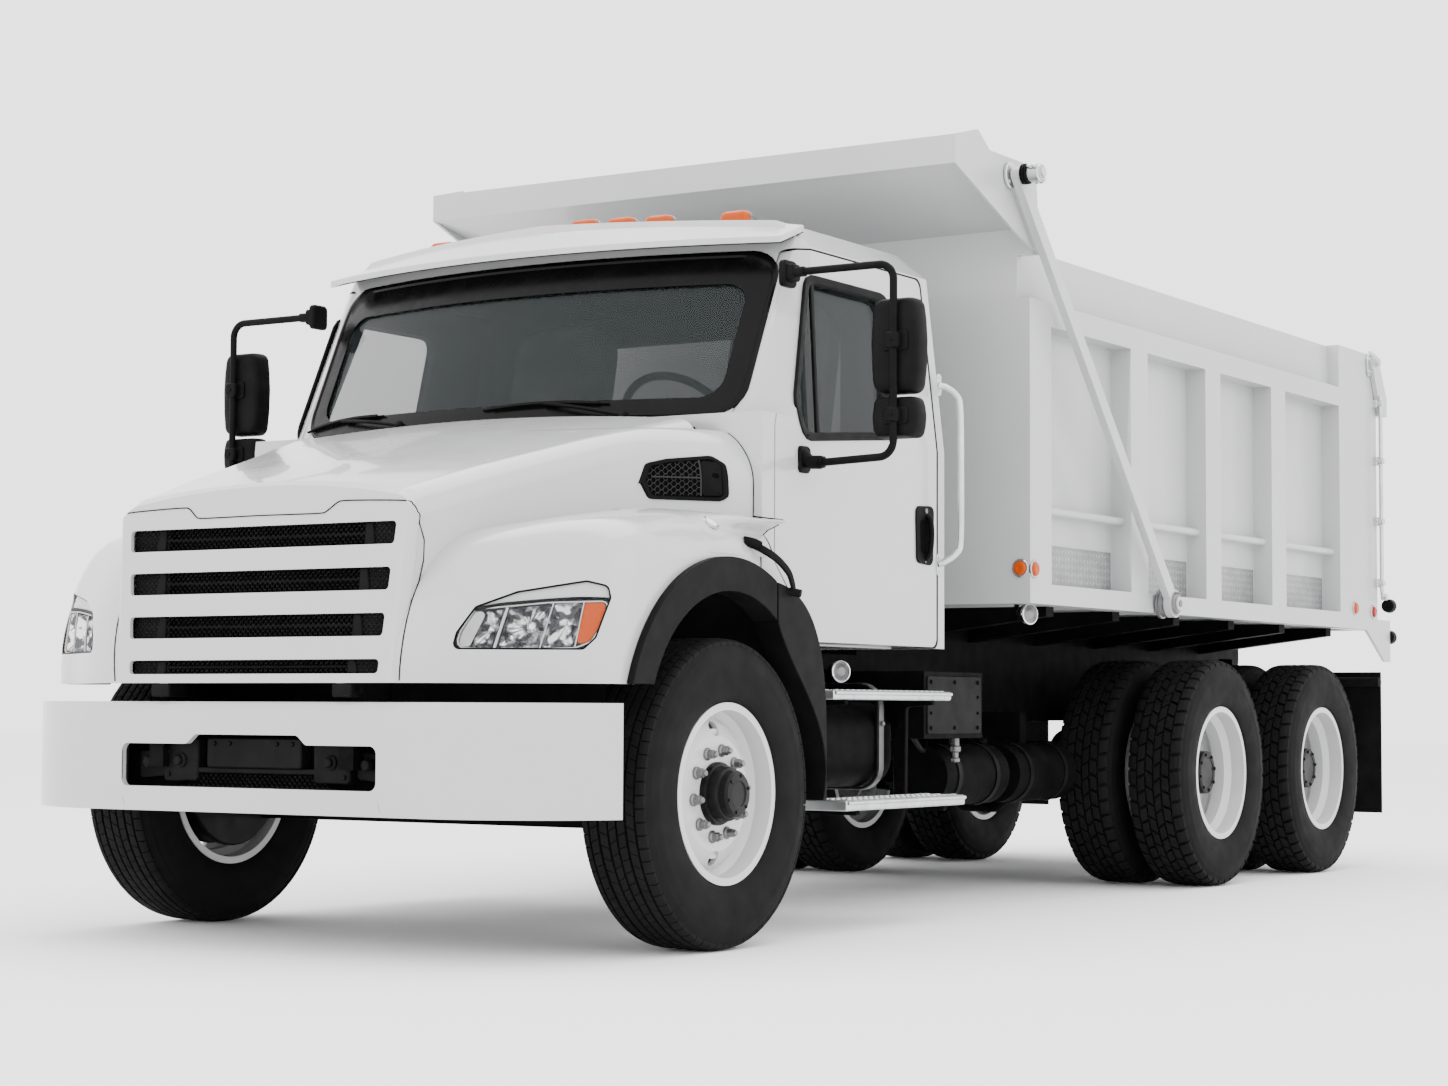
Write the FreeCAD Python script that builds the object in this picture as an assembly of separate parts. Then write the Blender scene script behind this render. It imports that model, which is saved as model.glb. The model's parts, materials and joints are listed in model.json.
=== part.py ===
import FreeCAD, Part
import math
import os

V = FreeCAD.Vector

# A conventional-cab dump truck with a steered front axle, a tandem of twin rear wheels and a tipping body.
# Millimetres. X points forward from the front axle, Y to the driver's left, Z up from the ground.
# At the end every piece is moved along X so that the middle of the truck's length is at zero.

# Wheels
tyre_radius = 510.0
tyre_width = 275.0
tyre_tread_width = 226.0
tyre_shoulder_drop = 22.0
tyre_bulge_radius = 400.0
tyre_bead_width = 214.0
rim_seat_radius = 286.0
rim_flange_radius = 298.5
rim_flange_thickness = 9.0
rim_barrel_thickness = 12.0
rim_well_radius = 262.0
front_wheel_y = 1075.0
front_disc_out = 72.0
disc_thickness = 14.0
disc_dish = 46.0
disc_dish_radius = 235.0
rear_disc_dish = 80.0
hub_radius = 92.0
hub_cap_radius = 70.0
hub_cap_reach = 58.0
hand_hole_radius = 24.0
hand_hole_length = 74.0
hand_hole_circle = 212.0
hand_hole_count = 2
drum_radius = 212.0
drum_wall = 14.0
drum_depth = 150.0
front_drum_depth = 126.0
dual_centre_y = 929.5
dual_spacing = 343.0
running_clearance = 0.3

# Axles, steering and suspension
tandem_first_x = -4157.0
tandem_spacing = 1300.0
kingpin_y = 960.0
kingpin_radius = 24.0
kingpin_boss_radius = 46.0
kingpin_boss_half = 55.0
knuckle_ear = 40.0
knuckle_gap = 2.0
knuckle_web_y = 1020.0
spindle_radius = 40.0
steer_arm_reach = 170.0
steer_arm_width = 44.0
tie_rod_radius = 19.0
tie_rod_eye_radius = 26.0
tie_rod_eye_height = 40.0
beam_height = 96.0
beam_width = 92.0
beam_web = 24.0
beam_flange = 24.0
beam_drop = 70.0
beam_drop_run = 120.0
spring_y = 432.0
spring_width = 76.0
spring_half_length = 640.0
spring_leaf = 16.0
spring_leaf_count = 4
spring_short_share = 0.4
spring_eye_radius = 25.6
spring_rise = 70.0
hanger_thickness = 40.0
rear_tube_radius = 72.0
rear_tube_y = 640.0
diff_radius = 205.0
diff_end_share = 0.7
diff_half_width = 150.0
diff_nose_length = 330.0
diff_nose_radius = 105.0
prop_shaft_radius = 46.0
prop_shaft_z = 590.0
equalizer_y = 535.0
equalizer_width = 70.0
equalizer_height = 150.0
equalizer_end = 92.0
equalizer_drop = 60.0
saddle_length = 420.0
saddle_shaft_radius = 55.0

# Frame
rail_outside_y = 432.0
rail_height = 270.0
rail_flange = 90.0
rail_wall = 10.0
rail_bottom_z = 740.0
rail_front_x = 800.0
rail_rear_x = -6330.0
cross_depth = 150.0
cross_low_depth = 46.0
cross_thickness = 80.0
front_cross_x = 720.0
engine_cross_x = 60.0
cab_cross_x = -560.0
plain_cross_places = [-1250.0, -1950.0, -2650.0, -3350.0]
hoist_cross_places = [-3930.0, -4480.0]
rear_cross_places = [-5640.0, -6240.0]
hitch_hole_radius = 11.0
hitch_hole_spacing_y = 160.0
hitch_hole_spacing_z = 84.0
hitch_plate_thickness = 16.0
hitch_plate_half_y = 150.0
hitch_plate_z = (590.0, 840.0)

# Engine, gearbox and radiator, as plain masses
engine_x = (-480.0, 640.0)
engine_half_width = 300.0
engine_z = (830.0, 1400.0)
gearbox_x = (-1190.0, -480.0)
prop_shaft_end_gap = 3.0
gearbox_half_width = 190.0
gearbox_z = (560.0, 900.0)
engine_mount_width = 90.0
engine_mount_x = (-260.0, 380.0)
radiator_x = (690.0, 760.0)
radiator_half_width = 335.0
radiator_z = (890.0, 1340.0)

# Front bumper
bumper_z = (446.0, 803.0)
bumper_front_x = 1006.0
bumper_flat_half = 540.0
bumper_seam_x = 990.0
bumper_seam_y = 699.0
bumper_bend_x = 900.0
bumper_bend_y = 985.0
bumper_end_x = 652.0
bumper_end_y = 1222.0
bumper_wall = 22.0
bumper_lean = 26.0
bumper_flange = 70.0
bumper_opening_half = 538.0
bumper_opening_z = (527.0, 666.0)
bumper_opening_round = 26.0
bumper_notch_half = 216.0
bumper_notch_z = 697.0
bumper_notch_slope = 36.0
bumper_bracket_width = 60.0

# Hood with its fenders
hood_hinge_x = 960.0
hood_hinge_z = 850.0
hood_hinge_radius = 14.0
hood_hinge_y = 392.0
hood_hinge_ear = 34.0
hood_hinge_eye_share = 0.58
hood_wall = 14.0
hood_bottom_z = 863.0
hood_rear_x = -200.0
nose_x = 948.0
nose_foot_x = 991.0
nose_half_width = 630.0
nose_z = 1404.0
nose_foot_half_width = 602.0
hood_brow_x = 894.0
hood_brow_z = 1480.0
hood_mid_x = 582.0
hood_mid_half_width = 700.0
hood_mid_z = 1573.0
hood_back_x = 168.0
hood_back_half_width = 800.0
hood_back_z = 1687.0
hood_end_half_width = 935.0
hood_end_z = 1781.0
hood_crown = 36.0
hood_shoulder_radius = 90.0
fender_crest_z = 1442.0
fender_rear_x = -374.0
fender_middle_x = 880.0
fender_root_x = 975.0
fender_crown_x = 786.0
fender_crown_y = 1000.0
fender_shoulder_x = 668.0
fender_shoulder_y = 1165.0
fender_inner_drop = 42.0
fender_lamp_drop = 28.0
fender_shoulder_drop = 82.0
fender_edge_drop = 157.0
fender_length_shares = [0.0, 0.0, 0.04, 0.083, 0.139, 0.322, 0.52, 0.78, 1.0]
fender_height_shares = [0.0, 0.18, 0.546, 0.703, 0.832, 0.952, 1.0, 0.991, 0.93]
fender_corner_x = 627.0
fender_corner_y = 1190.0
lamp_inner_x = 923.0
lamp_inner_y = 762.0
lamp_outer_x = 721.0
lamp_outer_y = 1113.0
lamp_bottom_z = 966.0
lamp_height = 217.0
lamp_length = 477.0
lamp_depth = 150.0
lamp_round = 22.0
lamp_seat = 2.8
lamp_length_shares = [0.0, 0.03, 0.15, 0.42, 0.87, 1.01, 1.03, 0.94, 0.86]
lamp_height_shares = [0.0, 0.25, 0.62, 0.84, 1.0, 0.93, 0.75, 0.17, 0.0]
arch_centre_x = 15.0
arch_centre_z = 680.0
arch_radius = 560.0
flare_outer_radius = 606.0
flare_inner_radius = 492.0
flare_y = (1120.0, 1217.0)
flare_split_x = -270.0
flare_foot_z = 475.0
flare_foot_x = -602.0
flare_knee_x = -594.0
flare_knee_z = 820.0
flare_hip_x = -544.0
flare_hip_z = 1026.0
flare_bend_z = 688.5
flare_leg_thickness = 26.0
flare_leg_width = 110.0
grille_top_z = 1369.0
grille_top_half = 566.0
grille_low_half = 526.0
grille_slot_height = 72.0
grille_low_slot_height = 45.0
grille_bar = 72.0
grille_slot_count = 4
grille_slot_round = 14.0
grille_plate = 8.0
grille_rim = 5.0
grille_margin = 24.0
grille_side_margin = 11.0
nose_corner_radius = 36.0
piece_gap = 6.0

# Cab
cab_half_width = 1140.0
cab_belt_z = 1760.0
cab_roof_edge_y = 1062.0
cab_roof_edge_z = 2430.0
cab_roof_shoulder_y = 930.0
cab_roof_shoulder_z = 2535.0
cab_roof_crown_z = 2575.0
cab_floor_z = 1017.0
cab_floor_top_z = 1110.0
cab_front_x = -290.0
cab_back_x = -1612.0
cab_wall = 55.0
windshield_base_z = 1800.0
windshield_centre_x = -215.0
windshield_edge_x = -412.0
windshield_edge_y = 993.0
windshield_rake = 0.46
windshield_border = 32.0
windshield_cut_x = (-930.0, -180.0)
windshield_side_border = 49.0
windshield_top_z = 2420.0
glass_thickness = 6.0
glass_inset = 8.0
cowl_depth = 90.0
door_front_x = -376.0
door_rear_x = -1550.0
door_bottom_z = 1022.0
door_top_z = 2418.0
door_top_front_x = -690.0
door_arch_z = 1290.0
door_arch_x = -650.0
door_gap = 7.0
door_round = 35.0
door_rear_gap = 13.0
window_front_x = -573.0
window_front_z = 1742.0
window_corner_x = -545.0
window_corner_z = 1862.0
window_top_front_x = -700.0
window_top_z = 2304.0
window_rear_x = -1280.0
window_rear_bottom_x = -1215.0
window_bottom_z = 1800.0
window_round = 60.0
rear_window_half = 720.0
rear_window_z = (1820.0, 2260.0)
arch_house_radius = 640.0

# Seats, dashboard and steering wheel
seat_x = -1380.0
seat_y = 520.0
seat_width = 500.0
seat_length = 480.0
seat_cushion_z = (1480.0, 1600.0)
seat_back_height = 760.0
seat_back_thickness = 130.0
seat_back_lean = 150.0
seat_base_width = 320.0
dash_length = 290.0
dash_half_width = 960.0
dash_z = (1475.0, 1705.0)
steering_wheel_radius = 225.0
steering_wheel_grip = 15.0
steering_wheel_x = -730.0
steering_wheel_z = 1810.0
steering_wheel_tilt = 32.0

# Roof lamps and visor
visor_tip_half = 1030.0
visor_tip_end_x = -590.0
visor_tip_middle_x = -400.0
visor_tip_z = 2428.0
visor_root_half = 1000.0
visor_root_end_x = -800.0
visor_root_middle_x = -640.0
visor_root_z = 2500.0
visor_root_crown = 66.0
visor_thickness = 24.0
roof_lamp_x = -880.0
roof_lamp_places = [-676.0, -340.0, -170.0, 0.0, 170.0, 340.0, 676.0]
roof_lamp_length = 120.0
roof_lamp_width = 74.0
roof_lamp_height = 72.0
roof_lamp_round = 14.0

# Mirrors on the doors
mirror_y = 1500.0
mirror_x = -608.0
mirror_half_width = 88.0
mirror_thickness = 90.0
mirror_z = (1869.0, 2198.0)
mirror_small_z = (1716.0, 1855.0)
mirror_pipe_radius = 12.0
mirror_pipe_bend = 60.0
mirror_foot_x = -540.0
mirror_top_z = 2310.0
mirror_low_z = 1644.0

# Cab steps, tank, boxes
step_x = (-1690.0, -790.0)
step_upper_y = (960.0, 1130.0)
step_upper_z = (802.0, 856.0)
step_lower_y = (1000.0, 1190.0)
step_lower_z = (428.0, 468.0)
step_hanger_width = 60.0
step_hanger_places = [-930.0, -1500.0]
tank_x = (-1560.0, -770.0)
tank_y = (480.0, 940.0)
tank_z = (498.0, 880.0)
tank_round = 110.0
tank_bracket_width = 60.0
panel_box_x = (-2400.0, -1900.0)
panel_box_y = (470.0, 900.0)
panel_box_z = (674.0, 940.0)
air_tank_radius = 125.0
air_tank_length = 560.0
air_tank_y = 680.0
air_tank_z = 520.0
air_tank_places = [-2560.0, -3220.0]
air_tank_bracket = 30.0

# Tipping body
bed_half_width = 1219.0
bed_front_x = -2190.0
bed_rear_x = -6285.0
bed_bottom_z = 1210.0
bed_floor_z = 1290.0
bed_floor_plate = 16.0
bed_rib_width = 60.0
bed_rib_count = 13
bed_rail_z = 2425.0
bed_rail_height = 95.0
bed_board_z = 2635.0
bed_board_thickness = 50.0
bed_sheet_y = 1124.0
bed_sheet_thickness = 12.0
bed_front_post_x = (-2385.0, -2190.0)
bed_post_places = [(-3345.0, -3167.0), (-4166.0, -3989.0), (-4982.0, -4798.0)]
bed_rear_post_x = (-6285.0, -5731.0)
bed_post_top_z = 2640.0
bed_rod_z = 1592.0
bed_rod_y = 1172.0
bed_rod_radius = 17.0
apron_x = -6480.0
apron_z = (1050.0, 1266.0)
apron_chamfer = 170.0
apron_thickness = 14.0
bulkhead_thickness = 40.0
bulkhead_top_z = 2700.0
guard_half_width = 1245.0
guard_side_thickness = 14.0
guard_lip_x = -1500.0
guard_lip_z = (2846.0, 2956.0)
guard_peak_x = -1689.0
guard_peak_z = 3007.0
guard_back_x = -1790.0
guard_back_z = 2943.0
guard_rear_x = -2140.0
guard_root_x = -2203.0
guard_root_z = 2855.0
guard_foot_x = -2229.0
guard_foot_z = 2598.0
guard_throat_x = -2032.0
guard_throat_z = 2650.0
guard_plate = 12.0
sill_y = 390.0
sill_width = 84.0
sill_rear_x = -6260.0
outrigger_width = 70.0
outrigger_height = 80.0
outrigger_places = [-2600.0, -3250.0, -3900.0, -4550.0, -5200.0, -5850.0]
subframe_top_z = 1064.0

# Body hinge and hoist
bed_hinge_x = -6290.0
bed_hinge_z = 1060.0
bed_hinge_pin_radius = 30.0
bed_hinge_eye_radius = 46.0
hoist_base_x = -4900.0
hoist_base_z = 790.0
hoist_pin_x = -3690.0
hoist_pin_z = 1125.0
hoist_barrel_radius = 92.0
hoist_rod_radius = 42.0
hoist_eye_radius = 52.0
hoist_eye_width = 90.0
hoist_pin_radius = 28.0
hoist_barrel_wall = 14.0
hoist_barrel_length = 1070.0
hoist_lug_thickness = 24.0
hoist_lug_gap = 2.0

# Tailgate
tailgate_hinge_x = -6216.0
tailgate_hinge_z = 2600.0
tailgate_hinge_radius = 20.0
tailgate_ear_radius = 36.0
tailgate_front_x = -6295.0
tailgate_thickness = 90.0
tailgate_sheet = 10.0
tailgate_half_width = 1110.0
tailgate_z = (1215.0, 2420.0)
tailgate_rib_count = 3
tailgate_rib_width = 90.0
tailgate_arm_thickness = 24.0

# Tarp arms
tarp_pivot_x = -3450.0
tarp_pivot_z = 1250.0
tarp_hub_radius = 60.0
tarp_arm_y = (1268.0, 1300.0)
tarp_arm_width = 62.0
tarp_top_x = -1953.0
tarp_top_z = 2870.0
tarp_tube_reach = 90.0

# Lamps on the body
lamp_thickness = 16.0
side_lamp_radius = 30.0
red_lamp_x = -6195.0
amber_lamp_x = -5955.0
tail_lamp_radius = 52.0

# Mud flaps
flap_x = -6390.0
flap_y = (720.0, 1195.0)
flap_z = (264.0, 996.0)
flap_thickness = 10.0
flap_bar_radius = 26.0

seat_gap = 0.3

# Allowance by which a cutting solid passes the faces it cuts
overrun = 20.0
shortest_edge = 1e-6
corner_reach_share = 0.45
full_turn = 360.0

truck_front_x = bumper_front_x
truck_rear_x = apron_x - tail_lamp_radius
row_shift_x = -(truck_front_x + truck_rear_x) / 2.0


def box(x, y, z):
    return Part.makeBox(x[1] - x[0], y[1] - y[0], z[1] - z[0], V(x[0], y[0], z[0]))


def wire_of(points):
    return Part.makePolygon(points + [points[0]])


def rounded_wire(points, radius, closed=True):
    """A polygon whose corners are arcs of the radius, or less where a side is short."""
    count = len(points)
    corners = []
    for index, point in enumerate(points):
        if not closed and index in (0, count - 1):
            corners.append((point, point, point))
            continue
        before = points[index - 1] - point
        after = points[(index + 1) % count] - point
        half = before.getAngle(after) / 2.0
        reach = min(radius / math.tan(half), before.Length * corner_reach_share,
                    after.Length * corner_reach_share)
        bend = reach * math.tan(half)
        start = point + V(before).normalize() * reach
        end = point + V(after).normalize() * reach
        middle_way = (V(before).normalize() + V(after).normalize()).normalize()
        middle = point + middle_way * (bend / math.sin(half) - bend)
        corners.append((start, middle, end))
    edges = []
    for index, (start, middle, end) in enumerate(corners):
        if (end - start).Length > shortest_edge:
            edges.append(Part.Arc(start, middle, end).toShape())
        if closed or index < count - 1:
            following = corners[(index + 1) % count][0]
            if (following - end).Length > shortest_edge:
                edges.append(Part.LineSegment(end, following).toShape())
    return Part.Wire(edges)


def on_plane(plane, across, up, third):
    """The point of a plane, named by its two axes, at a place along the third axis."""
    if plane == "xz":
        return V(across, third, up)
    if plane == "yz":
        return V(third, across, up)
    return V(across, up, third)


def prism(points, start, end, plane, radius=0.0):
    """A polygon in a plane named by its two axes, carried along the third axis from start to end."""
    corners = [on_plane(plane, across, up, start) for across, up in points]
    wire = rounded_wire(corners, radius) if radius else wire_of(corners)
    return Part.Face(wire).extrude(on_plane(plane, 0, 0, end - start))


def smooth_prism(points, start, end, plane, closing):
    """Like prism, but one smooth curve joins the points and the closing points shut it with straight lines."""
    curve = Part.BSplineCurve()
    curve.interpolate([on_plane(plane, across, up, start) for across, up in points])
    outline = [points[-1]] + list(closing) + [points[0]]
    corners = [on_plane(plane, across, up, start) for across, up in outline]
    edges = [curve.toShape()]
    edges += [Part.LineSegment(a, b).toShape() for a, b in zip(corners, corners[1:])]
    return Part.Face(Part.Wire(edges)).extrude(on_plane(plane, 0, 0, end - start))


def rod(start, end, radius):
    way = end - start
    return Part.makeCylinder(radius, way.Length, start, way)


def pipe(points, radius, bend):
    """A round bar along a path whose corners are arcs."""
    path = rounded_wire(points, bend, closed=False)
    section = Part.Wire(Part.Circle(points[0], points[1] - points[0], radius).toShape())
    return path.makePipeShell([section], True, True)


def turned(profile, centre):
    """A closed profile of (radius, place along Y) points turned about the Y axis through the centre."""
    points = [centre + V(0, along, radius) for radius, along in profile]
    return Part.Face(wire_of(points)).revolve(centre, V(0, 1, 0), full_turn)


def mirrored(shape):
    return shape.mirror(V(0, 0, 0), V(0, 1, 0))


def side_of(shape, side):
    return shape if side > 0 else mirrored(shape)


def both(shape):
    return Part.makeCompound([shape, mirrored(shape)])


def fused(shapes):
    whole = shapes[0].fuse(shapes[1:]) if len(shapes) > 1 else shapes[0]
    return whole.removeSplitter()


def export(name, shape):
    moved = shape.copy()
    moved.translate(V(row_shift_x, 0, 0))
    moved.exportStep("parts/" + name + ".step")


# Wheels

def tyre(centre):
    bead = tyre_bead_width / 2
    tread = tyre_tread_width / 2
    bulge = tyre_width / 2
    shoulder = tyre_radius - tyre_shoulder_drop
    return turned([(rim_seat_radius, -bead), (rim_flange_radius, -bead), (tyre_bulge_radius, -bulge),
                   (shoulder, (-bulge - tread) / 2),
                   (tyre_radius, -tread), (tyre_radius, tread), (shoulder, (bulge + tread) / 2),
                   (tyre_bulge_radius, bulge), (rim_flange_radius, bead), (rim_seat_radius, bead)], centre)


def rim_barrel(centre):
    """The rolled barrel with its two flanges and the well between the bead seats."""
    bead = tyre_bead_width / 2
    flange = bead + rim_flange_thickness
    seat_inner = rim_seat_radius - rim_barrel_thickness
    well_inner = rim_well_radius - rim_barrel_thickness
    return turned([(rim_flange_radius, -flange), (rim_flange_radius, -bead), (rim_seat_radius, -bead),
                   (rim_seat_radius, -bead / 2), (rim_well_radius, -bead / 4), (rim_well_radius, bead / 4),
                   (rim_seat_radius, bead / 2), (rim_seat_radius, bead), (rim_flange_radius, bead),
                   (rim_flange_radius, flange), (seat_inner, flange), (seat_inner, bead / 2),
                   (well_inner, bead / 4), (well_inner, -bead / 4), (seat_inner, -bead / 2),
                   (seat_inner, -flange)], centre)


def wheel_disc(centre, face, way, depth, outer):
    """The pressed disc: flat about the hub, then sloping back to the barrel, with its ring of hand holes."""
    back = face - way * disc_thickness
    dish = way * depth
    disc = turned([(hub_radius, face), (disc_dish_radius - disc_dish, face),
                   (disc_dish_radius, face - dish / 2),
                   (outer, face - dish), (outer, back - dish), (disc_dish_radius - disc_thickness,
                                                                back - dish / 2),
                   (disc_dish_radius - disc_dish, back), (hub_radius, back)], centre)
    slot_half = (hand_hole_length - hand_hole_radius) / 2
    slot = prism([(-slot_half, -hand_hole_radius), (slot_half, -hand_hole_radius),
                  (slot_half, hand_hole_radius),
                  (-slot_half, hand_hole_radius)], face - depth * 2, face + depth * 2, "xz", hand_hole_radius)
    holes = []
    for index in range(hand_hole_count):
        hole = slot.copy()
        hole.translate(centre + V(0, 0, hand_hole_circle))
        hole.rotate(centre, V(0, 1, 0), full_turn * index / hand_hole_count)
        holes.append(hole)
    return disc.cut(Part.makeCompound(holes))


def front_rim(centre):
    face = front_disc_out
    inner_face = knuckle_web_y + knuckle_gap - centre.y
    bore = spindle_radius + running_clearance
    hub = turned([(bore, inner_face), (hub_radius, inner_face), (hub_radius, face + disc_thickness),
                  (hub_cap_radius, face + disc_thickness), (hub_cap_radius, face + hub_cap_reach),
                  (0, face + hub_cap_reach), (0, face + disc_thickness), (bore,
                                                                          face + disc_thickness)], centre)
    drum_back = face - disc_thickness
    drum = turned([(hub_radius, drum_back), (drum_radius, drum_back),
                   (drum_radius, drum_back - front_drum_depth),
                   (drum_radius - drum_wall, drum_back - front_drum_depth), (drum_radius - drum_wall,
                                                                             drum_back - drum_wall),
                   (hub_radius, drum_back - drum_wall)], centre)
    disc = wheel_disc(centre, face, 1, disc_dish, rim_well_radius - rim_barrel_thickness / 2)
    return fused([rim_barrel(centre), disc, hub, drum])


def rear_rims(centre):
    """Two rims back to back on one hub, with the drum inside the inner one."""
    half = dual_spacing / 2
    outer_centre = centre + V(0, half, 0)
    inner_centre = centre - V(0, half, 0)
    bore = spindle_radius + running_clearance
    cap = half + hub_cap_reach
    hub = turned([(bore, -half), (hub_radius, -half), (hub_radius, cap - disc_thickness),
                  (0, cap - disc_thickness),
                  (0, half), (bore, half)], centre)
    drum_start = -disc_thickness - disc_thickness
    drum = turned([(hub_radius, drum_start), (drum_radius, drum_start),
                   (drum_radius, drum_start - drum_depth),
                   (drum_radius - drum_wall, drum_start - drum_depth), (drum_radius - drum_wall,
                                                                        drum_start - drum_wall),
                   (hub_radius, drum_start - drum_wall)], centre)
    seat = rim_seat_radius - rim_barrel_thickness / 2
    outer_disc = wheel_disc(centre, 0, -1, rear_disc_dish, seat)
    inner_disc = wheel_disc(centre, 0, 1, rear_disc_dish, seat)
    return fused([rim_barrel(outer_centre), rim_barrel(inner_centre), outer_disc, inner_disc, hub, drum])


def wheel_centre_front(side):
    return V(0, side * front_wheel_y, tyre_radius)


def wheel_centre_rear(index, side):
    return V(tandem_first_x - index * tandem_spacing, side * dual_centre_y, tyre_radius)


# Axles, steering and suspension

def front_axle():
    """A dropped I-beam with a kingpin boss at each end and a pad under each spring."""
    top = tyre_radius + beam_height / 2
    low = tyre_radius - beam_height / 2
    level = kingpin_y - kingpin_boss_radius * 2
    inner = level - beam_drop_run
    end = kingpin_y
    outline = [(-end, low), (-level, low), (-inner, low - beam_drop), (inner, low - beam_drop),
               (level, low),
               (end, low), (end, top), (level, top), (inner, top - beam_drop), (-inner, top - beam_drop),
               (-level, top), (-end, top)]
    beam = prism(outline, -beam_width / 2, beam_width / 2, "yz")
    pocket_depth = (beam_width - beam_web) / 2
    web_top = top - beam_flange - beam_drop
    web_low = low + beam_flange - beam_drop
    pocket = box((beam_web / 2, beam_web / 2 + pocket_depth), (-inner, inner), (web_low, web_top))
    beam = beam.cut(Part.makeCompound([pocket, pocket.mirror(V(0, 0, 0), V(1, 0, 0))]))
    ends = []
    for side in (1, -1):
        at = V(0, side * kingpin_y, tyre_radius)
        half = V(0, 0, kingpin_boss_half)
        clear = V(0, 0, kingpin_boss_half + overrun)
        beam = beam.cut(box((-beam_width, beam_width), sorted((at.y, at.y + side * beam_width * 2)),
                            (low - overrun, top + overrun)))
        ends.append((rod(at - half, at + half, kingpin_boss_radius),
                     rod(at - clear, at + clear, kingpin_radius + running_clearance)))
    beam = beam.fuse([boss for boss, hole in ends])
    pad_top = tyre_radius + beam_height / 2 - beam_drop + spring_leaf
    pads = [box((-spring_width, spring_width), sorted((side * (spring_y - spring_width / 2),
                                                       side * (spring_y + spring_width / 2))),
                (tyre_radius - beam_drop, pad_top)) for side in (1, -1)]
    return beam.fuse(pads).cut(Part.makeCompound([hole for boss, hole in ends])).removeSplitter()


def spring_seat_z():
    return tyre_radius + beam_height / 2 - beam_drop + spring_leaf


def front_spring():
    """A pack of leaves that rise to both ends, the lower ones shorter, the main one with rolled eyes."""
    leaves = []
    for index in range(spring_leaf_count):
        share = (index + 1) / spring_leaf_count
        half = spring_half_length * (spring_short_share + (1 - spring_short_share) * share)
        rise = spring_rise * (half / spring_half_length) ** 2
        low = spring_seat_z() + index * spring_leaf
        lower = [(-half, low + rise), (0, low), (half, low + rise)]
        upper = [(half, low + rise + spring_leaf), (0, low + spring_leaf),
                 (-half, low + rise + spring_leaf)]
        arc_low = Part.Arc(*[V(x, spring_y - spring_width / 2, z) for x, z in lower]).toShape()
        arc_top = Part.Arc(*[V(x, spring_y - spring_width / 2, z) for x, z in upper]).toShape()
        ends = [Part.LineSegment(arc_low.Vertexes[-1].Point, arc_top.Vertexes[0].Point).toShape(),
                Part.LineSegment(arc_top.Vertexes[-1].Point, arc_low.Vertexes[0].Point).toShape()]
        face = Part.Face(Part.Wire(Part.__sortEdges__([arc_low, arc_top] + ends)))
        leaves.append(face.extrude(V(0, spring_width, 0)))
    eye_z = spring_seat_z() + (spring_leaf_count - 1) * spring_leaf + spring_rise + spring_leaf / 2
    for end in (-1, 1):
        at = V(end * spring_half_length, spring_y - spring_width / 2, eye_z)
        leaves.append(rod(at, at + V(0, spring_width, 0), spring_eye_radius))
    return fused(leaves)


def spring_hanger(end):
    """A bracket under the rail that closes over the spring's eye from above."""
    eye_z = spring_seat_z() + (spring_leaf_count - 1) * spring_leaf + spring_rise + spring_leaf / 2
    eye_top = eye_z + spring_eye_radius
    x = end * spring_half_length
    return box((x - hanger_thickness, x + hanger_thickness),
               (spring_y - spring_width / 2, spring_y + spring_width / 2), (eye_top,
                                                                            rail_bottom_z + rail_wall))


def knuckle(side):
    """A forked knuckle: two ears with the kingpin between them, a web, the spindle and the steering arm."""
    at = V(0, kingpin_y, tyre_radius)
    ear_low = kingpin_boss_half + knuckle_gap
    ear_top = ear_low + knuckle_ear
    pieces = [rod(at - V(0, 0, ear_top), at + V(0, 0, ear_top), kingpin_radius)]
    for way in (1, -1):
        pieces.append(rod(at + V(0, 0, way * ear_low), at + V(0, 0, way * ear_top), kingpin_boss_radius))
        pieces.append(box((-kingpin_boss_radius, kingpin_boss_radius), (kingpin_y, knuckle_web_y),
                          sorted((tyre_radius + way * ear_low, tyre_radius + way * ear_top))))
    web_inner = kingpin_y + kingpin_boss_radius + knuckle_gap
    pieces.append(box((-kingpin_boss_radius, kingpin_boss_radius), (web_inner, knuckle_web_y),
                      (tyre_radius - ear_top, tyre_radius + ear_top)))
    spindle_end = front_wheel_y + front_disc_out
    pieces.append(rod(V(0, knuckle_web_y - knuckle_gap, tyre_radius), V(0, spindle_end, tyre_radius),
                      spindle_radius))
    arm_top = tyre_radius - ear_low
    arm_low = tyre_radius - ear_top
    pieces.append(box((-steer_arm_reach, 0), (kingpin_y - steer_arm_width / 2,
                                              kingpin_y + steer_arm_width / 2),
                      (arm_low, arm_top)))
    pieces.append(rod(V(-steer_arm_reach, kingpin_y, arm_low), V(-steer_arm_reach, kingpin_y, arm_top),
                      steer_arm_width / 2))
    return side_of(fused(pieces), side)


def tie_rod():
    """The rod between the two steering arms, which stays square to the truck as both wheels turn."""
    low = tyre_radius - kingpin_boss_half - knuckle_gap - knuckle_ear - seat_gap
    middle = low - tie_rod_eye_height / 2
    left = V(-steer_arm_reach, kingpin_y, middle)
    right = V(-steer_arm_reach, -kingpin_y, middle)
    half = V(0, 0, tie_rod_eye_height / 2)
    return fused([rod(left, right, tie_rod_radius)] +
                 [rod(at - half, at + half, tie_rod_eye_radius) for at in (left, right)])


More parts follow.
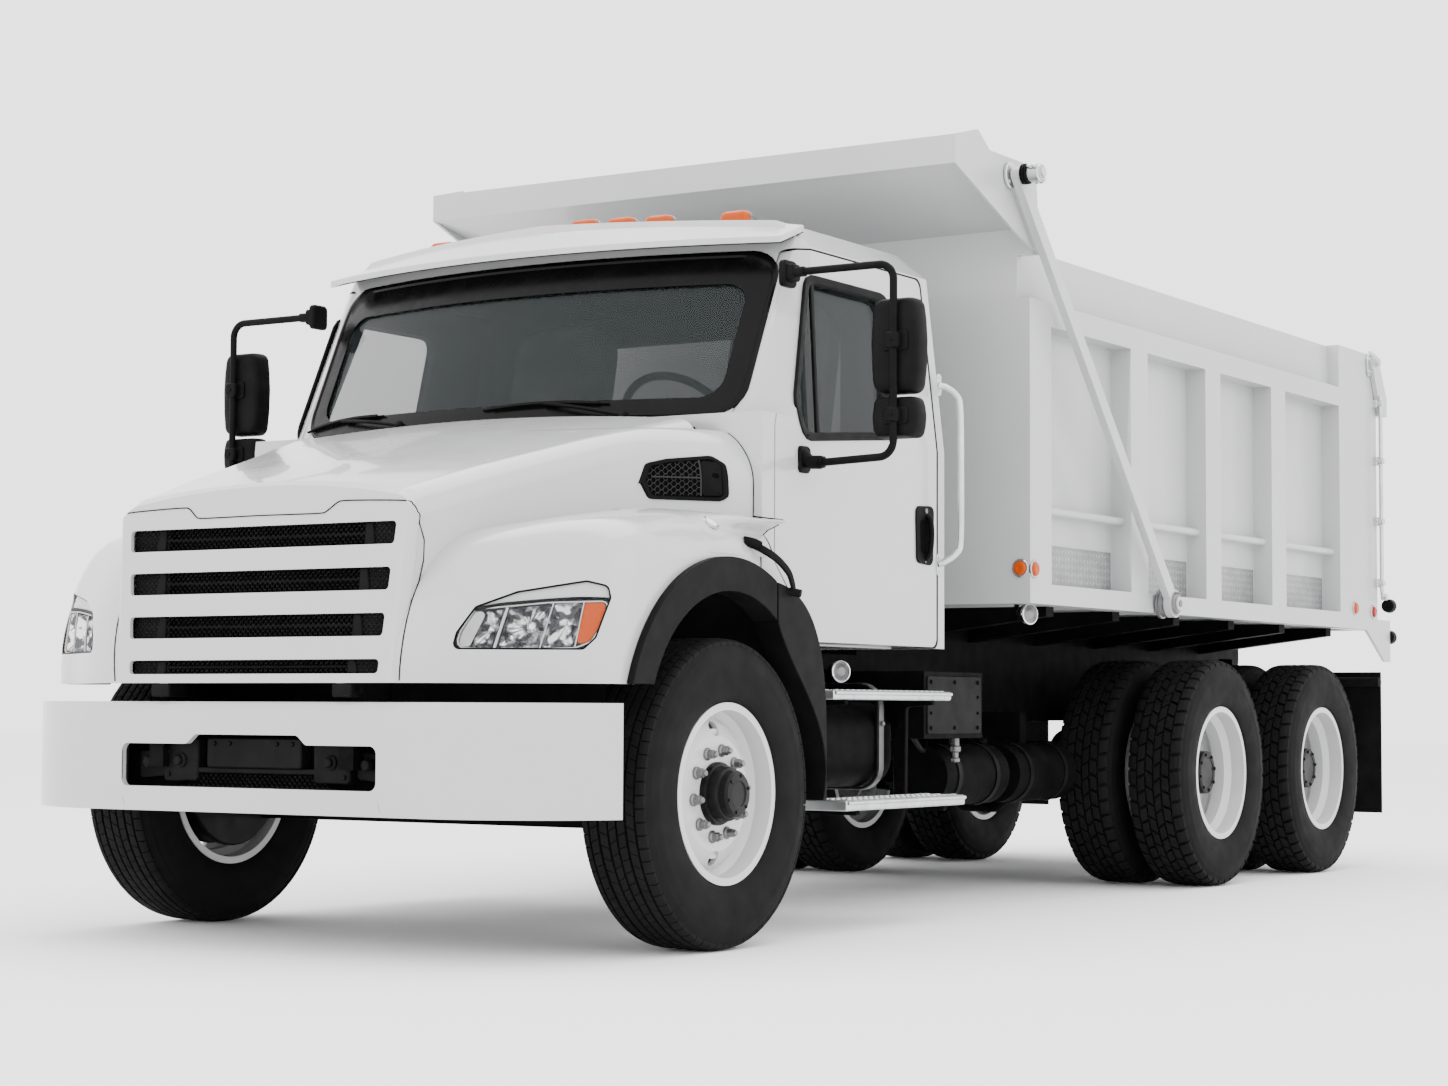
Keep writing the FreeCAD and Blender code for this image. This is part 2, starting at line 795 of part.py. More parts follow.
def rear_axle(index):
    """A tube axle with its round differential housing, its nose and a spindle at each end."""
    centre = V(tandem_first_x - index * tandem_spacing, 0, tyre_radius)
    tube = rod(centre - V(0, rear_tube_y, 0), centre + V(0, rear_tube_y, 0), rear_tube_radius)
    spindle_end = dual_centre_y + dual_spacing / 2
    spindle = rod(centre - V(0, spindle_end, 0), centre + V(0, spindle_end, 0), spindle_radius)
    housing = turned([(0, -diff_half_width), (diff_radius * diff_end_share, -diff_half_width),
                      (diff_radius, -diff_half_width / 2),
                      (diff_radius, diff_half_width / 2), (diff_radius * diff_end_share, diff_half_width),
                      (0, diff_half_width)], centre)
    nose_start = V(centre.x, 0, prop_shaft_z)
    nose = rod(nose_start, nose_start + V(diff_nose_length, 0, 0), diff_nose_radius)
    return fused([tube, spindle, housing, nose])


def rear_axles():
    first, second = rear_axle(0), rear_axle(1)
    shaft_start = V(tandem_first_x - tandem_spacing + diff_nose_length, 0, prop_shaft_z)
    between = rod(shaft_start, V(tandem_first_x, 0, prop_shaft_z), prop_shaft_radius)
    front_start = V(tandem_first_x + diff_nose_length, 0, prop_shaft_z)
    gearbox_end = V(gearbox_x[0] - prop_shaft_end_gap, 0,
                    (gearbox_z[0] + gearbox_z[1]) / 2 - gearbox_half_width / 4)
    front = rod(front_start, gearbox_end, prop_shaft_radius)
    return fused([first, second, between, front])


def rear_suspension():
    """An equalizing beam on each side, hung at its middle from a saddle and ending on both axles."""
    first_x = tandem_first_x
    second_x = tandem_first_x - tandem_spacing
    middle_x = (first_x + second_x) / 2
    y = (equalizer_y - equalizer_width / 2, equalizer_y + equalizer_width / 2)
    low = tyre_radius - equalizer_drop
    outline = [(first_x, low + equalizer_end / 2), (middle_x, low + equalizer_height / 3),
               (second_x, low + equalizer_end / 2), (second_x, low - equalizer_end / 2),
               (middle_x, low - equalizer_height * 2 / 3), (first_x, low - equalizer_end / 2)]
    beam = prism(outline, y[0], y[1], "xz")
    pieces = [beam]
    for x in (first_x, second_x):
        pieces.append(rod(V(x, y[0], tyre_radius), V(x, y[1], tyre_radius), rear_tube_radius + spring_leaf))
    pieces.append(rod(V(middle_x, rail_outside_y, low), V(middle_x, y[1] + spring_leaf, low),
                      saddle_shaft_radius))
    saddle_y = (rail_outside_y, y[0] - spring_leaf)
    saddle = prism([(middle_x - saddle_length / 2, rail_bottom_z + rail_height),
                    (middle_x + saddle_length / 2, rail_bottom_z + rail_height),
                    (middle_x + saddle_length / 2, rail_bottom_z), (middle_x + saddle_shaft_radius, low),
                    (middle_x - saddle_shaft_radius, low), (middle_x - saddle_length / 2, rail_bottom_z)],
                   saddle_y[0], saddle_y[1], "xz")
    pieces.append(saddle)
    whole = fused(pieces)
    for x in (first_x, second_x):
        whole = whole.cut(rod(V(x, 0, tyre_radius), V(x, rear_tube_y * 2, tyre_radius), rear_tube_radius))
    return both(whole)


# Frame

def rail():
    """A channel whose web is on the outside and whose flanges point inwards."""
    top = rail_bottom_z + rail_height
    outer = rail_outside_y
    inner = rail_outside_y - rail_flange
    outline = [(inner, rail_bottom_z), (outer, rail_bottom_z), (outer, top), (inner, top),
               (inner, top - rail_wall),
               (outer - rail_wall, top - rail_wall), (outer - rail_wall, rail_bottom_z + rail_wall),
               (inner, rail_bottom_z + rail_wall)]
    return prism(outline, rail_rear_x, rail_front_x, "yz")


def cross_member(x, z, depth):
    half = cross_thickness / 2
    reach = rail_outside_y - rail_wall
    outline = [(x - half, z), (x + half, z), (x + half, z + rail_wall),
               (x - half + rail_wall, z + rail_wall),
               (x - half + rail_wall, z + depth - rail_wall), (x + half, z + depth - rail_wall),
               (x + half, z + depth), (x - half, z + depth)]
    return prism(outline, -reach, reach, "xz")


def hinge_block():
    """The block on the rail's end that carries the body's hinge pin."""
    top = rail_bottom_z + rail_height
    outline = [(rail_rear_x, top), (rail_rear_x + sill_width * 3, top),
               (bed_hinge_x + bed_hinge_eye_radius, bed_hinge_z),
               (bed_hinge_x - bed_hinge_pin_radius, bed_hinge_z)]
    plate = prism(outline, hinge_inner_y() - hoist_lug_thickness, hinge_inner_y(), "xz")
    pin = rod(V(bed_hinge_x, hinge_inner_y() - hoist_lug_thickness, bed_hinge_z),
              V(bed_hinge_x, sill_y + sill_width / 2, bed_hinge_z), bed_hinge_pin_radius)
    return fused([plate, pin])


def hinge_inner_y():
    return sill_y - sill_width / 2 - hoist_lug_gap


def frame():
    pieces = [rail(), mirrored(rail())]
    pieces.append(cross_member(front_cross_x, rail_bottom_z, cross_depth))
    pieces.append(cross_member(engine_cross_x, rail_bottom_z, cross_low_depth))
    pieces.append(cross_member(cab_cross_x, rail_bottom_z + rail_height - cross_low_depth, cross_low_depth))
    pieces += [cross_member(x, rail_bottom_z + cross_low_depth, cross_depth) for x in plain_cross_places]
    pieces += [cross_member(x, rail_bottom_z, cross_low_depth) for x in hoist_cross_places]
    pieces += [cross_member(x, rail_bottom_z, cross_depth) for x in rear_cross_places]
    base = V(hoist_base_x, 0, hoist_base_z)
    reach = V(0, rail_outside_y - rail_wall, 0)
    pieces.append(rod(base - reach, base + reach, hoist_pin_radius))
    for end in (-1, 1):
        pieces += [spring_hanger(end), mirrored(spring_hanger(end))]
    pieces += [hinge_block(), mirrored(hinge_block())]
    plate_x = rear_cross_places[-1] - cross_thickness / 2
    plate = box((plate_x - hitch_plate_thickness, plate_x), (-hitch_plate_half_y, hitch_plate_half_y),
                hitch_plate_z)
    pieces.append(plate)
    bracket = box((rail_front_x - cross_thickness, bumper_front_x),
                  (rail_outside_y - bumper_bracket_width, rail_outside_y),
                  (hitch_plate_z[0], rail_bottom_z + rail_wall)).common(bumper_form(bumper_wall))
    pieces += [bracket, mirrored(bracket), hood_hinge_arm(), mirrored(hood_hinge_arm())]
    whole = fused(pieces)
    whole = whole.cut(rod(base - V(0, hoist_eye_width / 2, 0), base + V(0, hoist_eye_width / 2, 0),
                          hoist_pin_radius + overrun).cut(
        rod(base - V(0, hoist_eye_width, 0), base + V(0, hoist_eye_width, 0), hoist_pin_radius)))
    for y in (-hitch_hole_spacing_y / 2, hitch_hole_spacing_y / 2):
        for z in (-hitch_hole_spacing_z / 2, hitch_hole_spacing_z / 2):
            at = V(plate_x - hitch_plate_thickness - overrun, y, hitch_centre_z() + z)
            whole = whole.cut(rod(at, at + V(hitch_plate_thickness + overrun * 2, 0, 0), hitch_hole_radius))
    return whole


def hood_hinge_arm():
    """The arm in front of each rail that carries the hood's hinge pin."""
    pin_half = hood_hinge_ear * hood_hinge_eye_share
    outer = hood_hinge_y + hood_hinge_ear
    arm = prism([(rail_front_x - rail_wall, rail_bottom_z + rail_wall),
                 (rail_front_x - rail_wall, hood_hinge_z + pin_half),
                 (hood_hinge_x, hood_hinge_z + pin_half), (hood_hinge_x, hood_hinge_z - pin_half),
                 (rail_front_x + rail_flange, rail_bottom_z + rail_wall)], hood_hinge_y, outer, "xz")
    pin = rod(V(hood_hinge_x, outer, hood_hinge_z),
              V(hood_hinge_x, hood_hinge_y - hood_hinge_ear - seat_gap, hood_hinge_z), hood_hinge_radius)
    eye = rod(V(hood_hinge_x, hood_hinge_y, hood_hinge_z), V(hood_hinge_x, outer, hood_hinge_z), pin_half)
    return fused([arm, eye, pin])


def hood_hinge_lug():
    """The ear inside the hood's foot that turns on the hinge pin."""
    y = (hood_hinge_y - hood_hinge_ear - seat_gap, hood_hinge_y - seat_gap)
    eye = rod(V(hood_hinge_x, y[0], hood_hinge_z), V(hood_hinge_x, y[1], hood_hinge_z),
              hood_hinge_ear * hood_hinge_eye_share)
    ear = box((hood_hinge_x, nose_foot_x - hood_wall / 2), y,
              (hood_hinge_z - hood_hinge_ear / 3, grille_slot_places()[-1][0] - grille_margin - seat_gap))
    hole = rod(V(hood_hinge_x, 0, hood_hinge_z), V(hood_hinge_x, rail_outside_y, hood_hinge_z),
               hood_hinge_radius + running_clearance)
    return eye.fuse(ear).cut(hole)


def hitch_centre_z():
    return (hitch_plate_z[0] + rail_bottom_z) / 2 - hitch_hole_radius


def powertrain():
    engine = box(engine_x, (-engine_half_width, engine_half_width), engine_z)
    gearbox = box(gearbox_x, (-gearbox_half_width, gearbox_half_width), gearbox_z)
    mounts = []
    for x in engine_mount_x:
        mount = box((x, x + engine_mount_width), (engine_half_width - rail_wall,
                                                  rail_outside_y - rail_wall),
                    (engine_z[0], rail_bottom_z + rail_height - rail_wall))
        mounts += [mount, mirrored(mount)]
    return fused([engine, gearbox] + mounts)


def radiator():
    return box(radiator_x, (-radiator_half_width, radiator_half_width),
               (rail_bottom_z + cross_depth, radiator_z[1]))


# Front bumper

def bumper_form(inset, height_inset=None):
    """The bumper's solid form: its plan curve, swept back at both ends."""
    height_inset = inset if height_inset is None else height_inset
    plan = [(bumper_end_x, bumper_end_y - inset), (bumper_bend_x - inset, bumper_bend_y - inset / 2),
            (bumper_seam_x - inset, bumper_seam_y), (bumper_front_x - inset, bumper_flat_half / 2),
            (bumper_front_x - inset, -bumper_flat_half / 2), (bumper_seam_x - inset, -bumper_seam_y),
            (bumper_bend_x - inset, -bumper_bend_y + inset / 2), (bumper_end_x, -bumper_end_y + inset)]
    z = (bumper_z[0] + height_inset, bumper_z[1] - height_inset)
    return smooth_prism(plan, z[0], z[1], "xy", [])


def bumper():
    lower, upper = bumper_z
    lean = prism([(bumper_end_x - overrun, lower), (bumper_front_x - bumper_lean, lower),
                  (bumper_front_x, lower + bumper_lean * 3), (bumper_front_x, upper - bumper_lean),
                  (bumper_front_x - bumper_lean, upper), (bumper_end_x - overrun, upper)],
                 -bumper_end_y - overrun, bumper_end_y + overrun, "xz")
    inner = bumper_form(bumper_wall)
    inner = inner.fuse(box((bumper_end_x - overrun, bumper_end_x + bumper_wall),
                           (-bumper_end_y + bumper_wall, bumper_end_y - bumper_wall),
                           (lower + bumper_wall, upper - bumper_wall)))
    skin = bumper_form(0).common(lean).cut(inner).cut(bumper_form(bumper_flange, 0))
    low, top = bumper_opening_z
    half, notch = bumper_opening_half, bumper_notch_half
    outline = [(half, low), (half, top), (notch + bumper_notch_slope, top), (notch, bumper_notch_z)]
    outline += [(-y, z) for y, z in reversed(outline)]
    opening = prism(outline, bumper_seam_x - bumper_wall * 4, bumper_front_x + overrun, "yz",
                    bumper_opening_round)
    return skin.cut(opening)


# Hood and fenders

def bonnet_section(x, half, edge_z, foot_half, inset):
    """One cross-section of the bonnet: upright sides, a rounded shoulder and a crowned top."""
    low = hood_bottom_z - overrun * (2 if inset else 1)
    half, foot_half, edge_z = half - inset, foot_half - inset, edge_z - inset
    r = hood_shoulder_radius
    bend = r * (1 - math.cos(math.pi / 4))
    left = [V(x, half, edge_z - r), V(x, half - bend, edge_z - bend),
            V(x, half - r, edge_z)]
    crown = V(x, 0, edge_z + hood_crown)
    flip = [V(p.x, -p.y, p.z) for p in left]
    edges = [Part.LineSegment(V(x, foot_half, low), left[0]).toShape(), Part.Arc(*left).toShape(),
             Part.Arc(left[2], crown, flip[2]).toShape(), Part.Arc(flip[2], flip[1], flip[0]).toShape(),
             Part.LineSegment(flip[0], V(x, -foot_half, low)).toShape(),
             Part.LineSegment(V(x, -foot_half, low), V(x, foot_half, low)).toShape()]
    return Part.Wire(edges)


def nose_corner(inset):
    """What is cut off outside the round upright corner of the nose, following its lean and its taper."""
    radius = nose_corner_radius
    wires = []
    for z in (hood_bottom_z - overrun * 2, hood_end_z):
        x = nose_face_x(z) - inset
        climb = (z - hood_bottom_z) / (nose_z - hood_bottom_z)
        y = nose_foot_half_width + (nose_half_width - nose_foot_half_width) * climb
        y -= inset
        middle = radius * (1 - math.cos(math.pi / 4))
        arc = Part.Arc(V(x - radius, y, z), V(x - middle, y - middle, z), V(x, y - radius, z))
        corners = [V(x, y - radius, z), V(x + overrun, y - radius, z), V(x + overrun, y + overrun, z),
                   V(x - radius, y + overrun, z), V(x - radius, y, z)]
        edges = [arc.toShape()] + [Part.LineSegment(a, b).toShape() for a, b in zip(corners, corners[1:])]
        wires.append(Part.Wire(edges))
    return Part.makeLoft(wires, True, True)


def bonnet_form(inset):
    sections = [(hood_rear_x - inset * 2, hood_end_half_width, hood_end_z, hood_end_half_width),
                (hood_back_x, hood_back_half_width, hood_back_z, hood_back_half_width),
                (hood_mid_x, hood_mid_half_width, hood_mid_z, hood_mid_half_width),
                (hood_brow_x - inset, nose_half_width, hood_brow_z, nose_foot_half_width),
                (nose_foot_x + overrun - inset, nose_half_width, nose_z, nose_foot_half_width)]
    wires = [bonnet_section(x, half, edge_z, foot, inset) for x, half, edge_z, foot in sections]
    form = Part.makeLoft(wires, True, True)
    foot_x = nose_foot_x - inset
    front = prism([(hood_rear_x - inset * 3, hood_bottom_z), (foot_x, hood_bottom_z),
                   (nose_x - inset, nose_z),
                   (hood_brow_x - inset, hood_mid_z), (hood_brow_x - inset, hood_end_z * 2),
                   (hood_rear_x - inset * 3, hood_end_z * 2)],
                  -nose_half_width * 2, nose_half_width * 2, "xz")
    return form.common(front).cut(both(nose_corner(inset)))


def fender_station(y, front, crest, inset):
    """One rib of the fender from the side: a smooth curve from the front foot over the crest to the rear."""
    low = hood_bottom_z - (overrun if inset else 0)
    front, rear = front - inset, fender_rear_x - inset
    points = [V(front - (front - rear) * along, y, low + (crest - inset - low) * up)
              for along, up in zip(fender_length_shares, fender_height_shares)]
    curve = Part.BSplineCurve()
    curve.interpolate(points)
    foot = V(rear, y, low)
    return Part.Wire([curve.toShape(), Part.LineSegment(points[-1], foot).toShape(),
                      Part.LineSegment(foot, points[0]).toShape()])


def fender_form(inset):
    """Both fenders in one block, each lofted outwards through its ribs."""
    crest = fender_crest_z
    ribs = [(0, fender_middle_x, crest - fender_inner_drop),
            (nose_foot_half_width, fender_root_x, crest - fender_inner_drop),
            (lamp_inner_y, lamp_inner_x, crest - fender_lamp_drop), (fender_crown_y, fender_crown_x, crest),
            (lamp_outer_y, lamp_outer_x, crest - fender_lamp_drop),
            (fender_shoulder_y, fender_shoulder_x, crest - fender_shoulder_drop),
            (fender_corner_y, fender_corner_x, crest - fender_edge_drop)]
    wires = [fender_station(y * (fender_corner_y - inset) / fender_corner_y, front, top, inset) for y,
             front, top in ribs]
    side = Part.makeLoft(wires, True, False)
    return side.fuse(mirrored(side))


def arch_cylinder(radius, y0, y1):
    at = V(arch_centre_x, y0, arch_centre_z)
    return rod(at, at + V(0, y1 - y0, 0), radius)


def lamp_prism(grow):
    """The outline of one headlamp carried through the fender's swept front."""
    way = V(lamp_outer_x - lamp_inner_x, lamp_outer_y - lamp_inner_y, 0).normalize()
    out = V(way.y, -way.x, 0)
    foot = V(lamp_inner_x, lamp_inner_y, lamp_bottom_z) + out * lamp_depth - way * grow - V(0, 0, grow)
    length, height = lamp_length + grow * 2, lamp_height + grow * 2
    points = [foot + way * (length * along) + V(0, 0, height * up)
              for along, up in zip(lamp_length_shares, lamp_height_shares)]
    return Part.Face(rounded_wire(points, lamp_round)).extrude(out * (-lamp_depth * 2))


def nose_face_x(z):
    """Where the leaning face of the nose stands at a height."""
    return nose_foot_x - (nose_foot_x - nose_x) / (nose_z - hood_bottom_z) * (z - hood_bottom_z)


def grille_slot_places():
    """Foot and top of each slot, from the top slot down, the lowest one shallower."""
    places = []
    for index in range(grille_slot_count):
        top = grille_top_z - (grille_slot_height + grille_bar) * index
        height = grille_slot_height if index < grille_slot_count - 1 else grille_low_slot_height
        places.append((top - height, top))
    return places


def grille_half_at(z):
    """Half the width of the slots at a height; they follow the taper of the nose."""
    foot = grille_slot_places()[-1][0]
    return grille_low_half + (grille_top_half - grille_low_half) * (z - foot) / (grille_top_z - foot)


def grille_slots(grow, start, end):
    """The slots as rounded bars carried along X, each wider than the slot by the growth."""
    slots = []
    for low, top in grille_slot_places():
        low_half, top_half = grille_half_at(low) + grow, grille_half_at(top) + grow
        outline = [(-low_half, low - grow), (low_half, low - grow), (top_half, top + grow),
                   (-top_half, top + grow)]
        slots.append(prism(outline, start, end, "yz", grille_slot_round + grow))
    return Part.makeCompound(slots)


def hood_solid():
    return bonnet_form(0).fuse(fender_form(0))


def hood_shell():
    outer = hood_solid()
    shell = outer.cut(bonnet_form(hood_wall)).cut(fender_form(hood_wall))
    rear = box((hood_rear_x * 3, hood_rear_x), (-fender_corner_y * 2, fender_corner_y * 2),
               (0, hood_end_z * 2))
    below = box((hood_rear_x * 3, nose_foot_x * 2), (-fender_corner_y * 2, fender_corner_y * 2),
                (0, hood_bottom_z))
    arches = both(arch_cylinder(arch_radius, hood_end_half_width, fender_corner_y * 2))
    lamps = both(lamp_prism(0))
    slots = grille_slots(0, hood_mid_x, nose_foot_x + overrun)
    shell = shell.cut(rear).cut(below).cut(arches).cut(lamps).cut(slots)
    skin = max(shell.Solids, key=lambda solid: solid.Volume)
    return fused([skin, hood_hinge_lug(), mirrored(hood_hinge_lug())])


def nose_layer(inner, outer):
    """The space between two depths behind the face of the nose, as high and wide as the screen."""
    foot = grille_slot_places()[-1][0] - grille_margin
    top = grille_top_z + grille_margin
    outline = [(nose_face_x(foot) - inner, foot), (nose_face_x(foot) - outer, foot),
               (nose_face_x(top) - outer, top), (nose_face_x(top) - inner, top)]
    low_half, top_half = grille_half_at(foot) + grille_side_margin, grille_half_at(top) + grille_side_margin
    frame_outline = prism([(-low_half, foot), (low_half, foot), (top_half, top), (-top_half, top)],
                          hood_mid_x, nose_foot_x + overrun, "yz")
    return prism(outline, -top_half, top_half, "xz").common(frame_outline)


def grille_screen():
    """The black screen behind the nose, with a rim that lines each slot."""
    seat = hood_wall + seat_gap
    plate = nose_layer(seat, seat + grille_plate)
    lined = nose_layer(hood_wall / 3, seat + grille_plate)
    liners = grille_slots(-seat_gap, hood_mid_x, nose_foot_x + overrun).common(lined)
    holes = grille_slots(-seat_gap - grille_rim, hood_mid_x, nose_foot_x + overrun)
    return plate.fuse(liners).cut(holes.common(nose_layer(0, seat + grille_plate / 2))).removeSplitter()


def headlamp():
    """The lens of one headlamp, flush with the fender and as deep as its housing."""
    body = lamp_prism(-seat_gap)
    shell = body.common(fender_form(lamp_seat)).cut(fender_form(hood_wall + lamp_depth / 2))
    return max(shell.Solids, key=lambda solid: solid.Volume)


def flare_ring(y0, y1):
    ring = arch_cylinder(flare_outer_radius, y0, y1).cut(arch_cylinder(flare_inner_radius, y0 - overrun,
                                                                       y1 + overrun))
    return ring


def hood_flare():
    """The black lip over the arch, from the fender's front foot to the split behind the crown."""
    ring = flare_ring(*flare_y)
    keep = prism([(flare_split_x + piece_gap / 2, arch_centre_z), (nose_foot_x, arch_centre_z),
                  (nose_foot_x, hood_end_z), (flare_split_x + piece_gap / 2, hood_end_z)],
                 0, fender_corner_y * 2, "xz")
    below = box((0, nose_foot_x), (0, fender_corner_y * 2), (0, hood_bottom_z))
    ring = ring.common(keep).cut(below)
    return ring.cut(hood_shell_side())


def hood_shell_side():
    return fender_form(0).cut(arch_cylinder(arch_radius, hood_end_half_width, fender_corner_y * 2))


def cab_flare():
    """The rear quarter of the arch lip and its leg down behind the wheel; it belongs to the cab."""
    split = flare_split_x - piece_gap / 2
    drop = math.sqrt(flare_outer_radius ** 2 - (split - arch_centre_x) ** 2)
    inner_drop = math.sqrt(flare_inner_radius ** 2 - (split - arch_centre_x) ** 2)
    leg = flare_leg_thickness
    outer = [V(split, flare_y[0], arch_centre_z + drop), V(flare_hip_x, flare_y[0], flare_hip_z),
             V(flare_knee_x, flare_y[0], flare_knee_z), V(flare_foot_x, flare_y[0], flare_foot_z)]
    inner = [V(flare_foot_x + leg, flare_y[0], flare_foot_z),
             V(flare_knee_x + leg, flare_y[0], flare_bend_z),
             V(flare_hip_x + flare_leg_width - leg, flare_y[0], flare_knee_z + leg),
             V(split, flare_y[0], arch_centre_z + inner_drop)]
    edges = []
    for points in (outer, inner):
        curve = Part.BSplineCurve()
        curve.interpolate(points)
        edges.append(curve.toShape())
    edges += [Part.LineSegment(outer[-1], inner[0]).toShape(),
              Part.LineSegment(inner[-1], outer[0]).toShape()]
    face = Part.Face(Part.Wire(Part.__sortEdges__(edges)))
    return face.extrude(V(0, flare_y[1] - flare_y[0], 0))


# Cab

def cab_section(inset):
    """The cab seen from the front: upright below the belt, leaning in above it, with a crowned roof."""
    side = cab_half_width - inset
    low = cab_floor_z if not inset else cab_floor_top_z
    right = [(side, low), (side, cab_belt_z), (cab_roof_edge_y - inset, cab_roof_edge_z - inset / 2),
             (cab_roof_shoulder_y - inset / 2, cab_roof_shoulder_z - inset), (0, cab_roof_crown_z - inset)]
    return right + [(-y, z) for y, z in reversed(right[:-1])]


def cab_form(inset):
    section = prism(cab_section(inset), cab_back_x + inset, windshield_centre_x, "yz")
    lower = box((cab_back_x + inset, cab_front_x - inset), (-cab_half_width, cab_half_width),
                (cab_floor_z, windshield_base_z))
    roof_z = cab_roof_crown_z
    rise = roof_z - windshield_base_z
    shift = V(-windshield_rake * rise, 0, rise)
    edge_y = windshield_edge_y + overrun
    front = [V(windshield_edge_x - inset, edge_y, windshield_base_z),
             V(windshield_centre_x - inset, 0, windshield_base_z),
             V(windshield_edge_x - inset, -edge_y, windshield_base_z)]
    corner_x = windshield_edge_x - cab_wall * 2 - inset
    back_x = cab_back_x + inset
    outer_y = cab_half_width
    points = [front[2], V(corner_x, -outer_y, windshield_base_z), V(back_x, -outer_y, windshield_base_z),
              V(back_x, outer_y, windshield_base_z), V(corner_x, outer_y, windshield_base_z), front[0]]
    edges = [Part.Arc(*front).toShape()]
    edges += [Part.LineSegment(a, b).toShape() for a, b in zip(points, points[1:])]
    upper = Part.Face(Part.Wire(Part.__sortEdges__(edges))).extrude(shift)
    straight = box((cab_back_x + inset, cab_back_x / 2), (-outer_y, outer_y), (windshield_base_z, roof_z))
    body = lower.fuse([upper, straight])
    return section.common(body)


def door_outline(grow):
    """The door seen from the side; its front foot follows the wheel arch."""
    return [(door_front_x + grow, door_arch_z), (door_front_x + grow, cab_belt_z),
            (door_top_front_x + grow, door_top_z + grow), (door_rear_x - grow * door_rear_gap / door_gap,
                                                           door_top_z + grow),
            (door_rear_x - grow * door_rear_gap / door_gap, door_bottom_z - grow),
            (door_arch_x + grow, door_bottom_z - grow)]


def window_outline(grow):
    return [(window_front_x + grow, window_front_z - grow), (window_corner_x + grow, window_corner_z),
            (window_top_front_x + grow / 2, window_top_z + grow), (window_rear_x - grow,
                                                                   window_top_z + grow),
            (window_rear_bottom_x - grow, window_bottom_z - grow)]


def windshield_outline(grow):
    low = windshield_base_z + windshield_border - grow
    top = windshield_top_z - windshield_border + grow
    low_half = windshield_edge_y - windshield_side_border + grow
    top_half = cab_roof_shoulder_y - windshield_side_border + grow
    return [(low_half, low), (top_half, top), (-top_half, top), (-low_half, low)]


def windshield_cut(grow):
    return prism(windshield_outline(grow), windshield_cut_x[0], windshield_cut_x[1], "yz",
                 window_round)


def rear_window_cut(grow):
    outline = [(rear_window_half + grow, rear_window_z[0] - grow),
               (rear_window_half + grow, rear_window_z[1] + grow),
               (-rear_window_half - grow, rear_window_z[1] + grow), (-rear_window_half - grow,
                                                                     rear_window_z[0] - grow)]
    return prism(outline, cab_back_x - overrun, cab_back_x + cab_wall + overrun, "yz", window_round)


def door_prism(grow):
    inner = cab_roof_edge_y - cab_wall * 2
    return prism(door_outline(grow), inner, cab_half_width + overrun, "xz", door_round)


def cab_shell():
    shell = cab_form(0).cut(cab_form(cab_wall))
    shell = shell.cut(both(door_prism(door_gap)))
    shell = shell.cut(windshield_cut(0)).cut(rear_window_cut(0))
    arches = both(arch_cylinder(arch_house_radius, gearbox_half_width * 3, cab_half_width + overrun))
    shell = shell.cut(arches).cut(both(cab_flare()))
    cover = box((engine_x[0] - cab_wall * 2, cab_front_x),
                (-engine_half_width - cab_wall, engine_half_width + cab_wall),
                (cab_floor_z, engine_z[1] + cab_wall))
    tunnel_inner = box((engine_x[0] - cab_wall, cab_front_x + overrun),
                       (-engine_half_width - overrun, engine_half_width + overrun),
                       (cab_floor_z - overrun, engine_z[1] + overrun))
    shell = shell.fuse(cover).cut(tunnel_inner)
    supports = both(box((cab_back_x + cab_wall, cab_back_x + cab_wall * 3),
                        (rail_outside_y - rail_flange, rail_outside_y),
                        (rail_bottom_z + rail_height, cab_floor_z + cab_wall / 4)))
    return fused([max(shell.Solids, key=lambda solid: solid.Volume)] + supports.Solids)


def cab_glass():
    windshield = cab_form(glass_inset).cut(cab_form(glass_inset + glass_thickness)).common(windshield_cut(0))
    back = rear_window_cut(0).common(box((cab_back_x + glass_inset,
                                          cab_back_x + glass_inset + glass_thickness),
                                         (-cab_half_width, cab_half_width), (cab_floor_z,
                                                                             cab_roof_crown_z)))
    return Part.makeCompound([max(windshield.Solids, key=lambda solid: solid.Volume), back])


def cowl():
    """The black strip between the hood's rear edge and the foot of the windshield."""
    return box((cab_front_x, hood_rear_x - piece_gap), (-hood_end_half_width + overrun * 3,
                                                        hood_end_half_width - overrun * 3),
               (windshield_base_z - cowl_depth, windshield_base_z - cowl_depth / 2))


def door_panel():
    slab = cab_form(0).cut(cab_form(cab_wall)).common(door_prism(0))
    slab = max(slab.Solids, key=lambda solid: solid.Volume)
    hole = prism(window_outline(0), cab_roof_edge_y - cab_wall * 3, cab_half_width + overrun, "xz",
                 window_round)
    return slab.cut(hole)


def door_glass():
    pane = cab_form(cab_wall / 2).cut(cab_form(cab_wall / 2 + glass_thickness))
    hole = prism(window_outline(0), cab_roof_edge_y - cab_wall * 3, cab_half_width + overrun, "xz",
                 window_round)
    cut = pane.common(hole)
    return max(cut.Solids, key=lambda solid: solid.Volume)


